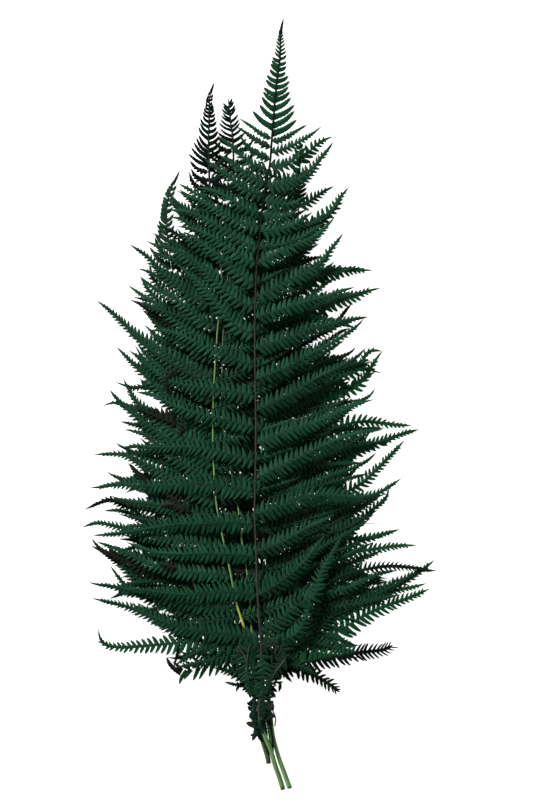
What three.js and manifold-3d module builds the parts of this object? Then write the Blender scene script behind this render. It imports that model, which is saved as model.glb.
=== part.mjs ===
// A tied bunch of bracken fronds, pressed flat and lying face up.
// Millimetres, +Z up. The bunch lies on z = 0, its stalks point to -Y and its
// longest tip to +Y; x = 0 and y = 0 are the middle of its bounding box.
import * as THREE from 'three';
import { mergeVertices } from 'three/addons/utils/BufferGeometryUtils.js';
import Module from 'manifold-3d';

// ---- driving dimensions -----------------------------------------------------
const BLADE_HALF_THICKNESS = 0.45;  // the ridge of a pinna's blade above its middle plane
const BLADE_LEAN = 0.9;             // pinnules lean towards the tip, so a blade's half width is this much of their length
const LEAFLET_HALF_THICKNESS = 0.38;
const STALK_STEPS = 26;               // stations along a stalk
const LEAFLET_MIN = 5.0;              // shorter teeth at a frond's tip are left to its surface
const STALK_SIDES = 5;

// the tie: a thin cord wound round the stalks below the lowest pinnae
const TIE_CENTRE = [1.95, -234.0, 8.0];
const TIE_HALF_WIDTH = 8.35;        // to the cord's centre line, along x
const TIE_HALF_HEIGHT = 7.35;       // to the cord's centre line, along z
const TIE_CORD_RADIUS = 0.55;
const TIE_PITCH = 1.0;              // turns lie against each other
const TIE_TURNS = 4;
const TIE_SLANT = 0.2;              // the winding rises this much per mm towards +x
const TIE_SEGMENTS = 20;
const TIE_TAIL = [[9.6, -236.2, 9.6], [11.2, -239.4, 10.6], [12.3, -243.6, 10.2], [11.7, -249.4, 8.6]];

// half-width profile of a divided pinna along its length: a short bare stalk,
// the widest part in the first half, and a narrow undivided tail
const PINNA_PROFILE = [[0, 0.15], [0.12, 1.15], [0.4, 1.1], [0.78, 0.5], [1, 0]];
const LEAFLET_PROFILE = [[0, 0.5], [0.4, 1.0], [0.75, 0.7], [1, 0]];

// ---- the fronds -------------------------------------------------------------
// stalk: x, y, height and radius from the tip of the frond to its cut end.
// blades: side, kind (s undivided leaflet, c shallowly lobed, p divided, h
// divided and covered, r bare midrib, n bent down over the neck), length of the longest pinnule,
// tone (g green, v bright green, h shaded green, d near black, x black, b brown
// black, m brown green), and the midrib from the stalk to the tip.
const FRONDS = {
  frond_front: {
    stalk: [[18.41, 299.93, 9, 0.28], [16.47, 290.62, 9.63, 0.34], [15.93, 279, 10.41, 0.42], [15.69, 268.93, 11.1, 0.49], [14.53, 259.62, 11.87, 0.54], [13.37, 251.88, 12.53, 0.57], [11.82, 236.38, 13.87, 0.65], [10.66, 220.88, 15.2, 0.73], [9.34, 205.38, 16.05, 0.8], [7.79, 186, 17.11, 0.82], [4.07, 166.62, 18.18, 0.83], [1.36, 147.25, 18.75, 0.85], [-0.58, 124, 19.05, 0.87], [-2.52, 104.62, 19.3, 0.88], [-3.45, 81.38, 19.6, 0.9], [-3.84, 58.12, 19.6, 0.91], [-3.6, 27.12, 19.6, 0.93], [-3.06, -19.38, 19.6, 0.96], [-3.53, -58.12, 19.6, 0.98], [-4.07, -81.38, 19.48, 0.99], [-3.53, -96.88, 19.24, 1], [-2.67, -120.12, 18.88, 1.01], [-1.74, -147.25, 18.46, 1.03], [-0.43, -166.62, 17.7, 1.04], [0.97, -187.55, 16.53, 1.11], [0.58, -209.25, 14.56, 1.33], [-0.43, -228.62, 12.4, 1.55], [0.12, -244.12, 11.6, 1.75], [1.74, -250.33, 11.11, 1.83], [3.45, -254.97, 10.67, 1.85], [5, -259.62, 9.89, 1.86], [8.25, -267.38, 8.48, 1.87], [10.58, -275.12, 6.85, 1.87], [12.75, -282.88, 5.15, 1.88], [15.38, -290.62, 3.5, 1.89], [18.02, -299.54, 1.75, 1.9]],
    blades: [
      ['L', 's', 1.55, 'v', [[16.4, 287.5, 9.84], [16.9, 292.9, 9.7], [18.4, 299.9, 9.34]]],
      ['L', 's', 1.05, 'v', [[16.3, 288.7, 9.76], [15.5, 289.8, 9.61], [15, 291.4, 9.26]]],
      ['L', 's', 1.09, 'v', [[16.2, 286.8, 9.89], [15.3, 287.9, 9.74], [14.6, 289.5, 9.39]]],
      ['L', 's', 1.15, 'v', [[16.2, 284, 10.07], [15, 285.4, 9.92], [14.1, 287.3, 9.57]]],
      ['L', 's', 1.19, 'v', [[16.1, 281.7, 10.23], [14.6, 283.1, 10.07], [13.4, 285, 9.73]]],
      ['L', 's', 1.25, 'v', [[15.9, 279, 10.41], [14.2, 280.6, 10.25], [12.7, 282.8, 9.91]]],
      ['L', 's', 1.31, 'v', [[15.8, 275.9, 10.62], [14.1, 277.6, 10.46], [12.7, 279.8, 10.12]]],
      ['L', 's', 1.37, 'v', [[15.6, 272.8, 10.83], [13.6, 274.6, 10.67], [11.9, 276.9, 10.33]]],
      ['L', 's', 1.43, 'v', [[15.5, 269.7, 11.04], [13.4, 271.6, 10.88], [11.4, 274.1, 10.54]]],
      ['R', 's', 1.07, 'v', [[16.5, 287.9, 9.81], [17.2, 288.5, 9.67], [17.8, 289.7, 9.31]]],
      ['R', 's', 1.12, 'v', [[16.5, 285.6, 9.97], [17.4, 286.4, 9.82], [18.1, 287.7, 9.47]]],
      ['R', 's', 1.16, 'v', [[16.5, 283.3, 10.13], [17.7, 284, 9.97], [18.6, 285.4, 9.63]]],
      ['R', 's', 1.22, 'v', [[16.4, 280.6, 10.31], [17.9, 281.7, 10.15], [19.3, 283.4, 9.81]]],
      ['R', 's', 1.28, 'v', [[16.5, 277.6, 10.51], [18.1, 279, 10.35], [19.6, 280.9, 10.01]]],
      ['R', 's', 1.33, 'v', [[16.5, 274.7, 10.71], [18.4, 275.9, 10.54], [20.1, 277.6, 10.21]]],
      ['R', 's', 1.4, 'v', [[16.5, 271.6, 10.92], [18.6, 272.9, 10.75], [20.5, 274.7, 10.42]]],
      ['R', 's', 1.47, 'v', [[16.5, 267.8, 11.17], [18.7, 269.5, 11], [20.7, 271.6, 10.67]]],
      ['L', 's', 1.71, 'v', [[15.5, 266.8, 11.25], [12.4, 267.5, 11.1], [9.5, 269.7, 10.75]]],
      ['L', 's', 1.78, 'v', [[14.9, 262.3, 11.63], [11.9, 264.1, 11.48], [9.1, 267.4, 11.13]]],
      ['L', 's', 1.82, 'v', [[14.5, 259.2, 11.9], [11.3, 261.2, 11.75], [8.3, 264.7, 11.4]]],
      ['L', 's', 1.88, 'v', [[13.8, 255, 12.27], [10.5, 256.9, 12.11], [7.6, 260.4, 11.77]]],
      ['L', 's', 1.95, 'v', [[13.4, 250.3, 12.67], [9.1, 252.2, 12.51], [5.2, 255.8, 12.17]]],
      ['L', 's', 2.02, 'v', [[13, 245.7, 13.07], [8.5, 248.1, 12.91], [4.5, 252.3, 12.57]]],
      ['L', 's', 2.1, 'v', [[12.2, 240.2, 13.53], [7.4, 242.2, 13.37], [2.9, 246.1, 13.03]]],
      ['L', 's', 2.17, 'v', [[11.8, 235.2, 13.97], [6.9, 238, 13.81], [2.5, 242.6, 13.47]]],
      ['L', 's', 2.26, 'v', [[11, 228.6, 14.53], [5.9, 232.7, 14.37], [1.4, 238.7, 14.03]]],
      ['L', 's', 2.36, 'v', [[10.7, 221.7, 15.13], [4.9, 226.1, 14.97], [-0.2, 232.5, 14.63]]],
      ['L', 's', 2.47, 'v', [[9.9, 214.3, 15.56], [1.7, 219.6, 15.4], [-5.6, 227.5, 15.06]]],
      ['R', 's', 1.69, 'v', [[16.1, 268.2, 11.15], [18.5, 269, 11], [20.7, 271.2, 10.65]]],
      ['R', 's', 1.76, 'v', [[15.7, 263.9, 11.5], [18.3, 264.5, 11.35], [20.7, 266.6, 11]]],
      ['R', 's', 1.82, 'v', [[14.9, 259.6, 11.87], [17.9, 260.4, 11.71], [20.7, 262.7, 11.37]]],
      ['R', 's', 1.88, 'v', [[14.5, 255, 12.27], [17.3, 255.8, 12.11], [20, 258.1, 11.77]]],
      ['R', 's', 1.94, 'v', [[14.1, 250.7, 12.63], [18.3, 252, 12.47], [22.3, 255, 12.13]]],
      ['R', 's', 2.02, 'v', [[13.4, 245.7, 13.07], [18.4, 247.2, 12.9], [23.1, 250.7, 12.57]]],
      ['R', 's', 2.09, 'v', [[13, 240.6, 13.5], [17.8, 242.6, 13.34], [22.3, 246.5, 13]]],
      ['R', 's', 2.16, 'v', [[12.6, 235.6, 13.93], [18.2, 238.1, 13.77], [23.4, 242.6, 13.43]]],
      ['R', 's', 2.25, 'v', [[11.8, 229.4, 14.47], [18.3, 232.6, 14.3], [24.2, 237.9, 13.97]]],
      ['R', 's', 2.35, 'v', [[11.4, 222.8, 15.03], [19.5, 226.2, 14.87], [26.9, 232.1, 14.53]]],
      ['R', 's', 2.45, 'v', [[10.7, 215.5, 15.5], [19.2, 220.2, 15.33], [26.9, 227.5, 15]]],
      ['R', 's', 2.54, 'v', [[10.3, 209.6, 15.82], [19.7, 213.7, 15.65], [28.5, 220.5, 15.32]]],
      ['L', 'c', 3.1, 'g', [[9.3, 206.5, 15.99], [3.3, 208.5, 15.99], [-4.5, 213.9, 15.99], [-9.9, 217.8, 15.96], [-15.3, 221.3, 15.89]]],
      ['L', 'c', 3.72, 'g', [[8.7, 200, 16.35], [1.7, 201.9, 16.35], [-6, 206.9, 16.35], [-12.2, 211.6, 16.3], [-17.6, 215.1, 16.22]]],
      ['L', 'c', 4.26, 'g', [[7.9, 190.7, 16.86], [0.2, 193, 16.86], [-7.6, 198, 16.86], [-12.2, 203.1, 16.81], [-15.3, 209.2, 16.7]]],
      ['L', 'p', 5.04, 'g', [[6.8, 182.1, 17.32], [-1.4, 183.7, 17.32], [-9.9, 188.3, 17.32], [-16.9, 196.1, 17.21], [-24.6, 202.3, 16.98], [-32.4, 207.7, 16.67]]],
      ['L', 'p', 5.42, 'g', [[5.2, 172.1, 17.88], [-2.9, 173.6, 17.88], [-10.7, 178.2, 17.87], [-20, 186, 17.72], [-30.8, 193, 17.35]]],
      ['L', 'p', 5.81, 'g', [[2.9, 162.8, 18.39], [-6, 164.3, 18.39], [-16.9, 171.3, 18.35], [-29.3, 180.6, 17.99], [-42.4, 189.9, 17.32]]],
      ['L', 'p', 6.2, 'g', [[1.4, 148.8, 18.73], [-7.6, 150.3, 18.73], [-19.2, 156.6, 18.68], [-32.4, 164.3, 18.28], [-48.6, 168.2, 17.48]]],
      ['L', 'p', 6.2, 'g', [[0.5, 138.7, 18.86], [-9.1, 138.7, 18.86], [-21.5, 144.2, 18.79], [-35.5, 152.7, 18.28], [-47.9, 158.9, 17.55], [-57.9, 162, 16.89]]],
      ['L', 'p', 6.59, 'g', [[-0.6, 123.2, 19.06], [-10.7, 124.8, 19.06], [-23.8, 133.3, 18.93], [-42.4, 144.2, 17.97], [-55.6, 149.6, 17.02], [-68.4, 151.1, 16.05]]],
      ['L', 'p', 6.59, 'g', [[-1.7, 110, 19.23], [-12.2, 113.2, 19.23], [-24.6, 121.7, 19.09], [-38.6, 131, 18.4], [-52.5, 136.4, 17.43], [-64.1, 138, 16.55]]],
      ['L', 'p', 6.98, 'g', [[-2.9, 93, 19.45], [-12.2, 97.7, 19.45], [-23.8, 109.3, 19.29], [-40.1, 121.7, 18.35], [-51, 129.4, 17.44], [-59.5, 134.1, 16.7]]],
      ['L', 'p', 6.98, 'g', [[-3.4, 76, 19.6], [-13, 78.3, 19.6], [-23.8, 86, 19.53], [-41.7, 102.3, 18.5], [-51, 111.6, 17.6], [-59.5, 120.1, 16.69]]],
      ['L', 'p', 6.98, 'g', [[-3.8, 54.2, 19.6], [-15.3, 58.9, 19.6], [-24.6, 67.4, 19.49], [-40.9, 87.6, 18.27], [-52.5, 99.2, 17.09], [-64.1, 109.3, 15.9]]],
      ['L', 'p', 6.98, 'g', [[-3.7, 31, 19.6], [-14.8, 33.3, 19.6], [-23.8, 38, 19.55], [-41.7, 44.2, 18.89], [-59.5, 53.5, 17.6], [-73.4, 57.4, 16.5], [-87.4, 57.7, 15.44]]],
      ['L', 'p', 6.98, 'g', [[-3.4, 7, 19.6], [-15.3, 9.3, 19.6], [-23.8, 10.8, 19.56], [-41.7, 13.2, 18.97], [-59.5, 15.5, 17.87], [-73.4, 20.9, 16.75], [-85.1, 29.4, 15.64], [-94.7, 35.6, 14.85]]],
      ['L', 'p', 6.98, 'g', [[-3.1, -16.7, 19.6], [-15.3, -14.3, 19.6], [-23.8, -12.4, 19.56], [-38.6, -8.9, 19.09], [-54.1, -4.7, 18.17], [-68, 0.4, 17.1], [-78.9, 6.2, 16.15], [-86.6, 8.9, 15.53], [-95.1, 9.7, 14.94]]],
      ['L', 'p', 7.36, 'g', [[-3.3, -42.6, 19.6], [-15.3, -40.3, 19.6], [-23.8, -38, 19.56], [-37, -34.9, 19.17], [-50.2, -32.6, 18.46], [-68, -32.6, 17.2], [-85.1, -32.6, 15.89], [-96.7, -31.8, 15.05], [-106.8, -33.3, 14.42]]],
      ['L', 'p', 7.75, 'g', [[-3.6, -67.8, 19.6], [-15.3, -65.1, 19.6], [-27.7, -63.2, 19.5], [-45.5, -61.5, 18.78], [-63.4, -62, 17.61], [-85.8, -62.8, 15.9], [-104.4, -61.6, 14.61], [-116.1, -62, 14.02], [-123.8, -63.6, 13.75], [-131.6, -64.1, 13.61]]],
      ['L', 'p', 7.75, 'g', [[-3.8, -92.2, 19.31], [-15.3, -91.1, 19.31], [-27.7, -90.7, 19.22], [-45.5, -91.8, 18.53], [-63.4, -92.2, 17.37], [-81.2, -94.9, 15.99], [-96.7, -97.7, 14.84], [-109.9, -99.6, 14.02], [-128.8, -101.1, 13.36]]],
      ['L', 'p', 7.75, 'g', [[-2.8, -117, 18.93], [-15.3, -115.5, 18.93], [-27.7, -114.9, 18.81], [-45.5, -114.7, 18.09], [-63.4, -115.1, 16.92], [-81.2, -113.9, 15.55], [-92.8, -110, 14.64], [-103.3, -106.2, 13.91]]],
      ['L', 'p', 7.75, 'g', [[-1.8, -146.1, 18.48], [-15.3, -144.5, 18.65], [-27.7, -144.2, 18.87], [-45.5, -145.7, 18.59], [-61.8, -146.5, 17.62], [-77.3, -144.9, 16.44], [-92.8, -143.4, 15.27], [-105.2, -141.8, 14.47]]],
      ['L', 'p', 8.14, 'g', [[0.3, -180.6, 17.07], [-15.3, -178.6, 17.59], [-27.7, -176.7, 18.22], [-45.5, -175.2, 18.41], [-63.4, -171.3, 17.3], [-81.2, -165.1, 15.86], [-99, -157.3, 14.53], [-116.8, -152.7, 13.74], [-130.3, -149.6, 13.6]]],
      ['R', 'c', 3.1, 'g', [[9.3, 203.1, 16.18], [17.2, 205.4, 16.18], [24.2, 209.2, 16.18], [30.4, 213.1, 16.18], [36.6, 216.6, 16.13]]],
      ['R', 'p', 4.26, 'g', [[8.7, 194.5, 16.64], [19.6, 198, 16.64], [28.9, 202.7, 16.64], [38.9, 208.5, 16.55], [47.9, 215.5, 16.24]]],
      ['R', 'p', 5.42, 'g', [[7.6, 183.7, 17.24], [15.7, 184.5, 17.24], [23.4, 187.6, 17.24], [28.9, 193, 17.24], [33.5, 198.4, 17.17]]],
      ['R', 'p', 6.2, 'g', [[4.5, 168.2, 18.09], [14.1, 169.7, 18.09], [23.4, 172.4, 18.09], [31.2, 175.2, 18.06], [38.9, 181.3, 17.83], [45.1, 187.6, 17.46], [48.2, 192.2, 17.17], [52.9, 197.6, 16.75], [56.8, 203.4, 16.31]]],
      ['R', 'p', 6.2, 'g', [[2.8, 158.1, 18.61], [11.8, 156.2, 18.61], [20.3, 155, 18.61], [28.1, 156.6, 18.6], [33.5, 161.2, 18.48]]],
      ['R', 'p', 6.2, 'g', [[1.4, 147.2, 18.75], [11.8, 144.9, 18.75], [23.4, 147.2, 18.75], [31.2, 152.7, 18.63]]],
      ['R', 'p', 6.59, 'g', [[0.2, 134.1, 18.92], [11.8, 134.8, 18.92], [23.4, 138, 18.92], [32.7, 143.4, 18.7], [40.5, 148.8, 18.24]]],
      ['R', 'p', 6.59, 'g', [[-0.7, 121.7, 19.08], [10.3, 122.5, 19.08], [23.4, 125.5, 19.08], [35.1, 130.6, 18.72], [43.6, 136.4, 18.08], [50.6, 141.1, 17.4]]],
      ['R', 'p', 6.98, 'g', [[-1.9, 109.3, 19.24], [7.9, 113.9, 19.24], [19.6, 120.1, 19.24], [31.2, 125.2, 18.9], [40.5, 129.4, 18.27], [48.2, 134.8, 17.49], [53.7, 140.3, 16.78], [57.9, 145.3, 16.15]]],
      ['R', 'p', 6.98, 'g', [[-3.3, 82.9, 19.58], [6.4, 86.8, 19.58], [17.2, 93, 19.58], [28.1, 98.4, 19.31], [38.9, 103.9, 18.59], [46.7, 109.3, 17.81], [53.7, 118.6, 16.72], [59.1, 125.5, 15.87], [64.9, 133.3, 15]]],
      ['R', 'p', 6.98, 'g', [[-3.7, 66.7, 19.6], [7.9, 70.9, 19.6], [20.3, 75.2, 19.59], [38.2, 80.6, 18.83], [50.6, 83.7, 17.81], [62.2, 88, 16.64], [73.4, 91.1, 15.54]]],
      ['R', 'p', 7.36, 'g', [[-3.8, 42.6, 19.6], [11, 48.4, 19.6], [22.7, 51.5, 19.56], [38.2, 58.1, 18.78], [56, 62.4, 17.24], [69.9, 65.9, 15.86], [84.3, 68.2, 14.61]]],
      ['R', 'p', 7.36, 'g', [[-3.6, 19.4, 19.6], [11, 24.8, 19.6], [25, 31, 19.49], [38.2, 38.8, 18.69], [56, 48.1, 16.94], [69.2, 56.6, 15.44], [75.4, 61.2, 14.79], [80.4, 66.7, 14.26]]],
      ['R', 'p', 7.36, 'g', [[-3.2, -4.7, 19.6], [11, 1.9, 19.6], [25, 8.5, 19.48], [38.2, 17.4, 18.62], [56, 26.4, 16.87], [69.2, 33.3, 15.45], [76.1, 38, 14.74], [82, 44.2, 14.16]]],
      ['R', 'p', 7.36, 'g', [[-3.1, -30.6, 19.6], [13.8, -23.2, 19.6], [27.3, -18.6, 19.42], [45.1, -12.4, 18.26], [63, -4.7, 16.47], [75.4, 0.8, 15.21], [88.5, 4.4, 14.19]]],
      ['R', 'p', 7.36, 'g', [[-3.5, -57, 19.6], [13.8, -48.1, 19.6], [27.3, -41.9, 19.36], [45.1, -32.9, 18.04], [63, -25.6, 16.23], [77.7, -21.3, 14.85], [95.5, -19, 13.77]]],
      ['R', 'p', 7.75, 'g', [[-4, -84.5, 19.43], [9.5, -80.6, 19.43], [21.1, -76.7, 19.41], [35.8, -71.3, 18.8], [45.1, -69.8, 18.12], [63, -70.5, 16.48], [79.2, -71.3, 14.96], [91.6, -68.2, 14.01], [100.9, -62.8, 13.53], [109.9, -56.6, 13.43]]],
      ['R', 'p', 7.75, 'g', [[-2.8, -113.9, 18.98], [9.5, -108.9, 18.98], [18, -105.4, 18.98], [27.3, -100, 18.78], [35.8, -95.3, 18.28], [48.2, -89.9, 17.22], [58.3, -83.7, 16.11]]],
      ['R', 'p', 7.75, 'g', [[-1.7, -147.2, 18.46], [9.5, -141.1, 18.62], [18, -134.8, 18.91], [27.3, -127.5, 19.01], [35.8, -119.4, 18.57], [43.6, -109.3, 17.56], [50.6, -100.8, 16.51]]],
      ['R', 'p', 7.75, 'g', [[0.2, -175.9, 17.28], [7.9, -171.3, 17.45], [13.8, -167.4, 17.77], [21.1, -161.2, 18.33], [31.6, -152.7, 18.69], [41.3, -148.8, 18.38], [45.1, -136.4, 17.29], [48.2, -127.9, 16.42], [56.8, -113.2, 14.87], [63, -102.3, 14.02]]],
      ['R', 'p', 7.36, 'g', [[0.8, -186, 16.67], [9.5, -182.9, 16.89], [19.6, -180.6, 17.54], [28.9, -175.9, 18.27], [35.1, -165.1, 18.58], [38.2, -154.2, 18.09], [41.3, -143.4, 17.06]]],
      ['R', 'n', 11.62, 'g', [[0.9, -189.9, 16.33], [2.5, -196.1, 16.6], [2.9, -203.8, 17.41], [1.7, -213.1, 16.62], [1, -220.9, 15.75], [0.2, -227.5, 15.03]]],
      ['L', 'n', 12.4, 'g', [[0.6, -186.8, 16.6], [-6, -187.9, 17.53], [-9.5, -193, 18.6], [-10.3, -200.7, 18.5], [-9.7, -210, 17.57], [-7.6, -219.3, 16.52], [-4.8, -227.1, 15.67]]],
      ['L', 'n', 6.2, 'g', [[0.7, -203.8, 15.13], [-1.7, -210, 15.4], [-2.9, -218.6, 16.14], [-2.1, -227.1, 15.37]]],
      ['R', 'n', 6.2, 'g', [[0.3, -206.9, 14.82], [2.5, -213.9, 15.05], [3.3, -220.9, 15.62], [2.5, -227.5, 15.13]]],
      ['L', 'n', 6.98, 'm', [[1, -188.7, 16.43], [-8.3, -186, 17.47], [-15.3, -189.9, 17.44], [-18.4, -197.6, 16.77], [-14.5, -206.2, 16.01], [-9.9, -214.7, 15.04], [-7.2, -224, 14.01]]],
      ['R', 'n', 10.08, 'm', [[1, -189.1, 16.4], [10.3, -184.5, 18.4], [17.2, -187.6, 18.92], [20, -193.8, 18.4], [15.7, -200.7, 17.8], [11, -206.2, 17.31], [7.9, -213.9, 16.43], [5.6, -221.7, 15.56], [4.1, -227.5, 14.93]]],
    ],
  },
  frond_upper_left: {
    stalk: [[-35.84, 249.55, 8.6, 0.28], [-37.39, 245.68, 8.9, 0.3], [-38.56, 240.25, 9.31, 0.33], [-39.1, 232.5, 9.91, 0.36], [-39.33, 217, 11.03, 0.44], [-39.72, 201.5, 11.97, 0.51], [-39.33, 186, 12.9, 0.53], [-38.56, 166.62, 13.8, 0.56], [-36.23, 147.25, 14.3, 0.58], [-32.36, 124, 14.9, 0.62], [-29.64, 103.08, 15.2, 0.65], [-30.03, 81.38, 15.2, 0.68], [-32.36, 62, 15.2, 0.7], [-33.91, 38.75, 15.2, 0.72], [-35.22, 19.38, 15.2, 0.74], [-36.08, -3.88, 15.2, 0.77], [-36.23, -31, 15.2, 0.8], [-35.46, -50.38, 15.2, 0.82], [-33.91, -73.62, 15.2, 0.84], [-31.58, -87.58, 15.02, 0.85], [-28.48, -103.08, 14.82, 0.87], [-23.06, -127.88, 14.5, 0.9], [-18.02, -153.45, 14.13, 0.93], [-12.21, -172.05, 13.59, 1], [-6.01, -193.75, 12.6, 1.09], [0.19, -218.55, 10, 1.19], [4.53, -236.38, 9.62, 1.18], [5.93, -245.68, 9.2, 1.17], [7.09, -251.88, 8.51, 1.16], [7.94, -258.07, 7.72, 1.16], [8.64, -263.89, 6.67, 1.15]],
    blades: [
      ['L', 's', 1.32, 'x', [[-37.7, 241.8, 9.19], [-37.2, 245.3, 9.05], [-35.6, 249.6, 8.69]]],
      ['L', 's', 1.16, 'x', [[-37.8, 241, 9.25], [-39.4, 241.3, 9.09], [-39.6, 243, 8.75]]],
      ['L', 's', 1.16, 'x', [[-38.2, 238.7, 9.43], [-40, 239, 9.27], [-40.3, 240.9, 8.93]]],
      ['L', 's', 1.16, 'x', [[-38.7, 236.8, 9.58], [-40.5, 237.3, 9.42], [-40.9, 239.3, 9.08]]],
      ['L', 's', 1.19, 'x', [[-38.9, 234.8, 9.73], [-40.9, 235.6, 9.57], [-41.4, 237.9, 9.23]]],
      ['L', 's', 1.23, 'x', [[-39.2, 232.1, 9.94], [-41.2, 232.9, 9.78], [-41.7, 235.2, 9.44]]],
      ['L', 's', 1.27, 'x', [[-39.3, 229.4, 10.15], [-41.4, 230.2, 9.98], [-42.1, 232.5, 9.65]]],
      ['L', 's', 1.32, 'x', [[-39.4, 226.3, 10.38], [-42, 227.7, 10.22], [-43.2, 230.6, 9.88]]],
      ['L', 's', 1.37, 'x', [[-39.5, 223.2, 10.62], [-42.4, 224.8, 10.45], [-43.9, 227.8, 10.12]]],
      ['L', 's', 1.43, 'x', [[-39.6, 219.7, 10.87], [-42.5, 221.3, 10.7], [-44, 224.4, 10.37]]],
      ['L', 's', 1.5, 'x', [[-39.6, 215.1, 11.15], [-43.6, 217.9, 10.98], [-46.2, 222.2, 10.65]]],
      ['L', 's', 1.57, 'x', [[-39.7, 210.8, 11.41], [-43.6, 213.9, 11.24], [-46.2, 218.6, 10.91]]],
      ['L', 's', 1.65, 'x', [[-40, 206.2, 11.69], [-44.5, 210.1, 11.52], [-47.7, 215.7, 11.19]]],
      ['L', 's', 1.76, 'x', [[-40.1, 199.2, 12.11], [-44.4, 203.6, 11.94], [-47.4, 209.5, 11.61]]],
      ['L', 's', 1.83, 'x', [[-40.9, 194.9, 12.36], [-45.7, 200.3, 12.2], [-49.2, 207.2, 11.86]]],
      ['L', 's', 1.88, 'x', [[-40.5, 191.4, 12.57], [-46.6, 196.8, 12.4], [-51.3, 203.8, 12.07]]],
      ['L', 's', 1.94, 'x', [[-39.9, 187.6, 12.81], [-47.3, 192.8, 12.63], [-53.3, 199.6, 12.31]]],
      ['L', 's', 1.99, 'x', [[-39.6, 184.5, 12.99], [-48.1, 188.7, 12.81], [-55.2, 194.5, 12.49]]],
      ['R', 's', 1.24, 'x', [[-37.9, 239.5, 9.37], [-37, 239.5, 9.28], [-36.8, 241.6, 8.87]]],
      ['R', 's', 1.26, 'x', [[-38.6, 236.8, 9.58], [-37.4, 236.8, 9.47], [-37, 238.9, 9.08]]],
      ['R', 's', 1.32, 'x', [[-38.9, 233.7, 9.81], [-37.6, 233.6, 9.69], [-37.1, 235.4, 9.31]]],
      ['R', 's', 1.37, 'x', [[-39, 231.3, 10], [-37.4, 231.4, 9.86], [-36.5, 233.5, 9.5]]],
      ['R', 's', 1.41, 'x', [[-39.1, 229.4, 10.15], [-37, 229.6, 10], [-35.8, 231.9, 9.65]]],
      ['R', 's', 1.47, 'x', [[-39, 226.6, 10.36], [-36.9, 227.1, 10.21], [-35.5, 229.6, 9.86]]],
      ['R', 's', 1.52, 'x', [[-38.9, 224, 10.56], [-36.3, 224.1, 10.39], [-34.5, 226.1, 10.06]]],
      ['R', 's', 1.6, 'x', [[-38.9, 220.1, 10.85], [-36.3, 220.7, 10.69], [-34.5, 223.4, 10.35]]],
      ['R', 's', 1.67, 'x', [[-38.9, 216.5, 11.06], [-35.8, 217.3, 10.9], [-33.5, 220.1, 10.56]]],
      ['R', 's', 1.77, 'x', [[-38.9, 211.6, 11.36], [-35.8, 212.6, 11.2], [-33.4, 215.6, 10.86]]],
      ['R', 's', 1.87, 'x', [[-38.9, 206.5, 11.66], [-35.3, 208.6, 11.51], [-32.4, 212.7, 11.16]]],
      ['R', 's', 1.96, 'x', [[-39, 201.9, 11.94], [-34.7, 204.2, 11.78], [-31.2, 208.5, 11.44]]],
      ['R', 's', 2.06, 'x', [[-39.1, 196.8, 12.25], [-34.1, 199.7, 12.08], [-29.8, 204.6, 11.75]]],
      ['R', 's', 2.15, 'x', [[-39.2, 192.2, 12.53], [-33.4, 195.1, 12.36], [-28.5, 200, 12.03]]],
      ['L', 'c', 3.1, 'd', [[-39.3, 181.3, 13.18], [-44.8, 181.3, 13.18], [-50.2, 184.5, 13.18], [-54.1, 189.1, 13.17]]],
      ['L', 'c', 3.49, 'd', [[-39, 174.4, 13.6], [-45.5, 174.4, 13.6], [-50.2, 177.5, 13.6], [-53.3, 183.3, 13.59]]],
      ['L', 'c', 3.88, 'd', [[-38.7, 167.4, 13.78], [-46.3, 167.4, 13.78], [-51.7, 172.1, 13.78], [-54.8, 180.6, 13.69]]],
      ['L', 'p', 4.65, 'g', [[-38.2, 160.4, 13.96], [-45.5, 161.2, 13.96], [-54.1, 166.6, 13.95], [-62.6, 171.3, 13.77]]],
      ['L', 'p', 5.04, 'g', [[-37.4, 153.5, 14.14], [-45.5, 155.4, 14.14], [-54.8, 160.4, 14.12], [-63.4, 165.8, 13.87]]],
      ['L', 'p', 5.42, 'g', [[-36.2, 144.9, 14.36], [-44.8, 146.5, 14.36], [-53.3, 150.3, 14.35], [-61.8, 155, 14.12], [-68.4, 162, 13.66]]],
      ['L', 'p', 5.81, 'g', [[-33.9, 132.5, 14.68], [-43.2, 133.3, 14.68], [-52.5, 138, 14.65], [-61, 144.2, 14.31], [-69.6, 145.3, 13.81]]],
      ['L', 'p', 6.2, 'g', [[-31.6, 117.8, 15.06], [-42.4, 120.9, 15.06], [-52.5, 127.1, 14.95], [-61.8, 133.3, 14.42], [-64.1, 137.2, 14.12]]],
      ['L', 'p', 6.59, 'g', [[-29.6, 100, 15.2], [-40.1, 103.9, 15.2], [-51, 110.8, 15.06], [-60.3, 117, 14.5], [-71.1, 122.5, 13.57], [-81.2, 124, 12.63], [-87.8, 127.5, 11.91]]],
      ['L', 'p', 6.59, 'g', [[-30.3, 79, 15.2], [-41.7, 79.8, 15.2], [-54.1, 85.2, 15.03], [-64.9, 93.8, 14.27], [-75.8, 103.1, 13.06], [-85.1, 113.2, 11.75], [-92, 118.6, 10.93], [-100.6, 124.4, 10.1]]],
      ['L', 'p', 6.59, 'g', [[-32.4, 60.5, 15.2], [-42.4, 64.3, 15.2], [-55.6, 75.2, 14.91], [-68, 83.7, 13.94], [-77.3, 88.4, 13.03], [-85.1, 93, 12.17], [-92.8, 99.6, 11.2]]],
      ['L', 'p', 6.59, 'g', [[-33.5, 42.6, 15.2], [-44, 48.1, 15.2], [-55.6, 58.1, 14.94], [-68, 69, 13.88], [-78.9, 78.3, 12.59], [-88.9, 83.7, 11.49], [-95.9, 88.4, 10.73], [-102.1, 93, 10.12]]],
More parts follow.
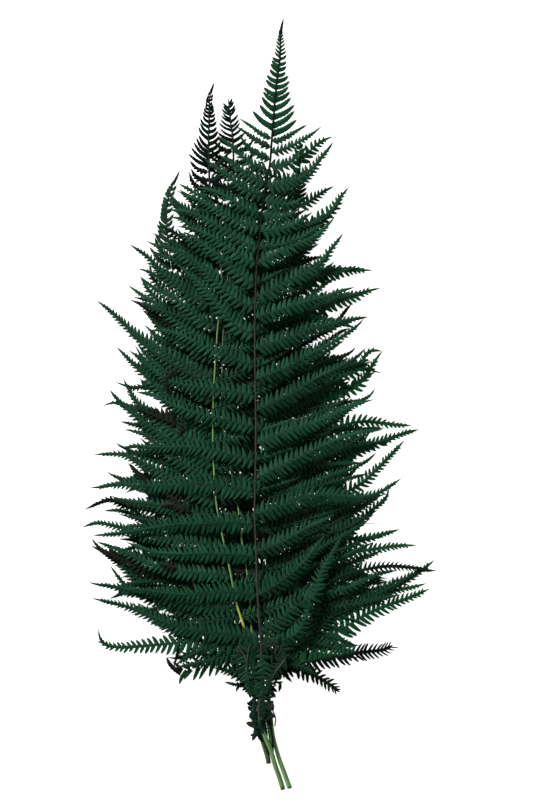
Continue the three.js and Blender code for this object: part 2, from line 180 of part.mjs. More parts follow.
      ['L', 'p', 6.98, 'g', [[-35.1, 19.4, 15.2], [-46.3, 25.6, 15.2], [-55.6, 30.2, 15.08], [-68, 37.2, 14.36], [-77.3, 42.6, 13.5], [-86.6, 48.8, 12.46], [-96.7, 55.8, 11.29], [-108.3, 65.9, 10.02], [-117.6, 74.4, 9.35], [-126.5, 81, 9.2]]],
      ['L', 'p', 6.59, 'g', [[-35.8, 3.9, 15.2], [-47.9, 10.1, 15.2], [-61.8, 18.6, 14.81], [-73.4, 25.6, 13.9], [-85.1, 36, 12.48], [-90.5, 41.9, 11.72], [-95.1, 47.7, 11.02]]],
      ['L', 'p', 6.98, 'g', [[-36.2, -15.5, 15.2], [-50.2, -7, 15.2], [-63.4, 0.8, 14.72], [-75, 9.3, 13.68], [-85.1, 19.4, 12.36], [-92.8, 27.1, 11.32], [-100.6, 34.5, 10.39], [-111, 45, 9.46]]],
      ['L', 'p', 6.98, 'g', [[-36.2, -35.6, 15.2], [-50.2, -28.7, 15.2], [-65.7, -21.7, 14.67], [-78.9, -11.6, 13.41], [-88.2, -3.9, 12.27], [-95.9, 3.1, 11.27], [-101.3, 11.6, 10.4], [-106, 20.5, 9.71]]],
      ['L', 'p', 6.98, 'g', [[-35.8, -46.5, 15.2], [-50.2, -39.5, 15.2], [-68, -28.7, 14.39], [-83.5, -17.8, 12.8], [-94.4, -10.1, 11.51], [-102.1, -3.1, 10.58], [-109.9, 3.9, 9.82], [-116.8, 12, 9.32]]],
      ['L', 'p', 6.59, 'g', [[-34.9, -59.7, 15.2], [-50.2, -51.1, 15.19], [-65.7, -41.1, 14.46], [-78.9, -31, 13.1], [-88.9, -23.2, 11.88], [-98.2, -20.2, 10.97], [-104.8, -19, 10.4]]],
      ['L', 'p', 6.98, 'g', [[-33.7, -76, 15.17], [-50.2, -67.4, 15.15], [-68, -56.6, 14.18], [-83.5, -48.4, 12.66], [-92.8, -43.4, 11.64], [-102.1, -39.5, 10.72], [-112.2, -38, 9.93], [-128.8, -38.4, 9.2]]],
      ['L', 'p', 6.98, 'g', [[-31.3, -89.1, 15], [-50.2, -83.7, 14.96], [-68, -79, 14.11], [-85.1, -76, 12.63], [-100.6, -74.4, 11.14], [-109.1, -72.9, 10.37], [-115.7, -70.5, 9.84]]],
      ['L', 'p', 6.98, 'g', [[-26.9, -110.8, 14.72], [-46.3, -107, 14.68], [-68, -103.9, 13.56], [-85.1, -101.5, 12.02], [-96.7, -98.4, 10.87], [-106.8, -95.3, 9.95], [-116.1, -93, 9.27], [-126.9, -91.5, 8.8], [-137.8, -94.9, 8.72]]],
      ['L', 'p', 6.98, 'g', [[-22.3, -131.8, 14.45], [-42.4, -130.2, 14.64], [-61.8, -128.7, 14.06], [-81.2, -124, 12.43], [-95.1, -118.6, 11.02], [-105.2, -113.9, 10.11], [-116.1, -109.7, 9.44], [-126.5, -106.2, 9.2]]],
      ['L', 'p', 6.98, 'g', [[-17.5, -155.8, 14.06], [-34.7, -156.6, 14.33], [-54.1, -153.5, 14.12], [-73.4, -149.6, 12.72], [-88.9, -146.5, 11.21], [-102.1, -143.4, 10.09], [-117.6, -140.3, 9.29], [-125.4, -139.5, 9.2], [-132.7, -137.6, 9.2]]],
      ['L', 'p', 7.36, 'g', [[-9.1, -182.9, 13.25], [-24.6, -186, 13.65], [-40.1, -183.7, 13.99], [-54.1, -183.3, 13.6], [-68, -184.8, 12.44], [-85.1, -186.4, 10.83], [-104.4, -187.9, 9.49], [-116.1, -187.2, 9.2], [-122.3, -184.1, 9.2], [-124.6, -179, 9.2], [-125, -173.2, 9.2]]],
      ['L', 'p', 8.14, 'g', [[-3.7, -203.1, 11.48], [-11.4, -198.4, 11.76], [-21.5, -195.7, 12.54], [-32.4, -197.2, 13.26], [-42.4, -200, 13.54], [-52.5, -203.4, 13.17], [-57.9, -206.9, 12.59], [-62.6, -217, 11.52]]],
      ['R', 'c', 3.49, 'd', [[-39.3, 183.7, 13.04], [-33.9, 185.2, 13.04], [-28.5, 189.9, 13.04], [-23.8, 196.1, 13.04]]],
      ['R', 'c', 3.88, 'd', [[-38.9, 173.6, 13.62], [-33.1, 175.2, 13.62], [-26.9, 179.8, 13.62], [-21.5, 186.8, 13.62]]],
      ['R', 'p', 4.65, 'd', [[-38.2, 162, 13.92], [-30.8, 162.8, 13.92], [-23.1, 167.4, 13.92], [-16.9, 174.4, 13.91]]],
      ['R', 'p', 5.42, 'd', [[-36.6, 150.3, 14.22], [-28.5, 150.3, 14.22], [-20, 154.2, 14.22], [-13, 160.4, 14.21]]],
      ['R', 'p', 5.81, 'g', [[-34.7, 137.2, 14.56], [-25.4, 137.2, 14.56], [-15.3, 141.8, 14.56], [-6.8, 149.6, 14.47]]],
      ['R', 'p', 6.2, 'g', [[-32.1, 122.5, 14.94], [-21.5, 123.2, 14.94], [-9.9, 129.4, 14.94], [0.2, 138, 14.69]]],
      ['R', 'h', 6.59, 'g', [[-30, 106.3, 15.2], [-19.9, 110, 15.2], [-10, 114.5, 15.2], [-0.5, 119.6, 15.08], [8.6, 125.4, 14.7], [17.4, 131.8, 14.15]]],
      ['R', 'h', 6.59, 'g', [[-30, 83.8, 15.2], [-19.3, 87, 15.2], [-8.8, 91, 15.2], [1.4, 95.5, 15.06], [11.4, 100.6, 14.64], [21, 106.3, 14.05]]],
      ['R', 'h', 6.59, 'g', [[-32.4, 62.2, 15.2], [-21.3, 65.6, 15.2], [-10.3, 69.7, 15.2], [0.3, 74.3, 15.02], [10.6, 79.7, 14.55], [20.5, 85.6, 13.93]]],
      ['R', 'h', 6.59, 'g', [[-34, 37.8, 15.2], [-22.9, 40.6, 15.2], [-12, 43.9, 15.2], [-1.2, 47.7, 15.04], [9.3, 52.1, 14.59], [19.6, 57, 13.98]]],
      ['R', 'h', 6.59, 'g', [[-35.3, 17.5, 15.2], [-23, 21.3, 15.2], [-10.9, 25.7, 15.19], [1, 30.9, 14.89], [12.4, 36.8, 14.29], [23.5, 43.4, 13.56]]],
      ['R', 'h', 6.59, 'g', [[-36.1, -4.8, 15.2], [-23.2, -0.4, 15.2], [-10.7, 4.8, 15.18], [1.5, 10.8, 14.81], [13.3, 17.7, 14.13], [24.5, 25.3, 13.36]]],
      ['R', 'h', 6.59, 'g', [[-36.2, -29.1, 15.2], [-23.1, -26.4, 15.2], [-10, -23.1, 15.18], [2.9, -19.3, 14.83], [15.6, -14.9, 14.17], [28.2, -10, 13.39]]],
      ['R', 'h', 6.59, 'g', [[-35.5, -49.7, 15.2], [-22, -47.1, 15.2], [-8.6, -44.1, 15.17], [4.7, -40.5, 14.79], [17.8, -36.4, 14.11], [30.8, -31.9, 13.32]]],
      ['R', 'h', 6.59, 'g', [[-34, -72.7, 15.2], [-20.5, -70.3, 15.2], [-7.2, -67.4, 15.18], [6.1, -64, 14.8], [19.3, -60.2, 14.12], [32.2, -56, 13.33]]],
      ['R', 'h', 6.59, 'g', [[-29.9, -96, 14.91], [-16.5, -92, 14.91], [-3.3, -87.3, 14.88], [9.6, -81.8, 14.47], [22.1, -75.5, 13.76], [34.3, -68.5, 12.95]]],
      ['R', 'h', 6.59, 'g', [[-25.1, -118.7, 14.62], [-11.1, -115.3, 14.62], [2.7, -111.4, 14.58], [16.3, -106.7, 14.13], [29.6, -101.5, 13.38], [42.7, -95.6, 12.56]]],
      ['R', 'h', 6.59, 'g', [[-20.3, -141.5, 14.32], [-6.5, -138.8, 14.47], [7.1, -135.5, 14.75], [20.6, -131.8, 14.64], [34, -127.4, 14.04], [47.2, -122.6, 13.23]]],
      ['R', 'h', 6.59, 'g', [[-14.4, -165.1, 13.79], [0, -161, 14.06], [14.2, -156.3, 14.54], [28.1, -150.7, 14.52], [41.7, -144.4, 13.82], [54.9, -137.3, 12.98]]],
      ['R', 'n', 5.42, 'g', [[-4.5, -199.2, 11.95], [1.7, -200.7, 11.76], [6.4, -208.5, 10.92], [6, -217.8, 10.07], [3.3, -227.8, 9.72]]],
      ['L', 'n', 5.42, 'g', [[-1.4, -213.1, 10.49], [-5.6, -216.2, 10.21], [-7.9, -221.7, 9.91], [-7.2, -227.8, 9.72]]],
      ['L', 'h', 6.04, 'h', [[-34.1, 34.9, 15.2], [-46.3, 40.1, 15.56], [-57.9, 46.3, 15.44], [-68.9, 53.6, 14.67], [-79.1, 61.8, 13.56], [-88.6, 71.1, 12.28]]],
      ['L', 'h', 6.51, 'h', [[-35.4, 15.5, 15.2], [-51, 22.2, 15.58], [-66.1, 30.3, 14.98], [-80.3, 39.8, 13.63], [-93.5, 50.5, 12], [-105.8, 62.3, 10.53]]],
      ['L', 'h', 6.43, 'h', [[-6.7, -191.4, 12.74], [-18.9, -193.6, 12.98], [-31, -195.9, 13.52], [-43.2, -198.6, 13.67], [-55.3, -201.3, 13.19], [-67.3, -204.3, 12.08]]],
      ['L', 'h', 6.59, 'h', [[-32.4, 62, 15.2], [-45.3, 64.5, 15.19], [-58.1, 67.6, 14.96], [-70.7, 71.3, 14.19], [-83.2, 75.6, 13.07], [-95.4, 80.6, 11.81]]],
      ['L', 'h', 6.28, 'h', [[-29.7, -96.9, 14.9], [-45.9, -95.4, 14.72], [-62.1, -93.4, 14.17], [-78.2, -91, 12.95], [-94.2, -88, 11.41], [-110.1, -84.6, 9.94]]],
      ['R', 'h', 6.74, 'h', [[-30, 106.2, 15.2], [-14.1, 109.3, 15.42], [1.7, 113.1, 15.32], [17.4, 117.7, 14.67], [32.7, 123.1, 13.76], [47.9, 129.1, 12.91]]],
      ['L', 'h', 6.28, 'h', [[-10.7, -177.5, 13.44], [-22.7, -180.5, 14.04], [-34.4, -184.5, 14.56], [-45.8, -189.6, 14.48], [-56.6, -195.5, 13.86], [-66.8, -202.5, 12.72]]],
      ['R', 'h', 5.81, 'h', [[-8, -186.8, 13.02], [3.8, -190.7, 12.91], [15.3, -195.1, 13.4], [26.7, -200.1, 13.86], [37.8, -205.6, 13.78], [48.6, -211.7, 13.13]]],
      ['L', 'h', 6.2, 'h', [[-32, -85.2, 15.05], [-48.9, -83.7, 14.77], [-65.8, -81.6, 14.14], [-82.7, -79, 12.8], [-99.5, -76, 11.17], [-116.2, -72.5, 9.7]]],
      ['L', 'h', 6.28, 'h', [[-14.8, -163.5, 13.84], [-27.1, -165.7, 14.34], [-39.3, -168, 14.72], [-51.4, -170.7, 14.51], [-63.4, -173.4, 13.8], [-75.5, -176.4, 12.65]]],
      ['L', 'h', 6.82, 'h', [[-36.1, -34.9, 15.2], [-51, -28.4, 15.2], [-65.4, -20.7, 14.67], [-78.9, -11.7, 13.44], [-91.6, -1.6, 11.9], [-103.3, 9.8, 10.43]]],
      ['L', 'h', 6.82, 'h', [[-34.1, -69.8, 15.2], [-49.8, -65.1, 14.77], [-65.1, -59.4, 14.21], [-79.9, -52.8, 12.98], [-94.2, -45.1, 11.44], [-108, -36.5, 9.97]]],
    ],
  },
  frond_middle: {
    stalk: [[-24.22, 237.93, 6.6, 0.3], [-23.83, 230.18, 7.08, 0.34], [-23.06, 223.97, 7.46, 0.37], [-22.28, 217, 7.89, 0.4], [-21.27, 210.03, 8.31, 0.44], [-20.73, 203.05, 8.68, 0.47], [-20.34, 189.88, 9.13, 0.51], [-20.34, 166.62, 9.93, 0.53], [-21.51, 143.38, 10.4, 0.55], [-23.06, 120.12, 10.7, 0.57], [-24.99, 96.88, 11, 0.59], [-26.93, 73.62, 11, 0.61], [-28.71, 50.38, 11, 0.63], [-29.26, 23.25, 11, 0.65], [-29.26, -2.33, 11, 0.67], [-27.71, -24.03, 11, 0.69], [-24.99, -38.75, 11, 0.7], [-22.28, -51.93, 11, 0.71], [-16.86, -79.05, 10.94, 0.74], [-14.14, -103.08, 10.7, 0.76], [-9.49, -133.3, 10.38, 0.78], [-7.17, -160.43, 9.89, 0.86], [-5.62, -189.88, 8.9, 1.05], [-4.46, -213.12, 8.1, 1.2], [-3.68, -236.38, 7.63, 1.32], [-2.44, -247.22, 7.2, 1.36], [0.19, -256.53, 6.4, 1.38], [3.14, -265.82, 5.54, 1.41], [5.15, -272.8, 5.2, 1.43], [6.55, -279, 5, 1.45]],
    blades: [
      ['L', 's', 1.47, 'x', [[-23.6, 231, 7.03], [-26.3, 232.1, 6.88], [-28.5, 234.8, 6.53]]],
      ['L', 's', 1.47, 'x', [[-23.4, 228.3, 7.19], [-26.2, 229.6, 7.04], [-28.5, 232.5, 6.69]]],
      ['L', 's', 1.47, 'x', [[-23.2, 225.7, 7.35], [-26.7, 227.2, 7.19], [-29.6, 230.2, 6.85]]],
      ['L', 's', 1.47, 'x', [[-22.9, 222.3, 7.56], [-26.1, 223.9, 7.41], [-28.9, 227.1, 7.06]]],
      ['L', 's', 1.47, 'x', [[-22.8, 220, 7.7], [-26.6, 221.8, 7.54], [-30, 225.1, 7.2]]],
      ['L', 's', 1.47, 'x', [[-22.4, 216.2, 7.93], [-26.7, 218.2, 7.77], [-30.4, 221.7, 7.43]]],
      ['L', 's', 1.47, 'x', [[-22.2, 213.2, 8.12], [-27.1, 215.3, 7.95], [-31.6, 218.9, 7.62]]],
      ['L', 's', 1.47, 'x', [[-21.8, 208.6, 8.4], [-26.5, 210.9, 8.23], [-30.8, 214.7, 7.9]]],
      ['L', 's', 1.47, 'x', [[-21.5, 205.2, 8.61], [-27.4, 207.6, 8.44], [-32.7, 211.6, 8.11]]],
      ['L', 's', 1.47, 'x', [[-21.2, 201, 8.75], [-27.4, 203.6, 8.58], [-33.1, 207.7, 8.25]]],
      ['R', 's', 1.47, 'x', [[-23.9, 234.1, 6.84], [-22.5, 235.6, 6.71], [-21.5, 238.7, 6.34]]],
      ['R', 's', 1.47, 'x', [[-23.7, 231.4, 7], [-21.8, 233.1, 6.86], [-20.3, 236.4, 6.5]]],
      ['R', 's', 1.47, 'x', [[-23.4, 228, 7.21], [-21.1, 229.9, 7.07], [-19.2, 233.3, 6.71]]],
      ['R', 's', 1.47, 'x', [[-23.2, 225.4, 7.37], [-20.8, 227.4, 7.23], [-18.8, 231, 6.87]]],
      ['R', 's', 1.47, 'x', [[-22.8, 220, 7.7], [-19.6, 222.2, 7.55], [-16.9, 225.9, 7.2]]],
      ['R', 's', 1.47, 'x', [[-22.4, 215.8, 7.96], [-19, 218.2, 7.8], [-16.1, 222, 7.46]]],
      ['R', 's', 1.47, 'x', [[-22.2, 212.8, 8.14], [-18.5, 215.3, 7.99], [-15.3, 219.3, 7.64]]],
      ['R', 's', 1.47, 'x', [[-21.8, 209, 8.38], [-17.2, 211.7, 8.21], [-13, 215.8, 7.88]]],
      ['R', 's', 1.47, 'x', [[-21.5, 204.4, 8.63], [-16.2, 207.2, 8.47], [-11.4, 211.6, 8.13]]],
      ['R', 's', 1.47, 'x', [[-21, 199.5, 8.8], [-15.2, 202.4, 8.64], [-9.9, 206.9, 8.3]]],
      ['L', 'c', 3.1, 'd', [[-20.6, 197.6, 8.87], [-26.2, 197.6, 8.87], [-31.6, 200.7, 8.87], [-36.2, 205.4, 8.86]]],
      ['L', 'c', 3.49, 'd', [[-20.4, 189.9, 9.13], [-27.7, 189.9, 9.13], [-33.9, 193.8, 9.13], [-39.3, 199.2, 9.09]]],
      ['R', 'c', 3.1, 'd', [[-20.5, 196.1, 8.92], [-14.5, 196.8, 8.92], [-9.1, 200.7, 8.92], [-4.5, 206.2, 8.92]]],
      ['R', 'c', 3.49, 'd', [[-20.3, 187.6, 9.21], [-13, 188.3, 9.21], [-6.8, 193, 9.21], [-1.4, 199.2, 9.21]]],
      ['L', 'p', 4.65, 'd', [[-20.3, 178.2, 9.53], [-29.3, 178.2, 9.53], [-37.8, 182.9, 9.52], [-45.5, 189.1, 9.37]]],
      ['L', 'p', 5.42, 'd', [[-20.4, 165.1, 9.99], [-30.8, 165.1, 9.99], [-40.9, 170.5, 9.94], [-49.4, 176.7, 9.69]]],
      ['R', 'p', 4.65, 'd', [[-20.3, 176.7, 9.59], [-11.4, 177.5, 9.59], [-3.7, 182.9, 9.59], [2.5, 189.9, 9.59]]],
      ['R', 'p', 5.42, 'g', [[-20.7, 162.8, 10.07], [-10.7, 163.5, 10.07], [-1.4, 169, 10.07], [6.4, 175.9, 10.07]]],
      ['L', 'p', 6.2, 'd', [[-21.3, 149.6, 10.32], [-32.4, 150.3, 10.32], [-44, 155.8, 10.23], [-54.1, 161.2, 9.85], [-62.6, 167.4, 9.32]]],
      ['L', 'p', 6.2, 'd', [[-22.3, 131.8, 10.55], [-33.9, 133.3, 10.55], [-46.3, 138.7, 10.41], [-56.4, 144.9, 9.92], [-65.7, 149.6, 9.29]]],
      ['L', 'p', 6.59, 'd', [[-23.8, 110.8, 10.82], [-36.2, 113.9, 10.82], [-49.4, 121.7, 10.57], [-61, 130.2, 9.8], [-71.1, 136.4, 8.93], [-78.9, 139.5, 8.27]]],
      ['L', 'p', 6.59, 'g', [[-25.5, 90.7, 11], [-38.6, 95.3, 11], [-52.5, 106.2, 10.61], [-64.9, 112.4, 9.78], [-75, 115.5, 8.99], [-85.8, 120.1, 8.04]]],
      ['L', 'p', 6.59, 'g', [[-27.4, 67.4, 11], [-42.4, 77.5, 10.99], [-57.2, 86, 10.43], [-71.1, 94.5, 9.34], [-81.2, 100.8, 8.4], [-88.2, 104.2, 7.78], [-94.7, 105.8, 7.27]]],
      ['L', 'p', 6.59, 'd', [[-28.8, 46.5, 11], [-42.4, 54.2, 11], [-55.6, 64.3, 10.57], [-68, 73.6, 9.61], [-78.9, 79, 8.67], [-88.2, 81.4, 7.9], [-98.6, 84.1, 7.1]]],
      ['L', 'p', 6.98, 'b', [[-29.3, 24.8, 11], [-44, 36.4, 10.98], [-57.9, 50.4, 10.23], [-69.6, 62, 9.07], [-78.9, 69, 8.13], [-86.6, 73.6, 7.44], [-94.4, 79, 6.79], [-100.9, 81.8, 6.41]]],
      ['L', 'p', 6.59, 'b', [[-29.3, 3.9, 11], [-44, 11.6, 11], [-59.5, 20.9, 10.45], [-71.1, 27.9, 9.57], [-78.9, 30.2, 8.95], [-86.6, 31.8, 8.32], [-91.3, 37.2, 7.75], [-97.1, 46.5, 6.96]]],
      ['L', 'p', 6.98, 'b', [[-27.3, -25.6, 11], [-44, -16.3, 10.98], [-59.5, -7, 10.31], [-69.6, 0.8, 9.46], [-78.9, 8.5, 8.5], [-88.9, 14.7, 7.57], [-98.2, 13.2, 6.91], [-112.2, 17.8, 6.18]]],
      ['L', 'p', 6.98, 'b', [[-23.8, -44.2, 11], [-42.4, -31.8, 10.92], [-56.4, -20.2, 10.11], [-68, -13.2, 9.13], [-81.2, -9.3, 8.03], [-92.8, -5, 7.11], [-104.4, -0.8, 6.39], [-113.7, 1.9, 6.06], [-121.9, -0.8, 6]]],
      ['L', 'p', 6.59, 'v', [[-20.7, -58.1, 11], [-38.6, -51.9, 10.98], [-54.1, -44.2, 10.37], [-69.6, -38.8, 9.25], [-83.5, -34.1, 8.07], [-96.7, -31.8, 7.07], [-105.2, -33.3, 6.55], [-111.8, -29.4, 6.21]]],
      ['L', 'p', 6.2, 'b', [[-17.6, -76, 10.98], [-36.2, -73.6, 10.96], [-54.1, -71.3, 10.31], [-71.1, -66.7, 9.08], [-85.1, -60.8, 7.88], [-94.4, -52.7, 6.97], [-101.3, -45.3, 6.39]]],
      ['L', 'p', 6.98, 'b', [[-14.9, -96.9, 10.76], [-34.7, -96.9, 10.73], [-54.1, -92.2, 9.92], [-73.4, -84.5, 8.38], [-88.9, -80.6, 7.13], [-100.6, -80.2, 6.37], [-109.9, -76, 5.92], [-117.6, -73.6, 5.77], [-126.1, -76.7, 5.76], [-136.2, -81.4, 5.76]]],
      ['L', 'p', 6.98, 'b', [[-10.3, -127.9, 10.44], [-30.8, -128.7, 10.58], [-54.1, -127.9, 9.84], [-73.4, -129.4, 8.4], [-88.9, -127.9, 7.2], [-102.1, -121.7, 6.35], [-114.5, -116.2, 6], [-123.8, -112, 6], [-131.2, -103.5, 6]]],
      ['L', 'p', 6.98, 'g', [[-7.3, -158.9, 9.94], [-26.9, -163.5, 10.23], [-50.2, -161.2, 9.8], [-69.6, -155.8, 8.37], [-85.1, -151.1, 7.13], [-96.7, -144.9, 6.37], [-105.2, -139.5, 6.05], [-111.4, -131.8, 6], [-116.1, -125.2, 6]]],
      ['L', 'p', 6.59, 'b', [[-6, -182.1, 9.16], [-19.2, -179, 9.45], [-36.2, -169.7, 9.91], [-46.3, -158.9, 9.54], [-53.3, -144.9, 8.39], [-56.4, -129.4, 7.18], [-57.2, -114.7, 6.33]]],
      ['R', 'h', 6.2, 'g', [[-21.1, 150.6, 10.31], [-12.2, 153.6, 10.31], [-3.4, 157.1, 10.31], [5, 161.2, 10.31], [13.2, 165.8, 10.31], [21, 171, 10.31]]],
      ['R', 'h', 6.2, 'g', [[-22.4, 131.1, 10.56], [-12.7, 134.5, 10.56], [-3.2, 138.6, 10.56], [5.9, 143.5, 10.56], [14.7, 148.8, 10.56], [23.1, 154.8, 10.52]]],
      ['R', 'h', 6.2, 'g', [[-23.8, 111.4, 10.81], [-12.4, 115, 10.81], [-1.1, 119.3, 10.81], [9.8, 124.2, 10.81], [20.4, 129.7, 10.81], [30.7, 136, 10.5]]],
      ['R', 'h', 6.2, 'g', [[-25.1, 94.6, 11], [-14.4, 97.7, 11], [-3.8, 101.4, 11], [6.6, 105.8, 11], [16.7, 110.7, 11], [26.5, 116.2, 10.83]]],
      ['R', 'p', 6.59, 'g', [[-25.9, 87.6, 11], [-7.6, 86, 11], [15.7, 79.8, 11], [33.5, 80.6, 10.67], [43.6, 88.4, 9.87], [51.3, 94.5, 9.03], [56, 97.3, 8.51], [61, 98.4, 7.99]]],
      ['R', 'p', 6.59, 'd', [[-27.7, 64.3, 11], [-7.6, 58.1, 11], [15.7, 51.9, 11], [35.1, 51.9, 10.45], [48.2, 55, 9.47], [58.3, 61.2, 8.36], [64.5, 70.5, 7.22], [71.5, 79, 6.09]]],
      ['R', 'p', 6.59, 'd', [[-29.1, 41.1, 11], [-7.6, 38, 11], [15.7, 36.4, 11], [33.5, 39.5, 10.52], [46.7, 45.7, 9.49], [56.8, 52.7, 8.35], [63.7, 57.4, 7.5], [69.9, 59.7, 6.81]]],
      ['R', 'p', 6.59, 'g', [[-29.3, 13.2, 11], [-7.6, 10.8, 11], [15.7, 16.3, 11], [35.1, 25.6, 10.29], [50.6, 33.3, 8.88], [62.2, 37.2, 7.66], [69.9, 40.3, 6.8], [74.6, 45, 6.13]]],
      ['R', 'p', 6.98, 'g', [[-27.9, -19.4, 11], [-7.6, -22.5, 11], [15.7, -22.5, 11], [35.1, -17.8, 10.49], [50.6, -10.1, 9.2], [66.1, -2.3, 7.49], [79.2, 3.5, 6.02], [86.2, 7.8, 5.25], [89.7, 13.2, 4.7]]],
      ['R', 'p', 6.98, 'g', [[-21.5, -55, 11], [-3.7, -61.2, 11], [15.7, -65.9, 11], [35.1, -64.3, 10.76], [52.9, -55.8, 9.47], [69.9, -50, 7.74], [82.3, -44.2, 6.33], [90.5, -37.2, 5.3]]],
      ['R', 'r', 6.98, 'g', [[-15.3, -90.7, 10.82], [4.1, -98.4, 10.82], [27.3, -104.6, 10.82], [50.6, -100.8, 10.02], [66.1, -95.3, 8.67], [79.2, -93, 7.33], [87, -91.8, 6.52], [99, -93.8, 5.32]]],
      ['R', 'p', 6.98, 'g', [[-10.4, -126.3, 10.46], [7.9, -134.1, 10.62], [31.2, -143.4, 10.96], [54.4, -144.9, 10.21], [69.9, -141.1, 8.91], [81.6, -135.6, 7.63], [93.2, -131, 6.34], [106.4, -128.7, 5.07]]],
      ['R', 'p', 7.75, 'd', [[-7.7, -151.1, 10.2], [11.8, -155.8, 10.45], [31.2, -151.1, 10.86], [48.2, -140.3, 10.67], [63.7, -132.5, 9.51], [79.2, -128.3, 7.99], [97.1, -125.5, 6.14], [112.6, -125.9, 4.73], [125.7, -127.5, 3.87], [131.9, -129, 3.62], [137.8, -128.7, 3.51]]],
      ['R', 'p', 7.75, 'd', [[-5.5, -193.8, 8.77], [4.1, -200.7, 9.04], [19.6, -202.3, 9.9], [38.9, -198.8, 10.89], [58.3, -195.3, 10.31], [77.7, -192.2, 8.7], [93.2, -190.7, 7.12], [99.4, -189.1, 6.47], [103.7, -186.4, 5.96]]],
      ['R', 'h', 6.67, 'h', [[-14.4, -100.8, 10.72], [6.2, -96.8, 10.4], [26.5, -91.8, 10.4], [46.5, -85.9, 9.95], [66.3, -79, 8.37], [85.7, -71.2, 6.26]]],
      ['R', 'h', 6.82, 'h', [[-28.8, 46.5, 11], [-9.1, 53.6, 11.42], [10.4, 61.1, 11.42], [29.7, 69.2, 10.97], [48.8, 77.8, 9.38], [67.6, 87, 7.27]]],
      ['R', 'h', 6.04, 'h', [[-17.2, -77.5, 10.96], [3.2, -72.9, 11.21], [23.6, -68, 11.21], [44, -63.2, 10.75], [64.3, -58.3, 9.17], [84.6, -53.2, 7.06]]],
      ['R', 'h', 6.43, 'h', [[-28.9, -7.8, 11], [-8.3, -3.8, 10.9], [12.1, 1.2, 10.9], [32, 7.1, 10.45], [51.8, 14, 8.86], [71.3, 21.8, 6.75]]],
      ['L', 'h', 6.28, 'h', [[-21, -58.1, 11], [-39.3, -54.6, 10.43], [-57.4, -50.2, 9.75], [-75.2, -45, 8.44], [-92.8, -38.8, 6.96], [-110, -31.9, 5.81]]],
      ['R', 'h', 6.51, 'h', [[-28.4, 54.2, 11], [-9.2, 62.5, 10.72], [9.3, 72.5, 10.72], [26.6, 84, 10.27], [43, 97.1, 8.69], [58, 111.7, 6.57]]],
      ['R', 'h', 6.67, 'h', [[-25.7, -34.9, 11], [-6, -27.8, 10.83], [13.5, -20.3, 10.83], [32.8, -12.2, 10.38], [51.9, -3.6, 8.79], [70.6, 5.7, 6.68]]],
      ['R', 'h', 6.67, 'h', [[-29.3, 23.2, 11], [-10, 31.5, 11.12], [8.4, 41.5, 11.12], [25.8, 53, 10.66], [42.1, 66.1, 9.08], [57.2, 80.7, 6.97]]],
      ['R', 'h', 6.2, 'h', [[-9.7, -131.8, 10.4], [10.3, -125.8, 10.26], [30, -118.5, 10.58], [49, -110, 10.2], [67.5, -100.1, 8.62], [85.2, -89, 6.51]]],
      ['R', 'h', 6.82, 'h', [[-22.8, 124, 10.65], [-6.8, 127.1, 10.7], [9, 130.9, 10.7], [24.6, 135.5, 10.69], [40, 140.9, 10.13], [55.1, 146.9, 8.92]]],
      ['L', 'h', 6.43, 'h', [[-4.6, -210, 8.21], [-11, -208.8, 8.43], [-17.4, -207.5, 8.94], [-23.8, -206.2, 9.44], [-30.2, -205, 9.78], [-36.5, -203.7, 10.01]]],
      ['R', 'h', 6.74, 'h', [[-24.4, 104.6, 10.9], [-3.4, 104.5, 11.17], [17.5, 104.6, 11.17], [38.4, 104.9, 10.71], [59.3, 105.4, 9.12], [80.3, 106.2, 7.01]]],
      ['R', 'h', 6.35, 'h', [[-26.6, 77.5, 11], [-5.7, 76.1, 11.55], [15.1, 73.5, 11.55], [35.6, 69.9, 11.09], [56.1, 65.3, 9.51], [76.1, 59.4, 7.4]]],
      ['L', 'h', 6.59, 'h', [[-15.7, -89.1, 10.84], [-31.7, -86, 10.6], [-47.5, -82.2, 10.14], [-63.1, -77.6, 9.11], [-78.5, -72.2, 7.83], [-93.6, -66.2, 6.61]]],
      ['L', 'h', 6.28, 'h', [[-8.3, -147.2, 10.24], [-26.9, -148.5, 10.45], [-45.3, -150.7, 10.16], [-63.7, -154, 9.02], [-81.8, -158.2, 7.55], [-99.6, -163.3, 6.4]]],
      ['R', 'h', 6.74, 'h', [[-23.4, -46.5, 11], [-2.4, -46.7, 10.57], [18.5, -46.5, 10.57], [39.4, -46.2, 10.11], [60.3, -45.7, 8.53], [81.2, -45, 6.42]]],
      ['R', 'h', 6.04, 'h', [[-8.3, -147.2, 10.24], [11.4, -140.2, 10.27], [31, -132.7, 10.68], [50.2, -124.5, 10.33], [69.2, -115.9, 8.74], [88.1, -106.7, 6.63]]],
      ['R', 'h', 6.04, 'h', [[-29.3, 7.8, 11], [-9.2, 13.7, 11.35], [10.4, 21, 11.35], [29.5, 29.5, 10.89], [47.9, 39.4, 9.31], [65.7, 50.5, 7.2]]],
    ],
  },
  frond_right: {
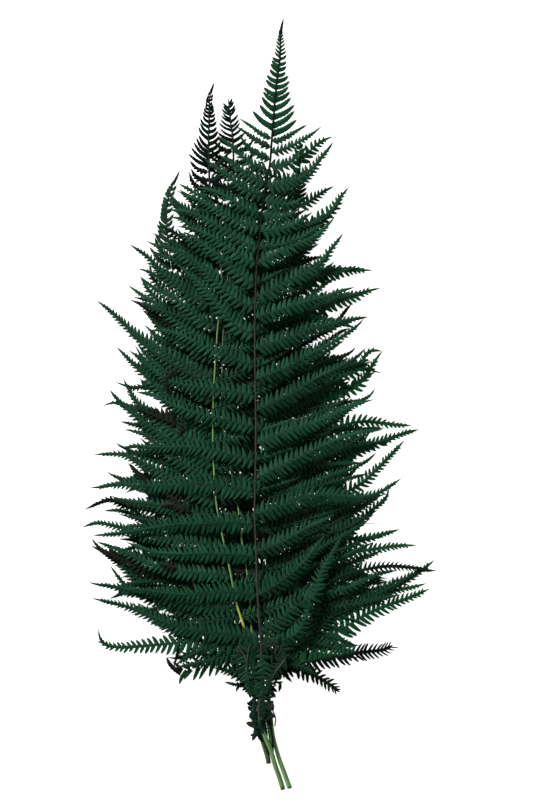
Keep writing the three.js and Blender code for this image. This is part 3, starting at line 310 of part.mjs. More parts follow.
    stalk: [[30.81, 206.15, 4.8, 0.28], [31.19, 197.62, 5.09, 0.31], [31.19, 182.12, 5.61, 0.37], [30.42, 158.88, 6.4, 0.45], [28.48, 131.75, 6.66, 0.5], [24.99, 104.62, 6.92, 0.55], [21.12, 77.5, 7, 0.6], [16.47, 46.5, 7, 0.65], [11.82, 19.38, 7, 0.68], [6.01, -11.62, 7, 0.72], [0.97, -38.75, 7, 0.76], [-1.74, -62, 7, 0.79], [-0.97, -73.62, 7, 0.8], [1.74, -94.55, 6.95, 0.83], [5.62, -124.78, 6.87, 0.87], [7.56, -147.25, 6.81, 0.9], [8.33, -170.5, 6.8, 1.04], [7.94, -193.75, 6.8, 1.21], [6.78, -215.45, 6.92, 1.36], [7.48, -234.83, 7, 1.47], [8.87, -244.9, 6.55, 1.52], [9.49, -251.88, 5.65, 1.56], [10.73, -259.62, 4.4, 1.6], [12.67, -267.38, 2.98, 1.66], [14.84, -275.12, 2.12, 1.72], [17.63, -282.88, 1.72, 1.76], [20.5, -290.62, 1.66, 1.8], [23.44, -298.76, 1.6, 1.85]],
    blades: [
      ['L', 's', 1.55, 'v', [[30.9, 200, 5.01], [29.7, 200.5, 4.9], [28.5, 202.7, 4.51]]],
      ['L', 's', 1.55, 'v', [[31, 196.1, 5.14], [28.9, 196.8, 5.01], [26.9, 199.2, 4.64]]],
      ['L', 's', 1.55, 'v', [[31.1, 191.8, 5.29], [28.2, 193, 5.14], [25.4, 195.7, 4.79]]],
      ['L', 's', 1.55, 'v', [[31.2, 186.8, 5.46], [27.3, 188.5, 5.3], [23.4, 191.8, 4.96]]],
      ['L', 's', 1.55, 'v', [[31.2, 182.1, 5.61], [26.5, 184.1, 5.45], [21.9, 187.6, 5.11]]],
      ['R', 's', 1.55, 'v', [[30.9, 200.7, 4.98], [32.2, 201.1, 4.87], [33.5, 203.1, 4.48]]],
      ['R', 's', 1.55, 'v', [[31, 196.8, 5.11], [33.1, 197.6, 4.98], [35.1, 200, 4.61]]],
      ['R', 's', 1.55, 'v', [[31.1, 192.6, 5.26], [34.3, 194.1, 5.11], [37.4, 197.2, 4.76]]],
      ['L', 's', 1.71, 'd', [[31.1, 179, 5.72], [28.5, 180.7, 5.56], [25.8, 183.3, 5.22]]],
      ['R', 's', 1.71, 'd', [[31.1, 179, 5.72], [33.5, 180.6, 5.58], [36.5, 182.9, 5.22]]],
      ['L', 's', 1.71, 'd', [[31.1, 175.5, 5.84], [28.5, 177.2, 5.68], [25.8, 179.8, 5.34]]],
      ['R', 's', 1.71, 'd', [[31.1, 175.5, 5.84], [33.5, 177.1, 5.69], [36.5, 179.4, 5.34]]],
      ['L', 's', 1.71, 'd', [[31.1, 172.1, 5.95], [28.5, 173.8, 5.8], [25.8, 176.3, 5.45]]],
      ['R', 's', 1.71, 'd', [[31.1, 172.1, 5.95], [33.5, 173.6, 5.81], [36.5, 175.9, 5.45]]],
      ['L', 's', 1.71, 'd', [[31.1, 168.6, 6.07], [28.5, 170.3, 5.92], [25.8, 172.8, 5.57]]],
      ['R', 's', 1.71, 'd', [[31.1, 168.6, 6.07], [33.5, 170.1, 5.93], [36.5, 172.4, 5.57]]],
      ['L', 's', 1.71, 'd', [[31.1, 165.1, 6.19], [28.5, 166.8, 6.04], [25.8, 169.3, 5.69]]],
      ['R', 's', 1.71, 'd', [[31.1, 165.1, 6.19], [33.5, 166.6, 6.05], [36.5, 169, 5.69]]],
      ['L', 's', 1.71, 'd', [[31.1, 161.6, 6.31], [28.5, 163.3, 6.15], [25.8, 165.8, 5.81]]],
      ['R', 's', 1.71, 'd', [[31.1, 161.6, 6.31], [33.5, 163.1, 6.17], [36.5, 165.5, 5.81]]],
      ['L', 's', 1.71, 'd', [[31.1, 158.1, 6.41], [28.5, 159.8, 6.25], [25.8, 162.4, 5.91]]],
      ['R', 's', 1.71, 'd', [[31.1, 158.1, 6.41], [33.5, 159.7, 6.27], [36.5, 162, 5.91]]],
      ['L', 's', 1.71, 'd', [[31.1, 154.2, 6.45], [28.5, 155.9, 6.29], [25.8, 158.5, 5.95]]],
      ['R', 's', 1.71, 'd', [[31.1, 154.2, 6.45], [33.5, 155.8, 6.3], [36.5, 158.1, 5.95]]],
      ['R', 'p', 5.04, 'v', [[31.1, 186.8, 5.46], [34.3, 192.2, 5.43], [38.9, 197.6, 5.34], [45.1, 203.1, 5.17], [50.6, 206.5, 4.99], [57.2, 208.9, 4.76]]],
      ['R', 'p', 5.04, 'g', [[30.9, 172.8, 5.93], [34.3, 175.9, 5.91], [38.9, 179, 5.85], [43.6, 183.7, 5.72]]],
      ['R', 'p', 5.42, 'g', [[30.4, 152.7, 6.46], [34.3, 155.4, 6.44], [38.9, 158.5, 6.36], [45.1, 162.8, 6.17], [50.6, 166.6, 5.94], [57.9, 170.1, 5.59]]],
      ['R', 'p', 6.2, 'v', [[28.4, 130.2, 6.68], [34.3, 134.8, 6.61], [40.5, 139.5, 6.42], [46.7, 143.8, 6.14], [52.1, 148, 5.8], [56.8, 152.7, 5.43], [60.6, 158.9, 4.97], [65.3, 165.1, 4.45], [69.9, 170.1, 3.97]]],
      ['R', 'c', 3.88, 'd', [[26.5, 115.5, 6.82], [32, 119.4, 6.76], [38.2, 122.1, 6.61], [42, 123.2, 6.47], [45.9, 125.5, 6.28]]],
      ['R', 'c', 3.88, 'd', [[25.4, 107, 6.9], [31.2, 110, 6.85], [37.4, 112.8, 6.69], [43.6, 114.3, 6.46], [50.6, 115.1, 6.12]]],
      ['R', 'p', 6.59, 'v', [[22.7, 87.6, 7], [31.2, 90.7, 6.9], [40.5, 96.1, 6.55], [50.6, 100.8, 5.99], [60.6, 103.5, 5.32], [71.5, 104.9, 4.53], [88.5, 105, 3.27]]],
      ['R', 'p', 7.36, 'v', [[18.8, 61.2, 7], [31.2, 66.7, 6.78], [42.8, 74, 6.19], [52.9, 78.7, 5.52], [63.7, 81.8, 4.73], [73.8, 84.5, 3.95], [83.9, 88.7, 3.15], [94, 91.1, 2.45]]],
      ['R', 'p', 6.59, 'v', [[13.8, 30.2, 7], [31.2, 25.6, 6.62], [50.6, 22.5, 5.57], [66.1, 23.2, 4.47], [76.1, 27.1, 3.66], [80.4, 33.3, 3.12], [82.3, 39.1, 2.69], [87.8, 42.6, 2.29], [95.5, 41.9, 1.86]]],
      ['R', 'p', 7.36, 'v', [[8.7, 2.3, 7], [27.3, 5.4, 6.59], [48.2, 10.5, 5.39], [68.4, 11.6, 3.92], [76.1, 15.1, 3.29], [82.3, 22.9, 2.61], [87.8, 31, 2.02], [91.6, 37.2, 1.66], [95.9, 42.2, 1.42]]],
      ['R', 'p', 7.75, 'v', [[2.5, -31, 7], [23.4, -31, 6.5], [40.5, -26.4, 5.51], [56.8, -19, 4.22], [69.2, -14.7, 3.25], [81.6, -12.8, 2.41], [94.7, -14, 1.7], [107.1, -15.5, 1.29], [118.4, -15.9, 1.2]]],
      ['R', 'p', 7.75, 'v', [[-1.5, -62, 7], [17.2, -60.5, 6.59], [37.4, -53.5, 5.4], [58.3, -43.4, 3.71], [71.5, -37.2, 2.68], [85.4, -31.8, 1.81], [99.4, -26.7, 1.29], [112.6, -22.1, 1.2], [124.2, -19, 1.2]]],
      ['R', 'p', 7.75, 'v', [[0.2, -83.7, 6.97], [14.1, -87.6, 6.73], [32.7, -84.5, 5.82], [52.9, -75.2, 4.27], [68.4, -67.4, 3], [79.2, -61.2, 2.19], [90.1, -51.1, 1.48], [101.7, -39.5, 1.17], [113, -27.1, 1.17]]],
      ['R', 'p', 7.75, 'v', [[3.7, -110, 6.91], [15.7, -121.7, 6.58], [32.7, -123.2, 5.72], [51.3, -112.4, 4.21], [66.1, -101.9, 2.89], [79.2, -89.5, 1.78], [90.1, -79.8, 1.23], [97.8, -73.2, 1.11], [101.3, -63.6, 1.11]]],
      ['R', 'p', 6.98, 'v', [[6.5, -135.6, 6.84], [19.6, -137.2, 6.66], [35.1, -128.7, 5.93], [54.4, -117, 4.45], [69.9, -109.7, 3.18], [83.9, -103.9, 2.19], [97.1, -100.4, 1.53], [109.1, -96.9, 1.22]]],
      ['R', 'p', 7.75, 'v', [[7.7, -151.1, 6.8], [19.6, -149.6, 6.65], [32.7, -140.3, 6.05], [45.1, -129.4, 5.08], [58.3, -120.5, 3.92], [73.8, -114.7, 2.74], [91.6, -112, 1.71], [107.1, -109.7, 1.24], [122.3, -109.3, 1.2]]],
      ['R', 'p', 7.75, 'v', [[8.3, -168.2, 6.8], [18, -174.4, 6.66], [31.2, -171.3, 6.19], [54.4, -161.2, 4.67], [73.8, -152.7, 3.11], [91.6, -145.7, 1.91], [108.7, -140.3, 1.27], [122.6, -131.8, 1.2], [136.2, -120.9, 1.2]]],
      ['R', 'p', 6.98, 'g', [[8.3, -182.1, 6.8], [19.6, -182.1, 6.67], [38.9, -172.1, 5.79], [66.1, -159.7, 3.74], [87, -151.1, 2.2], [104.8, -144.9, 1.37], [118, -142.2, 1.2], [130, -139.1, 1.2]]],
      ['R', 'p', 9.3, 'v', [[7.7, -199.2, 6.81], [18, -195.3, 6.68], [32.7, -189.5, 6.12], [50.6, -181.7, 4.96], [66.1, -173.2, 3.66], [81.6, -163.9, 2.41], [99.4, -156.2, 1.46], [116.4, -150.3, 1.2], [133.1, -143, 1.2]]],
      ['R', 'p', 6.98, 'd', [[6.8, -215.5, 6.92], [12.6, -205.4, 6.76], [18.8, -199.2, 6.47], [28.1, -203.8, 5.96], [37.4, -208.5, 5.32], [46.7, -212.7, 4.6], [55.2, -218.2, 3.85], [62.6, -224, 3.16]]],
      ['L', 'h', 6.59, 'g', [[30.9, 172.1, 5.95], [22.4, 174.1, 5.95], [14, 176.8, 5.95], [5.7, 179.8, 5.9], [-2.4, 183.2, 5.8], [-10.3, 187, 5.67]]],
      ['L', 'h', 6.59, 'g', [[29.6, 146.7, 6.52], [20.3, 148.6, 6.52], [11.3, 150.9, 6.51], [2.2, 153.6, 6.43], [-6.6, 156.6, 6.28], [-15.4, 160, 6.1]]],
      ['L', 'h', 6.59, 'g', [[27.6, 124.9, 6.73], [17.1, 127, 6.73], [6.6, 129.7, 6.7], [-3.7, 132.8, 6.56], [-13.8, 136.3, 6.33], [-23.8, 140.3, 6.06]]],
      ['L', 'h', 6.59, 'g', [[24.3, 100, 6.97], [13.3, 102.3, 6.97], [2.4, 105, 6.94], [-8.5, 108.2, 6.77], [-19.1, 111.8, 6.51], [-29.6, 115.9, 6.22]]],
      ['L', 'h', 6.59, 'g', [[21.1, 77.4, 7], [9.8, 80.1, 7], [-1.3, 83.5, 6.96], [-12.2, 87.3, 6.78], [-23, 91.6, 6.5], [-33.4, 96.5, 6.21]]],
      ['L', 'h', 6.59, 'g', [[17.4, 52.7, 7], [5.9, 54.8, 7], [-5.5, 57.3, 6.96], [-16.8, 60.2, 6.77], [-28, 63.6, 6.49], [-39, 67.3, 6.2]]],
      ['L', 'h', 6.59, 'g', [[13.6, 29.6, 7], [1.1, 32.2, 7], [-11.3, 35.3, 6.93], [-23.5, 38.8, 6.7], [-35.6, 42.9, 6.38], [-47.5, 47.5, 6.07]]],
      ['L', 'h', 6.59, 'g', [[9.7, 8.3, 7], [-2.9, 12.3, 7], [-15.3, 17.1, 6.92], [-27.4, 22.7, 6.66], [-39.1, 29.1, 6.33], [-50.3, 36.1, 6.01]]],
      ['L', 'h', 6.59, 'g', [[5.5, -14.6, 7], [-7.8, -11.2, 7], [-20.8, -7.1, 6.91], [-33.6, -2.4, 6.64], [-46.2, 2.9, 6.29], [-58.4, 9, 5.98]]],
      ['L', 'h', 6.59, 'g', [[1, -38.9, 7], [-14, -34.5, 7], [-28.6, -29.3, 6.85], [-43, -23.2, 6.49], [-56.9, -16.4, 6.11], [-70.4, -8.6, 5.84]]],
      ['L', 'h', 6.59, 'g', [[-1.7, -61.5, 7], [-15.6, -57.5, 7], [-29.3, -52.7, 6.88], [-42.7, -47.1, 6.58], [-55.7, -40.8, 6.21], [-68.3, -33.6, 5.91]]],
      ['L', 'h', 6.59, 'g', [[0.7, -86.8, 6.97], [-13, -83.1, 6.97], [-26.5, -78.7, 6.86], [-39.6, -73.5, 6.56], [-52.6, -67.7, 6.2], [-65.1, -61.1, 5.9]]],
      ['L', 'h', 6.59, 'g', [[3.7, -109.7, 6.91], [-11.4, -106.8, 6.91], [-26.3, -103.4, 6.76], [-41.1, -99.4, 6.42], [-55.8, -94.9, 6.03], [-70.2, -89.9, 5.76]]],
      ['L', 'h', 6.59, 'g', [[6.3, -132.7, 6.85], [-8.9, -129.9, 6.88], [-24, -126.6, 6.79], [-38.9, -122.8, 6.49], [-53.8, -118.3, 6.11], [-68.5, -113.4, 5.84]]],
      ['L', 'h', 6.59, 'g', [[7.9, -155.5, 6.8], [-6.5, -153.2, 6.84], [-20.8, -150.5, 6.79], [-35, -147.4, 6.55], [-49.1, -143.8, 6.2], [-63, -139.8, 5.9]]],
      ['L', 'h', 6.59, 'g', [[8.2, -177.7, 6.8], [-6.2, -174.8, 6.84], [-20.5, -171.2, 6.79], [-34.7, -167.1, 6.54], [-48.6, -162.4, 6.18], [-62.4, -157.1, 5.89]]],
      ['R', 'n', 5.42, 'v', [[6.7, -220.9, 6.95], [10.3, -216.2, 6.92], [15.7, -216.2, 6.92], [14.9, -223.2, 6.96]]],
      ['R', 'n', 5.42, 'd', [[6.9, -211.6, 6.89], [13.4, -208.5, 6.87], [19.6, -210, 6.88], [25, -215.5, 6.92]]],
      ['R', 'h', 6.59, 'h', [[5.5, -124, 6.87], [22.6, -116.6, 6.31], [38.9, -107.8, 5.37], [54.4, -97.5, 4.08], [68.9, -85.9, 2.72], [82.3, -72.9, 1.6]]],
      ['R', 'h', 6.67, 'h', [[6, -11.6, 7], [23.8, -6.4, 6.83], [41.3, 0.2, 5.83], [58.2, 7.8, 4.51], [74.7, 16.5, 3.15], [90.4, 26.4, 2.04]]],
      ['R', 'h', 6.67, 'h', [[-1.3, -58.1, 7], [16.2, -51.8, 6.73], [33.6, -45.2, 5.73], [50.7, -38, 4.41], [67.6, -30.3, 3.05], [84.4, -22.1, 1.93]]],
      ['L', 'h', 6.82, 'h', [[6.5, -135.6, 6.84], [-16.7, -134.9, 5.92], [-40, -135, 5.55], [-63.2, -135.9, 5.01], [-86.4, -137.6, 4.86], [-109.5, -140, 4.86]]],
      ['R', 'h', 6.04, 'h', [[8, -186.8, 6.8], [22, -187.2, 6.63], [35.9, -187.4, 6.09], [49.9, -187.5, 5.29], [63.8, -187.4, 4.3], [77.8, -187.2, 3.27]]],
      ['L', 'h', 6.82, 'h', [[30.6, 162.8, 6.27], [14.9, 167.4, 5.91], [-0.3, 173.1, 5.75], [-15.2, 179.7, 5.48], [-29.5, 187.4, 5.2], [-43.3, 196, 5.04]]],
      ['R', 'h', 6.59, 'h', [[6.9, -139.5, 6.83], [25.1, -136, 6.67], [43.2, -131.6, 5.75], [61, -126.3, 4.47], [78.6, -120.2, 3.11], [95.9, -113.2, 1.99]]],
      ['R', 'h', 6.74, 'h', [[15.2, 38.8, 7], [31.3, 37.7, 6.62], [47.5, 35.6, 5.82], [63.6, 32.9, 4.72], [79.4, 29.2, 3.51], [95.1, 24.7, 2.38]]],
      ['R', 'h', 6.51, 'h', [[0, -46.5, 7], [17.2, -39.1, 6.86], [33.5, -30.3, 5.85], [49, -20, 4.53], [63.5, -8.4, 3.17], [76.9, 4.6, 2.06]]],
      ['R', 'h', 6.2, 'h', [[4, -112.4, 6.9], [21.9, -107.1, 6.65], [39.3, -100.6, 5.65], [56.2, -93, 4.33], [72.7, -84.2, 2.97], [88.5, -74.4, 1.86]]],
      ['R', 'h', 6.28, 'h', [[-1.2, -69.8, 7], [16.3, -63.5, 6.49], [33.7, -56.8, 5.49], [50.8, -49.6, 4.16], [67.7, -41.9, 2.81], [84.4, -33.7, 1.69]]],
      ['L', 'h', 6.2, 'h', [[5.9, -127.9, 6.86], [-16.8, -122.7, 6.51], [-39.4, -117.4, 6.13], [-62, -112, 5.59], [-84.6, -106.5, 5.44], [-107.1, -100.8, 5.44]]],
      ['L', 'h', 6.12, 'h', [[22.7, 89.1, 7], [0.9, 97, 6.25], [-20.8, 105.3, 5.79], [-42.2, 114.3, 5.25], [-63.4, 123.9, 5.09], [-84.3, 134.2, 5.09]]],
      ['L', 'h', 6.74, 'h', [[29.6, 147.2, 6.51], [6.5, 149.4, 5.93], [-16.6, 152.2, 5.55], [-39.6, 155.7, 5.1], [-62.5, 159.9, 4.98], [-85.2, 164.7, 4.98]]],
      ['L', 'h', 6.2, 'h', [[5.3, -15.5, 7], [-17, -8.9, 6.16], [-38.8, -0.9, 5.7], [-60, 8.8, 5.15], [-80.5, 19.7, 5], [-100.2, 32, 5]]],
      ['R', 'h', 5.89, 'h', [[7.8, -196.1, 6.8], [21.7, -195.4, 6.96], [35.7, -195.1, 6.51], [49.6, -195.3, 5.7], [63.6, -195.8, 4.72], [77.5, -196.8, 3.68]]],
      ['R', 'h', 6.74, 'h', [[2.1, -96.9, 6.94], [19.1, -89.5, 6.45], [35.5, -80.7, 5.45], [51, -70.4, 4.13], [65.4, -58.7, 2.77], [78.9, -45.8, 1.65]]],
      ['L', 'h', 6.51, 'h', [[4.5, -116.2, 6.89], [-18.7, -115.6, 5.86], [-42, -115.6, 5.4], [-65.2, -116.6, 4.85], [-88.4, -118.2, 4.7], [-111.5, -120.6, 4.7]]],
      ['R', 'h', 6.59, 'h', [[6.2, -131.8, 6.85], [24.8, -131.2, 6.73], [43.4, -131.3, 5.8], [62, -132, 4.52], [80.6, -133.3, 3.16], [99.1, -135.2, 2.04]]],
      ['R', 'h', 6.2, 'h', [[4.5, -19.4, 7], [23.1, -19.5, 6.58], [41.7, -19.4, 5.57], [60.3, -19.1, 4.25], [78.9, -18.7, 2.89], [97.5, -18, 1.78]]],
      ['R', 'h', 6.43, 'h', [[8.1, -163.5, 6.8], [21.8, -165.9, 6.5], [35.5, -168.6, 5.93], [49.2, -171.5, 5.13], [62.7, -174.7, 4.15], [76.3, -178, 3.11]]],
      ['L', 'h', 6.2, 'h', [[30.1, 155, 6.44], [14.1, 158.1, 5.85], [-1.7, 161.9, 5.67], [-17.2, 166.5, 5.39], [-32.7, 171.9, 5.08], [-47.7, 177.9, 4.9]]],
      ['R', 'h', 6.28, 'h', [[7.6, -147.2, 6.81], [26, -144.9, 6.56], [44.5, -142.8, 5.65], [63, -141, 4.38], [81.6, -139.4, 3.01], [100.1, -138.1, 1.9]]],
      ['R', 'h', 6.51, 'h', [[20.5, 73.6, 7], [33.4, 76.6, 6.67], [46.2, 79.6, 6.07], [59, 82.6, 5.28], [71.8, 85.7, 4.34], [84.6, 89, 3.35]]],
      ['R', 'h', 6.04, 'h', [[10.3, 11.6, 7], [26.3, 14.7, 6.94], [42.2, 18.5, 6.15], [57.8, 23.2, 5.05], [73.1, 28.5, 3.85], [88.2, 34.6, 2.72]]],
      ['L', 'h', 6.35, 'h', [[23.9, 96.9, 7], [2.5, 106, 6.54], [-17.9, 117.1, 6.08], [-37.3, 130, 5.54], [-55.5, 144.5, 5.39], [-72.1, 160.7, 5.39]]],
      ['R', 'h', 6.43, 'h', [[2.4, -31, 7], [21, -31.1, 6.93], [39.6, -31, 5.93], [58.2, -30.8, 4.6], [76.8, -30.3, 3.25], [95.4, -29.6, 2.13]]],
      ['L', 'h', 6.28, 'h', [[7.2, -143.4, 6.82], [-16, -142.7, 6.09], [-39.3, -142.8, 5.73], [-62.5, -143.7, 5.19], [-85.7, -145.3, 5.04], [-108.8, -147.7, 5.04]]],
      ['R', 'h', 6.43, 'h', [[3.1, -104.6, 6.92], [21.7, -104.7, 7.01], [40.3, -104.6, 6.01], [58.9, -104.4, 4.69], [77.5, -103.9, 3.33], [96, -103.2, 2.22]]],
      ['R', 'h', 6.2, 'h', [[8.3, -172.8, 6.8], [22.2, -174.2, 6.78], [35.9, -176.4, 6.29], [49.6, -179.3, 5.49], [63, -183.1, 4.5], [76.2, -187.6, 3.47]]],
      ['R', 'h', 6.12, 'h', [[0.5, -85.2, 6.97], [19, -83.5, 6.53], [37.5, -81.3, 5.52], [55.9, -78.5, 4.2], [74.2, -75.2, 2.84], [92.4, -71.3, 1.73]]],
      ['R', 'h', 6.43, 'h', [[7.8, -154.2, 6.8], [21.7, -155.6, 6.92], [35.5, -157.8, 6.45], [49.1, -160.7, 5.65], [62.5, -164.5, 4.67], [75.7, -169, 3.64]]],
      ['L', 'h', 6.82, 'h', [[1.7, -34.9, 7], [-21.6, -34.2, 6.38], [-44.8, -34.3, 5.92], [-68, -35.2, 5.37], [-91.3, -36.8, 5.22], [-114.4, -39.2, 5.22]]],
    ],
  },
  frond_lower_left: {
    stalk: [[-62.58, 182.12, 3.2, 0.25], [-66.07, 175.15, 3.12, 0.29], [-68.78, 168.95, 3.06, 0.32], [-71.11, 161.97, 2.98, 0.36], [-72.42, 154.22, 2.9, 0.4], [-72.66, 146.47, 2.82, 0.44], [-72.35, 137.18, 2.72, 0.49], [-71.49, 126.33, 2.63, 0.53], [-69.56, 114.7, 2.55, 0.58], [-66.46, 96.88, 2.41, 0.64], [-62.58, 73.62, 2.3, 0.71], [-57.93, 46.5, 2.3, 0.74], [-52.51, 15.5, 2.3, 0.78], [-46.31, -19.38, 2.3, 0.83], [-39.33, -56.58, 2.3, 0.88], [-31.58, -93, 2.3, 0.93], [-23.06, -127.88, 2.3, 0.97], [-15.31, -158.88, 2.4, 1.04], [-8.33, -189.88, 2.8, 1.2], [-3.68, -217, 3.46, 1.34], [-0.43, -226.3, 3.73, 1.39], [0.81, -233.28, 3.8, 1.4], [1.28, -245.68, 3.3, 1.42], [2.67, -256.53, 2.57, 1.43], [5, -265.82, 2, 1.44], [6.32, -272.8, 1.72, 1.44], [7.4, -279.39, 1.45, 1.45]],
    blades: [
      ['L', 's', 1.16, 'g', [[-67.2, 171.7, 3.09], [-65.1, 176.7, 2.92], [-62.6, 182.1, 2.59]]],
      ['L', 's', 1.08, 'g', [[-67.1, 172.1, 3.09], [-67.9, 172.9, 2.94], [-68.5, 174.2, 2.59]]],
      ['L', 's', 1.08, 'g', [[-67.6, 170.1, 3.07], [-68.6, 171.2, 2.92], [-69.5, 172.7, 2.57]]],
      ['L', 's', 1.63, 'g', [[-68.4, 168.2, 3.05], [-69.8, 168.6, 2.93], [-70.6, 170.9, 2.55]]],
      ['L', 's', 1.63, 'g', [[-69.4, 165.8, 3.03], [-71.1, 166.3, 2.9], [-72.1, 168.6, 2.53]]],
      ['L', 's', 1.63, 'g', [[-70.3, 162.8, 2.99], [-72.2, 163.6, 2.86], [-73.4, 166.2, 2.49]]],
      ['L', 's', 1.63, 'g', [[-71.1, 158.9, 2.95], [-73.4, 159.7, 2.81], [-75, 162.4, 2.45]]],
      ['L', 's', 1.63, 'g', [[-71.7, 155.8, 2.92], [-73.9, 156.9, 2.78], [-75.5, 159.8, 2.42]]],
      ['L', 's', 1.63, 'g', [[-72.3, 152.3, 2.88], [-74.7, 153.9, 2.74], [-76.5, 157.3, 2.38]]],
      ['L', 's', 1.63, 'g', [[-72.5, 148.8, 2.84], [-75, 150.3, 2.7], [-76.8, 153.6, 2.34]]],
      ['L', 's', 1.63, 'g', [[-72.6, 145.3, 2.8], [-75.3, 147, 2.66], [-77.3, 150.6, 2.3]]],
      ['L', 's', 1.63, 'g', [[-72.5, 142.2, 2.77], [-75.4, 144, 2.62], [-77.6, 147.6, 2.27]]],
      ['L', 's', 1.63, 'g', [[-72.4, 137.6, 2.72], [-76, 139.7, 2.57], [-79, 143.8, 2.22]]],
      ['L', 's', 1.63, 'g', [[-72.2, 133.3, 2.68], [-76.5, 136.2, 2.52], [-80.3, 140.9, 2.18]]],
      ['L', 's', 1.63, 'g', [[-71.9, 127.9, 2.64], [-76.1, 131.4, 2.49], [-79.8, 136.8, 2.14]]],
      ['L', 's', 1.63, 'g', [[-71.1, 121.7, 2.6], [-76.7, 126.4, 2.44], [-81.7, 132.9, 2.1]]],
      ['R', 's', 1.71, 'g', [[-68.9, 168.2, 3.05], [-66.8, 168.4, 2.91], [-65.3, 170.9, 2.55]]],
      ['R', 's', 1.71, 'g', [[-70.3, 163.5, 3], [-68.1, 164.2, 2.86], [-66.5, 167, 2.5]]],
      ['R', 's', 1.71, 'g', [[-71.1, 159.7, 2.96], [-68.9, 160.1, 2.82], [-67.2, 162.8, 2.46]]],
      ['R', 's', 1.71, 'g', [[-72, 155.4, 2.91], [-69.5, 156.2, 2.77], [-67.6, 159.3, 2.41]]],
      ['R', 's', 1.71, 'g', [[-72.4, 150.7, 2.86], [-69.9, 151.4, 2.72], [-68, 154.2, 2.36]]],
      ['R', 's', 1.71, 'g', [[-72.6, 143.8, 2.79], [-69.6, 145.2, 2.64], [-67.2, 148.8, 2.29]]],
      ['R', 's', 1.71, 'g', [[-72.5, 139.9, 2.75], [-69.9, 141, 2.61], [-68, 144.3, 2.25]]],
      ['R', 's', 1.71, 'g', [[-72.3, 135.2, 2.7], [-69.1, 136.5, 2.55], [-66.5, 140, 2.2]]],
      ['R', 's', 1.71, 'g', [[-72, 131, 2.67], [-68.9, 132, 2.52], [-66.5, 135.2, 2.17]]],
      ['R', 's', 1.71, 'g', [[-71.6, 126.3, 2.63], [-67.6, 128.5, 2.48], [-64.3, 132.9, 2.13]]],
      ['R', 's', 1.71, 'g', [[-71.1, 120.1, 2.59], [-66.5, 121.8, 2.42], [-62.6, 125.5, 2.09]]],
      ['R', 's', 1.71, 'g', [[-70.1, 113.9, 2.54], [-65.3, 115.6, 2.38], [-61, 119.4, 2.04]]],
      ['R', 's', 1.71, 'g', [[-68.8, 106.2, 2.48], [-64.6, 108.4, 2.33], [-61, 112.8, 1.98]]],
      ['L', 'c', 3.1, 'g', [[-70.1, 114.7, 2.55], [-75, 118.6, 2.51], [-78.9, 122.8, 2.41], [-82, 131, 2.19]]],
      ['L', 'c', 3.88, 'g', [[-68.4, 106.2, 2.48], [-74.2, 110, 2.44], [-79.6, 114.3, 2.31], [-83.5, 120.1, 2.12], [-86.2, 123.2, 1.98]]],
      ['L', 'p', 5.04, 'g', [[-66.5, 95.3, 2.4], [-72.7, 97.7, 2.36], [-78.9, 104.6, 2.18], [-83.5, 110, 1.97], [-88.2, 110.4, 1.81]]],
      ['L', 'p', 5.42, 'g', [[-64.5, 83.7, 2.32], [-71.9, 86.8, 2.26], [-78.9, 93.8, 2.04], [-84.3, 100, 1.78], [-85.8, 110.8, 1.39]]],
      ['L', 'p', 5.81, 'g', [[-62.6, 72.1, 2.3], [-71.1, 76.7, 2.21], [-78.9, 81.4, 2], [-85.1, 87.6, 1.72], [-89.3, 93.8, 1.44], [-93.6, 100.8, 1.15]]],
      ['L', 'p', 6.2, 'b', [[-59.9, 56.6, 2.3], [-68, 61.2, 2.22], [-75, 64.3, 2.05], [-81.2, 67.4, 1.84], [-86.6, 70.5, 1.62], [-91.6, 73.6, 1.41]]],
      ['L', 'p', 6.2, 'g', [[-56.4, 36.4, 2.3], [-64.9, 41.1, 2.21], [-72.7, 45.7, 2], [-78.9, 51.9, 1.72], [-85.1, 58.1, 1.4], [-90.5, 62.8, 1.14]]],
      ['L', 'p', 6.2, 'b', [[-53.3, 17.8, 2.3], [-61.8, 22.5, 2.21], [-71.1, 25.6, 1.98], [-78.9, 27.1, 1.72], [-87.4, 31, 1.38], [-94.4, 37.2, 1.05], [-102.1, 42.6, 0.78]]],
      ['L', 'p', 6.59, 'b', [[-49, -3.9, 2.3], [-57.9, 2.3, 2.19], [-67.2, 5.4, 1.94], [-77.3, 10.1, 1.56], [-86.6, 15.5, 1.17], [-94.4, 20.9, 0.87]]],
      ['L', 'p', 6.59, 'b', [[-44.8, -27.1, 2.3], [-55.6, -19.4, 2.14], [-68, -14, 1.74], [-78.9, -11.6, 1.34], [-88.9, -10.1, 0.99], [-99, -6.2, 0.71], [-106.8, -2.3, 0.6]]],
      ['L', 'p', 6.59, 'g', [[-41.3, -45.7, 2.3], [-54.1, -38.8, 2.11], [-68, -29.4, 1.58], [-81.2, -22.5, 1.05], [-92.8, -16.7, 0.7], [-100.6, -14.7, 0.61], [-108.7, -12.8, 0.6]]],
      ['L', 'p', 6.59, 'g', [[-37.8, -63.6, 2.3], [-50.2, -56.6, 2.12], [-63.4, -48.1, 1.63], [-74.2, -40.3, 1.15], [-83.5, -33.3, 0.8], [-88.9, -29.8, 0.67], [-93.6, -25.2, 0.6]]],
      ['L', 'p', 6.59, 'g', [[-33.9, -82.9, 2.3], [-47.9, -76, 2.08], [-63.4, -69, 1.53], [-78.9, -63.2, 0.96], [-92.8, -59.7, 0.64], [-104.4, -58.5, 0.6], [-113.7, -55.4, 0.6], [-119.5, -51.9, 0.6]]],
      ['L', 'p', 6.59, 'g', [[-30.4, -98.4, 2.3], [-46.3, -90.7, 2.03], [-61.8, -81.4, 1.42], [-75.8, -72.1, 0.86], [-86.6, -65.9, 0.62], [-97.5, -65.5, 0.6], [-105.2, -68.6, 0.6]]],
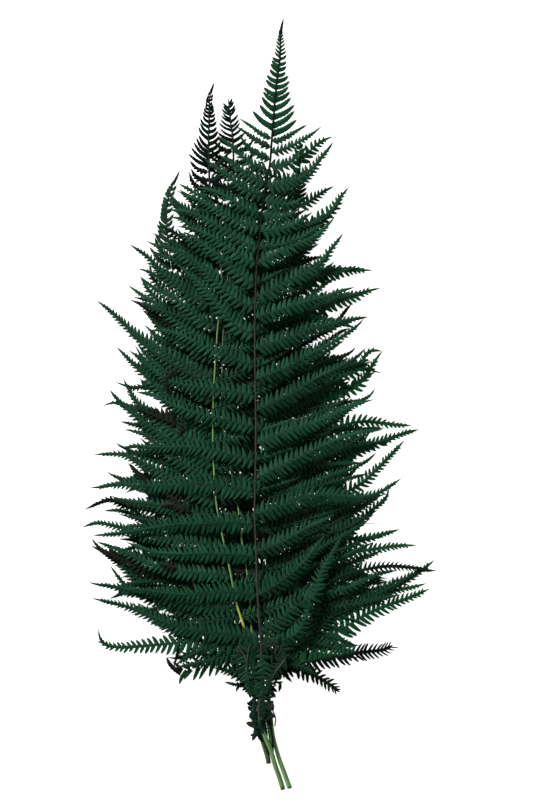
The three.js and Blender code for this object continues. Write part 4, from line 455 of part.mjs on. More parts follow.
      ['L', 'p', 6.59, 'g', [[-26.2, -115.5, 2.3], [-42.4, -108.5, 2.03], [-61.8, -102.3, 1.33], [-78.9, -94.5, 0.75], [-91.3, -88.7, 0.6], [-100.6, -84.9, 0.6], [-109.9, -82.2, 0.6], [-121.1, -82.5, 0.6]]],
      ['L', 'p', 6.59, 'b', [[-21.5, -134.1, 2.3], [-37, -131, 2.08], [-54.1, -124.8, 1.48], [-69.6, -117, 0.89], [-85.1, -110.8, 0.6], [-99, -105.4, 0.6], [-109.9, -104.6, 0.6]]],
      ['L', 'p', 6.98, 'b', [[-18.4, -146.5, 2.3], [-34.7, -148.8, 2.06], [-54.1, -148.8, 1.42], [-71.1, -144.9, 0.84], [-86.6, -138.3, 0.6], [-100.6, -129.4, 0.6], [-113, -121.3, 0.6], [-123, -114.3, 0.6], [-131.6, -109.7, 0.6]]],
      ['L', 'p', 6.98, 'g', [[-14.5, -162, 2.44], [-30.8, -165.1, 2.17], [-50.2, -162, 1.44], [-69.6, -155.8, 0.76], [-85.1, -148.8, 0.6], [-98.2, -145.7, 0.6], [-107.5, -147.2, 0.6], [-117.2, -151.1, 0.6]]],
      ['L', 'p', 6.98, 'b', [[-11, -177.5, 2.64], [-26.9, -172.8, 2.32], [-44, -163.5, 1.5], [-55.6, -162, 1.02], [-61, -169.7, 0.75], [-63, -182.1, 0.6], [-64.1, -193.8, 0.6], [-67.2, -203.8, 0.6]]],
      ['L', 'p', 6.98, 'g', [[-7.6, -193.8, 2.85], [-16.9, -199.2, 2.68], [-29.3, -197.6, 2.19], [-42.4, -193.8, 1.5], [-54.1, -193.8, 0.99], [-63.4, -197.6, 0.71], [-71.9, -196.8, 0.61]]],
      ['R', 'h', 6.59, 'g', [[-66.5, 97.3, 2.42], [-58.6, 99.2, 2.38], [-50.8, 101.5, 2.28], [-43.1, 104.2, 2.13], [-35.5, 107.3, 1.96], [-28.1, 110.7, 1.77]]],
      ['R', 'h', 6.59, 'g', [[-62.2, 71.5, 2.3], [-53.5, 74.4, 2.25], [-45, 77.7, 2.13], [-36.8, 81.6, 1.96], [-28.7, 86, 1.75], [-21, 90.9, 1.54]]],
      ['R', 'h', 6.59, 'g', [[-58.3, 48.7, 2.3], [-49.3, 51.6, 2.25], [-40.3, 55.1, 2.12], [-31.7, 59.2, 1.93], [-23.4, 63.9, 1.71], [-15.4, 69, 1.5]]],
      ['R', 'h', 6.59, 'g', [[-54.1, 24.6, 2.3], [-43.9, 27.7, 2.24], [-34, 31.5, 2.08], [-24.3, 35.8, 1.86], [-14.8, 40.8, 1.61], [-5.7, 46.3, 1.38]]],
      ['R', 'h', 6.59, 'g', [[-49.7, -0.3, 2.3], [-39.2, 2.1, 2.24], [-28.7, 5, 2.07], [-18.4, 8.3, 1.84], [-8.3, 12.2, 1.59], [1.7, 16.4, 1.36]]],
      ['R', 'h', 6.59, 'g', [[-45.8, -22.2, 2.3], [-34.2, -19.6, 2.22], [-22.8, -16.4, 2.03], [-11.5, -12.9, 1.77], [-0.4, -8.8, 1.5], [10.4, -4.1, 1.27]]],
      ['R', 'h', 6.59, 'g', [[-41, -47.7, 2.3], [-28.9, -45.3, 2.22], [-16.9, -42.3, 2.01], [-5.2, -38.9, 1.74], [6.5, -35, 1.46], [18.1, -30.6, 1.23]]],
      ['R', 'h', 6.59, 'g', [[-36, -72.2, 2.3], [-24.5, -68.4, 2.22], [-13.4, -64, 2.02], [-2.5, -58.9, 1.76], [8, -53.1, 1.49], [18.2, -46.6, 1.25]]],
      ['R', 'h', 6.59, 'g', [[-30.7, -96.4, 2.3], [-18.7, -92.8, 2.22], [-6.9, -88.5, 2], [4.7, -83.5, 1.72], [16, -77.9, 1.44], [26.9, -71.5, 1.21]]],
      ['R', 'h', 6.59, 'g', [[-25, -120, 2.3], [-13, -116.6, 2.22], [-1.2, -112.6, 2.01], [10.3, -107.9, 1.73], [21.5, -102.5, 1.45], [32.4, -96.5, 1.22]]],
      ['R', 'h', 6.59, 'g', [[-19.5, -142.2, 2.3], [-6.3, -138.5, 2.2], [6.6, -134, 1.96], [19.3, -128.8, 1.65], [31.7, -122.9, 1.35], [43.7, -116.4, 1.14]]],
      ['R', 'h', 6.59, 'g', [[-13.1, -168.9, 2.53], [-1, -166.2, 2.42], [10.9, -163, 2.14], [22.7, -159.3, 1.79], [34.2, -155.1, 1.47], [45.6, -150.3, 1.23]]],
      ['L', 'n', 5.42, 'b', [[-4.5, -213.1, 3.35], [-12.2, -213.1, 3.35], [-20.7, -210, 3.26], [-26.5, -206.2, 3.15]]],
      ['L', 'n', 4.65, 'g', [[-3.3, -219.3, 3.53], [-10.7, -216.2, 3.44], [-18.4, -217.8, 3.48], [-27.4, -215.7, 3.42]]],
      ['L', 'n', 4.65, 'd', [[-2.4, -226.3, 3.73], [-9.1, -222.4, 3.62], [-15.3, -217.8, 3.48], [-18.7, -223.6, 3.65]]],
      ['R', 'h', 6.12, 'h', [[-15.3, -158.9, 2.4], [7.9, -156.7, 2.04], [31, -153.9, 1.47], [53.9, -150.4, 1.07], [76.8, -146.2, 1.04], [99.5, -141.4, 1.04]]],
      ['R', 'h', 6.82, 'h', [[-65.1, 89.1, 2.36], [-42.5, 94.3, 2.02], [-19.9, 99.6, 1.5], [2.8, 105, 1.11], [25.3, 110.5, 1.08], [47.9, 116.2, 1.08]]],
      ['L', 'h', 6.04, 'h', [[-40.5, -50.4, 2.3], [-57.5, -51.5, 1.78], [-74.4, -53.6, 1.2], [-91.3, -56.6, 0.62], [-107.8, -60.4, 0.42], [-124.2, -65.1, 0.42]]],
      ['L', 'h', 6.28, 'h', [[-47, -15.5, 2.3], [-59.9, -13, 2.09], [-72.7, -9.9, 1.69], [-85.4, -6.2, 1.21], [-97.8, -1.9, 0.79], [-110, 3.1, 0.55]]],
      ['R', 'h', 6.2, 'h', [[-51.8, 11.6, 2.3], [-29.5, 18.2, 1.8], [-7.7, 26.3, 1.28], [13.4, 35.9, 0.89], [34, 46.8, 0.86], [53.7, 59.1, 0.86]]],
      ['L', 'h', 6.12, 'h', [[-24.9, -120.1, 2.3], [-42, -121.3, 1.99], [-58.9, -123.4, 1.42], [-75.7, -126.3, 0.84], [-92.3, -130.1, 0.55], [-108.7, -134.8, 0.54]]],
      ['R', 'h', 6.04, 'h', [[-28.7, -104.6, 2.3], [-5.6, -102.5, 1.88], [17.5, -99.7, 1.36], [40.5, -96.2, 0.97], [63.4, -92, 0.94], [86.1, -87.2, 0.94]]],
      ['R', 'h', 6.28, 'h', [[-4.6, -211.6, 3.3], [4.5, -209.8, 3.05], [13.6, -207.9, 2.58], [22.7, -206.2, 2.15], [31.9, -204.4, 1.7], [41, -202.6, 1.3]]],
      ['R', 'h', 6.35, 'h', [[-17.2, -151.1, 2.3], [6, -150.4, 1.91], [29.3, -150.5, 1.39], [52.5, -151.4, 1], [75.7, -153.1, 0.97], [98.8, -155.5, 0.97]]],
      ['R', 'h', 6.51, 'h', [[-68.5, 108.5, 2.5], [-46.5, 116.3, 1.99], [-24.9, 124.7, 1.47], [-3.4, 133.7, 1.09], [17.7, 143.3, 1.05], [38.6, 153.5, 1.05]]],
      ['L', 'h', 6.12, 'h', [[-29.7, -100.8, 2.3], [-46.7, -101.9, 1.88], [-63.6, -104, 1.3], [-80.4, -107, 0.72], [-97, -110.7, 0.43], [-113.4, -115.5, 0.42]]],
      ['L', 'h', 6.35, 'h', [[-31.6, -93, 2.3], [-47.9, -92.5, 1.99], [-64.1, -92.6, 1.45], [-80.4, -93.2, 0.89], [-96.6, -94.4, 0.54], [-112.8, -96.1, 0.52]]],
    ],
  },
};
// ---- materials --------------------------------------------------------------
const leafFront = new THREE.MeshStandardMaterial({ color: 0x17432f, roughness: 0.8, metalness: 0 });
const leafUpper = new THREE.MeshStandardMaterial({ color: 0x143a29, roughness: 0.8, metalness: 0 });
const leafMiddle = new THREE.MeshStandardMaterial({ color: 0x1b2620, roughness: 0.82, metalness: 0 });
const leafRight = new THREE.MeshStandardMaterial({ color: 0x0d4a2b, roughness: 0.78, metalness: 0 });
const leafLower = new THREE.MeshStandardMaterial({ color: 0x16362a, roughness: 0.82, metalness: 0 });
const cordBlack = new THREE.MeshStandardMaterial({ color: 0x1c1b1c, roughness: 0.85, metalness: 0 });
const LEAF = {
  frond_front: leafFront,
  frond_upper_left: leafUpper,
  frond_middle: leafMiddle,
  frond_right: leafRight,
  frond_lower_left: leafLower,
};

// ---- shape helpers ----------------------------------------------------------
const UP = new THREE.Vector3(0, 0, 1);

function profile(table, t) {
  for (let i = 1; i < table.length; i++) {
    const [t0, v0] = table[i - 1];
    const [t1, v1] = table[i];
    if (t <= t1) return v0 + (v1 - v0) * (t - t0) / (t1 - t0);
  }
  return table[table.length - 1][1];
}

// Bends a cylinder of the given sides along a curve. stations are the places
// along it, 0 to 1; across and high give the half width and half height there.
function bend(curve, sides, stations, across, high, closedTip, turn = 0) {
  const steps = stations.length - 1;
  const geometry = new THREE.CylinderGeometry(closedTip ? 0 : 1, 1, 1, sides, steps);
  geometry.deleteAttribute('normal');
  geometry.deleteAttribute('uv');
  const position = geometry.attributes.position;
  const p = new THREE.Vector3();
  const tangent = new THREE.Vector3();
  const side = new THREE.Vector3();
  const lift = new THREE.Vector3();
  for (let i = 0; i < position.count; i++) {
    const v = position.getY(i) + 0.5;              // 0 at the base, 1 at the tip
    const row = Math.round(v * steps);
    const t = stations[row];
    const x = position.getX(i);
    const z = position.getZ(i);
    const rim = Math.hypot(x, z);
    const angle = Math.atan2(z, x) + turn;
    const onAxis = rim < 1e-6;
    curve.getPointAt(t, p);
    curve.getTangentAt(t, tangent);
    side.crossVectors(tangent, UP).normalize();
    lift.crossVectors(side, tangent).normalize();
    const a = onAxis ? 0 : Math.cos(angle) * across(t);
    const b = onAxis ? 0 : Math.sin(angle) * high(t);
    position.setXYZ(i, p.x + side.x * a + lift.x * b, p.y + side.y * a + lift.y * b, p.z + side.z * a + lift.z * b);
  }
  return mergeVertices(geometry, 1e-5);
}

const wasm = await Module();
wasm.setup();

function toSolid(geometry) {
  const solid = new wasm.Manifold(new wasm.Mesh({
    numProp: 3,
    vertProperties: new Float32Array(geometry.attributes.position.array),
    triVerts: new Uint32Array(geometry.index.array),
  }));
  if (solid.volume() > 0) return solid;
  const index = Array.from(geometry.index.array);
  for (let i = 0; i < index.length; i += 3) [index[i], index[i + 1]] = [index[i + 1], index[i]];
  return new wasm.Manifold(new wasm.Mesh({
    numProp: 3,
    vertProperties: new Float32Array(geometry.attributes.position.array),
    triVerts: new Uint32Array(index),
  }));
}

function joinAll(solids) {
  let list = solids;
  while (list.length > 1) {
    const next = [];
    for (let i = 0; i < list.length; i += 2) next.push(i + 1 < list.length ? list[i].add(list[i + 1]) : list[i]);
    list = next;
  }
  // blades that cross can close a small pocket between them: it is filled
  return list[0].decompose().reduce((a, b) => (b.volume() > a.volume() ? b : a));
}

function toMesh(name, solid, material) {
  const out = solid.getMesh();
  const geometry = new THREE.BufferGeometry();
  const n = out.vertProperties.length / out.numProp;
  const position = new Float32Array(n * 3);
  for (let i = 0; i < n; i++) for (let k = 0; k < 3; k++) position[i * 3 + k] = out.vertProperties[i * out.numProp + k];
  geometry.setAttribute('position', new THREE.BufferAttribute(position, 3));
  geometry.setIndex(new THREE.BufferAttribute(new Uint32Array(out.triVerts), 1));
  geometry.computeVertexNormals();
  const mesh = new THREE.Mesh(geometry, material);
  mesh.name = name;
  return mesh;
}

const curveOf = (points) => new THREE.CatmullRomCurve3(points.map((q) => new THREE.Vector3(q[0], q[1], q[2])), false, 'catmullrom', 0.5);

// ---- a stalk: a tapering rod from the frond's tip to its cut end --------------
function stalkParts(stalk) {
  const points = stalk.slice().reverse();           // from the cut end to the tip
  const curve = curveOf(points);
  const lengths = [0];
  for (let i = 1; i < points.length; i++) {
    lengths.push(lengths[i - 1] + Math.hypot(points[i][0] - points[i - 1][0], points[i][1] - points[i - 1][1], points[i][2] - points[i - 1][2]));
  }
  const total = lengths[lengths.length - 1];
  const radii = points.map((q, i) => [lengths[i] / total, q[3]]);
  const radius = (t) => profile(radii, t);
  const steps = STALK_STEPS;
  const stations = Array.from({ length: steps + 1 }, (_, i) => i / steps);
  return {
    solid: toSolid(bend(curve, STALK_SIDES, stations, radius, radius, false)),
    line: stations.map((t) => curve.getPointAt(t)),
  };
}

// the point of a stalk's faceted centre line that is nearest to q
function nearestOnStalk(line, q) {
  let best = null;
  let bestDistance = Infinity;
  for (let i = 1; i < line.length; i++) {
    const a = line[i - 1];
    const b = line[i];
    const ab = b.clone().sub(a);
    const t = Math.min(0.98, Math.max(0.02, ((q[0] - a.x) * ab.x + (q[1] - a.y) * ab.y) / (ab.x * ab.x + ab.y * ab.y)));
    const p = a.clone().addScaledVector(ab, t);
    const distance = Math.hypot(p.x - q[0], p.y - q[1]);
    if (distance < bestDistance) {
      bestDistance = distance;
      best = p;
    }
  }
  return [best.x, best.y, best.z];
}

// ---- a blade: the outline that a pinna's pinnules fill, flat below and ridged
// above, so its section is a low triangle
const RIDGE_WIDEN = 2 / Math.sqrt(3);
function bladeSolid([side, kind, length, tone, line], stalkLine) {
  const midrib = [nearestOnStalk(stalkLine, line[0]), ...line.slice(1)];
  const curve = curveOf(midrib);
  if (kind === 's') {
    const stations = [0, 0.45, 1];
    const across = (t) => profile(LEAFLET_PROFILE, t) * length * 0.7 * RIDGE_WIDEN;
    const high = (t) => LEAFLET_HALF_THICKNESS * (t < 1 ? 1 : 0);
    return toSolid(bend(curve, 3, stations, across, high, true));
  }
  if (kind === 'r') {
    const stations = [0, 0.25, 0.5, 0.75, 1];
    const across = (t) => 0.55 * (1 - 0.7 * t);
    return toSolid(bend(curve, 3, stations, across, across, true));
  }
  const stations = PINNA_PROFILE.map((q) => q[0]);
  const across = (t) => profile(PINNA_PROFILE, t) * length * BLADE_LEAN * (kind === 'n' ? 0.55 : kind === 'c' ? 0.8 : 1) + 0.02;
  const high = (t) => BLADE_HALF_THICKNESS * (t > 0.8 ? 0.7 : 1);
  return toSolid(bend(curve, 3, stations, (t) => (t >= 1 ? 0 : across(t) * RIDGE_WIDEN), (t) => (t >= 1 ? 0 : high(t)), true));
}

// ---- the bunch --------------------------------------------------------------
const bunch = new THREE.Group();
for (const [name, frond] of Object.entries(FRONDS)) {
  const stalk = stalkParts(frond.stalk);
  const solids = [stalk.solid];
  for (const blade of frond.blades) {
    const [x0, y0] = blade[4][0];
    const [x1, y1] = blade[4][blade[4].length - 1];
    if (Math.hypot(x1 - x0, y1 - y0) < LEAFLET_MIN) continue;
    solids.push(bladeSolid(blade, stalk.line));
  }
  bunch.add(toMesh(name, joinAll(solids), LEAF[name]));
}

// ---- the tie ----------------------------------------------------------------
class Turn extends THREE.Curve {
  constructor(shift) {
    super();
    this.shift = shift;
  }
  getPoint(t, target = new THREE.Vector3()) {
    const a = t * Math.PI * 2;
    const x = TIE_HALF_WIDTH * Math.cos(a);
    return target.set(TIE_CENTRE[0] + x, TIE_CENTRE[1] + this.shift + TIE_SLANT * x, TIE_CENTRE[2] + TIE_HALF_HEIGHT * Math.sin(a));
  }
}

function turnSolid(shift) {
  const ring = new THREE.TorusGeometry(1, 0.5, STALK_SIDES, TIE_SEGMENTS);
  ring.deleteAttribute('normal');
  ring.deleteAttribute('uv');
  const curve = new Turn(shift);
  const position = ring.attributes.position;
  const p = new THREE.Vector3();
  for (let i = 0; i < position.count; i++) {
    const x = position.getX(i);
    const y = position.getY(i);
    const z = position.getZ(i);
    const around = Math.atan2(y, x);
    const out = Math.hypot(x, y) - 1;                 // -0.5 to 0.5 across the cord
    curve.getPoint(((around / (Math.PI * 2)) + 1) % 1, p);
    const scale = TIE_CORD_RADIUS * 2;
    position.setXYZ(i, p.x + Math.cos(around) * out * scale, p.y + z * scale, p.z + Math.sin(around) * out * scale);
  }
  return toSolid(mergeVertices(ring, 1e-5));
}

const turns = [];
for (let i = 0; i < TIE_TURNS; i++) turns.push(turnSolid((i - (TIE_TURNS - 1) / 2) * TIE_PITCH));
const tail = curveOf([[TIE_CENTRE[0] + TIE_HALF_WIDTH, TIE_CENTRE[1] + TIE_SLANT * TIE_HALF_WIDTH - 1.5, TIE_CENTRE[2]], ...TIE_TAIL]);
turns.push(toSolid(bend(tail, STALK_SIDES, [0, 0.3, 0.55, 0.8, 1], () => TIE_CORD_RADIUS * 0.9, () => TIE_CORD_RADIUS * 0.9, false)));
bunch.add(toMesh('binding_cord', joinAll(turns), cordBlack));

export default bunch;
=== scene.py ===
import math

import bpy
import numpy as np
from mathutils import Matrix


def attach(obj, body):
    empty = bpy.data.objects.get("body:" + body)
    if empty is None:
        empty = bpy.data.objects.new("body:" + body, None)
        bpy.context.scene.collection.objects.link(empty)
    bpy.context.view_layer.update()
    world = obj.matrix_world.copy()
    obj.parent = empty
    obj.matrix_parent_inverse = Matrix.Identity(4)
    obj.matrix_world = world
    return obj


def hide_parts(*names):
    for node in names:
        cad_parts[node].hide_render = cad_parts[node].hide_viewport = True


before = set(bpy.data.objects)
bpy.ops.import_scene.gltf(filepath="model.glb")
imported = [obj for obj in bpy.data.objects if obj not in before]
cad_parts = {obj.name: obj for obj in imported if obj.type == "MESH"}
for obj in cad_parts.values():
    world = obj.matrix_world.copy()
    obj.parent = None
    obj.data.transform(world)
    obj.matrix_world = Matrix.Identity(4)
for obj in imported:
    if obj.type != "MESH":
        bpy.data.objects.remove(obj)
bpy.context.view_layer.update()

# A tied bunch of five preserved bracken fronds that lies face up. Lengths in
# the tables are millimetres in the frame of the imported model.
MM = 0.001
SEED = 41

# stalk: centre line and radius from the tip to the cut end.
# blades: side, kind, pinnule length, tone, midrib from the stalk to the tip.
# A sixth value is the length of midrib beside the stalk that bears no pinnules.
# kinds: s undivided leaflet, c shallow lobed pinna, p divided pinna, h divided
# and covered by others, r bare rib, k thick grey rib, n pinna bent down along
# the stalks.
# tones: g dark green, v bright green, h green darkened as painted shade for pinnae lying under others, d near black, x
# black, b brown black, m brown green, w bright with wide spaces, q black below and
# green above.
FRONDS = {
  "frond_front": dict(
    stalk=[(18.41,299.93,9,0.28),(16.47,290.62,9.63,0.34),(15.93,279,10.41,0.42),(15.69,268.93,11.1,0.49),(14.53,259.62,11.87,0.54),(13.37,251.88,12.53,0.57),(11.82,236.38,13.87,0.65),(10.66,220.88,15.2,0.73),(9.34,205.38,16.05,0.8),(7.79,186,17.11,0.82),(4.07,166.62,18.18,0.83),(1.36,147.25,18.75,0.85),(-0.58,124,19.05,0.87),(-2.52,104.62,19.3,0.88),(-3.45,81.38,19.6,0.9),(-3.84,58.12,19.6,0.91),(-3.6,27.12,19.6,0.93),(-3.06,-19.38,19.6,0.96),(-3.53,-58.12,19.6,0.98),(-4.07,-81.38,19.48,0.99),(-3.53,-96.88,19.24,1),(-2.67,-120.12,18.88,1.01),(-1.74,-147.25,18.46,1.03),(-0.43,-166.62,17.7,1.04),(0.97,-187.55,16.53,1.11),(0.58,-209.25,14.56,1.33),(-0.43,-228.62,12.4,1.55),(0.12,-244.12,11.6,1.75),(1.74,-250.33,11.11,1.83),(3.45,-254.97,10.67,1.85),(5,-259.62,9.89,1.86),(8.25,-267.38,8.48,1.87),(10.58,-275.12,6.85,1.87),(12.75,-282.88,5.15,1.88),(15.38,-290.62,3.5,1.89),(18.02,-299.54,1.75,1.9)],
    blades=[
      ('L','s',1.15,'d',[(16.4,287.5,9.84),(16.9,292.9,9.7),(18.4,299.9,9.34)]),
      ('L','s',0.78,'d',[(16.3,288.7,9.76),(15.5,289.8,9.61),(15,291.4,9.26)]),
      ('L','s',0.81,'d',[(16.2,286.8,9.89),(15.3,287.9,9.74),(14.6,289.5,9.39)]),
      ('L','s',0.85,'e',[(16.2,284,10.07),(15,285.4,9.92),(14.1,287.3,9.57)]),
      ('L','s',0.88,'e',[(16.1,281.7,10.23),(14.6,283.1,10.07),(13.4,285,9.73)]),
      ('L','s',0.93,'e',[(15.9,279,10.41),(14.2,280.6,10.25),(12.7,282.8,9.91)]),
      ('L','s',0.97,'e',[(15.8,275.9,10.62),(14.1,277.6,10.46),(12.7,279.8,10.12)]),
      ('L','s',1.01,'e',[(15.6,272.8,10.83),(13.6,274.6,10.67),(11.9,276.9,10.33)]),
      ('L','s',1.06,'e',[(15.5,269.7,11.04),(13.4,271.6,10.88),(11.4,274.1,10.54)]),
      ('R','s',0.79,'d',[(16.5,287.9,9.81),(17.2,288.5,9.67),(17.8,289.7,9.31)]),
      ('R','s',0.83,'d',[(16.5,285.6,9.97),(17.4,286.4,9.82),(18.1,287.7,9.47)]),
      ('R','s',0.86,'e',[(16.5,283.3,10.13),(17.7,284,9.97),(18.6,285.4,9.63)]),
      ('R','s',0.9,'e',[(16.4,280.6,10.31),(17.9,281.7,10.15),(19.3,283.4,9.81)]),
      ('R','s',0.95,'e',[(16.5,277.6,10.51),(18.1,279,10.35),(19.6,280.9,10.01)]),
      ('R','s',0.98,'e',[(16.5,274.7,10.71),(18.4,275.9,10.54),(20.1,277.6,10.21)]),
      ('R','s',1.04,'e',[(16.5,271.6,10.92),(18.6,272.9,10.75),(20.5,274.7,10.42)]),
      ('R','s',1.09,'e',[(16.5,267.8,11.17),(18.7,269.5,11),(20.7,271.6,10.67)]),
      ('L','s',1.95,'e',[(15.5,266.8,11.25),(12.4,267.5,11.1),(9.5,269.7,10.75)]),
      ('L','s',2.03,'e',[(14.9,262.3,11.63),(11.9,264.1,11.48),(9.1,267.4,11.13)]),
      ('L','s',2.07,'e',[(14.5,259.2,11.9),(11.3,261.2,11.75),(8.3,264.7,11.4)]),
      ('L','s',2.14,'e',[(13.8,255,12.27),(10.5,256.9,12.11),(7.6,260.4,11.77)]),
      ('L','s',2.22,'e',[(13.4,250.3,12.67),(9.1,252.2,12.51),(5.2,255.8,12.17)]),
      ('L','s',2.3,'e',[(13,245.7,13.07),(8.5,248.1,12.91),(4.5,252.3,12.57)]),
      ('L','s',2.39,'e',[(12.2,240.2,13.53),(7.4,242.2,13.37),(2.9,246.1,13.03)]),
      ('L','s',2.47,'e',[(11.8,235.2,13.97),(6.9,238,13.81),(2.5,242.6,13.47)]),
      ('L','s',2.58,'e',[(11,228.6,14.53),(5.9,232.7,14.37),(1.4,238.7,14.03)]),
      ('L','s',2.69,'e',[(10.7,221.7,15.13),(4.9,226.1,14.97),(-0.2,232.5,14.63)]),
      ('L','s',2.82,'e',[(9.9,214.3,15.56),(1.7,219.6,15.4),(-5.6,227.5,15.06)]),
      ('R','s',1.25,'e',[(16.1,268.2,11.15),(18.5,269,11),(20.7,271.2,10.65)]),
      ('R','s',2.01,'e',[(15.7,263.9,11.5),(18.3,264.5,11.35),(20.7,266.6,11)]),
      ('R','s',2.07,'e',[(14.9,259.6,11.87),(17.9,260.4,11.71),(20.7,262.7,11.37)]),
      ('R','s',2.14,'e',[(14.5,255,12.27),(17.3,255.8,12.11),(20,258.1,11.77)]),
      ('R','s',2.21,'e',[(14.1,250.7,12.63),(18.3,252,12.47),(22.3,255,12.13)]),
      ('R','s',2.3,'e',[(13.4,245.7,13.07),(18.4,247.2,12.9),(23.1,250.7,12.57)]),
      ('R','s',2.38,'e',[(13,240.6,13.5),(17.8,242.6,13.34),(22.3,246.5,13)]),
      ('R','s',2.46,'e',[(12.6,235.6,13.93),(18.2,238.1,13.77),(23.4,242.6,13.43)]),
      ('R','s',2.56,'e',[(11.8,229.4,14.47),(18.3,232.6,14.3),(24.2,237.9,13.97)]),
      ('R','s',2.68,'e',[(11.4,222.8,15.03),(19.5,226.2,14.87),(26.9,232.1,14.53)]),
      ('R','s',2.79,'e',[(10.7,215.5,15.5),(19.2,220.2,15.33),(26.9,227.5,15)]),
      ('R','s',2.9,'e',[(10.3,209.6,15.82),(19.7,213.7,15.65),(28.5,220.5,15.32)]),
      ('L','c',3.1,'g',[(9.3,206.5,15.99),(3.3,208.5,15.99),(-4.5,213.9,15.99),(-9.9,217.8,15.96),(-15.3,221.3,15.89)]),
      ('L','c',3.72,'g',[(8.7,200,16.35),(1.7,201.9,16.35),(-6,206.9,16.35),(-12.2,211.6,16.3),(-17.6,215.1,16.22)]),
      ('L','c',4.26,'g',[(7.9,190.7,16.86),(0.2,193,16.86),(-7.6,198,16.86),(-12.2,203.1,16.81),(-15.3,209.2,16.7)]),
      ('L','p',5.04,'g',[(6.8,182.1,17.32),(-1.4,183.7,17.32),(-9.9,188.3,17.32),(-16.9,196.1,17.21),(-24.6,202.3,16.98),(-32.4,207.7,16.67)]),
      ('L','p',5.42,'g',[(5.2,172.1,17.88),(-2.9,173.6,17.88),(-10.7,178.2,17.87),(-20,186,17.72),(-30.8,193,17.35)]),
      ('L','p',5.81,'g',[(2.9,162.8,18.39),(-6,164.3,18.39),(-16.9,171.3,18.35),(-29.3,180.6,17.99),(-42.4,189.9,17.32)]),
      ('L','p',6.2,'g',[(1.4,148.8,18.73),(-7.6,150.3,18.73),(-19.2,156.6,18.68),(-32.4,164.3,18.28),(-48.6,168.2,17.48)]),
      ('L','p',6.2,'g',[(0.5,138.7,18.86),(-9.1,138.7,18.86),(-21.5,144.2,18.79),(-35.5,152.7,18.28),(-47.9,158.9,17.55),(-57.9,162,16.89)]),
      ('L','p',6.59,'g',[(-0.6,123.2,19.06),(-10.7,124.8,19.06),(-23.8,133.3,18.93),(-42.4,144.2,17.97),(-55.6,149.6,17.02),(-68.4,151.1,16.05)]),
      ('L','p',6.59,'g',[(-1.7,110,19.23),(-12.2,113.2,19.23),(-24.6,121.7,19.09),(-38.6,131,18.4),(-52.5,136.4,17.43),(-64.1,138,16.55)]),
      ('L','p',6.98,'g',[(-2.9,93,19.45),(-12.2,97.7,19.45),(-23.8,109.3,19.29),(-40.1,121.7,18.35),(-51,129.4,17.44),(-59.5,134.1,16.7)]),
      ('L','p',6.98,'g',[(-3.4,76,19.6),(-13,78.3,19.6),(-23.8,86,19.53),(-41.7,102.3,18.5),(-51,111.6,17.6),(-59.5,120.1,16.69)]),
      ('L','p',6.98,'g',[(-3.8,54.2,19.6),(-15.3,58.9,19.6),(-24.6,67.4,19.49),(-40.9,87.6,18.27),(-52.5,99.2,17.09),(-64.1,109.3,15.9)]),
      ('L','p',6.98,'g',[(-3.7,31,19.6),(-14.8,33.3,19.6),(-23.8,38,19.55),(-41.7,44.2,18.89),(-59.5,53.5,17.6),(-73.4,57.4,16.5),(-87.4,57.7,15.44)]),
      ('L','p',6.98,'g',[(-3.4,7,19.6),(-15.3,9.3,19.6),(-23.8,10.8,19.56),(-41.7,13.2,18.97),(-59.5,15.5,17.87),(-73.4,20.9,16.75),(-85.1,29.4,15.64),(-94.7,35.6,14.85)]),
      ('L','p',6.98,'g',[(-3.1,-16.7,19.6),(-15.3,-14.3,19.6),(-23.8,-12.4,19.56),(-38.6,-8.9,19.09),(-54.1,-4.7,18.17),(-68,0.4,17.1),(-78.9,6.2,16.15),(-86.6,8.9,15.53),(-95.1,9.7,14.94)]),
      ('L','p',7.36,'g',[(-3.3,-42.6,19.6),(-15.3,-40.3,19.6),(-23.8,-38,19.56),(-37,-34.9,19.17),(-50.2,-32.6,18.46),(-68,-32.6,17.2),(-85.1,-32.6,15.89),(-96.7,-31.8,15.05),(-106.8,-33.3,14.42)]),
      ('L','p',7.75,'g',[(-3.6,-67.8,19.6),(-15.3,-65.1,19.6),(-27.7,-63.2,19.5),(-45.5,-61.5,18.78),(-63.4,-62,17.61),(-85.8,-62.8,15.9),(-104.4,-61.6,14.61),(-116.1,-62,14.02),(-123.8,-63.6,13.75),(-131.6,-64.1,13.61)]),
      ('L','p',7.75,'g',[(-3.8,-92.2,19.31),(-15.3,-91.1,19.31),(-27.7,-90.7,19.22),(-45.5,-91.8,18.53),(-63.4,-92.2,17.37),(-81.2,-94.9,15.99),(-96.7,-97.7,14.84),(-109.9,-99.6,14.02),(-128.8,-101.1,13.36)]),
      ('L','p',7.75,'g',[(-2.8,-117,18.93),(-15.3,-115.5,18.93),(-27.7,-114.9,18.81),(-45.5,-114.7,18.09),(-63.4,-115.1,16.92),(-81.2,-113.9,15.55),(-92.8,-110,14.64),(-103.3,-106.2,13.91)]),
      ('L','p',7.75,'g',[(-1.8,-146.1,18.48),(-15.3,-144.5,18.65),(-27.7,-144.2,18.87),(-45.5,-145.7,18.59),(-61.8,-146.5,17.62),(-77.3,-144.9,16.44),(-92.8,-143.4,15.27),(-105.2,-141.8,14.47)]),
      ('L','p',8.14,'g',[(0.3,-180.6,17.07),(-15.3,-178.6,17.59),(-27.7,-176.7,18.22),(-45.5,-175.2,18.41),(-63.4,-171.3,17.3),(-81.2,-165.1,15.86),(-99,-157.3,14.53),(-116.8,-152.7,13.74),(-130.3,-149.6,13.6)]),
      ('R','c',3.1,'g',[(9.3,203.1,16.18),(17.2,205.4,16.18),(24.2,209.2,16.18),(30.4,213.1,16.18),(36.6,216.6,16.13)]),
      ('R','p',4.26,'g',[(8.7,194.5,16.64),(19.6,198,16.64),(28.9,202.7,16.64),(38.9,208.5,16.55),(47.9,215.5,16.24)]),
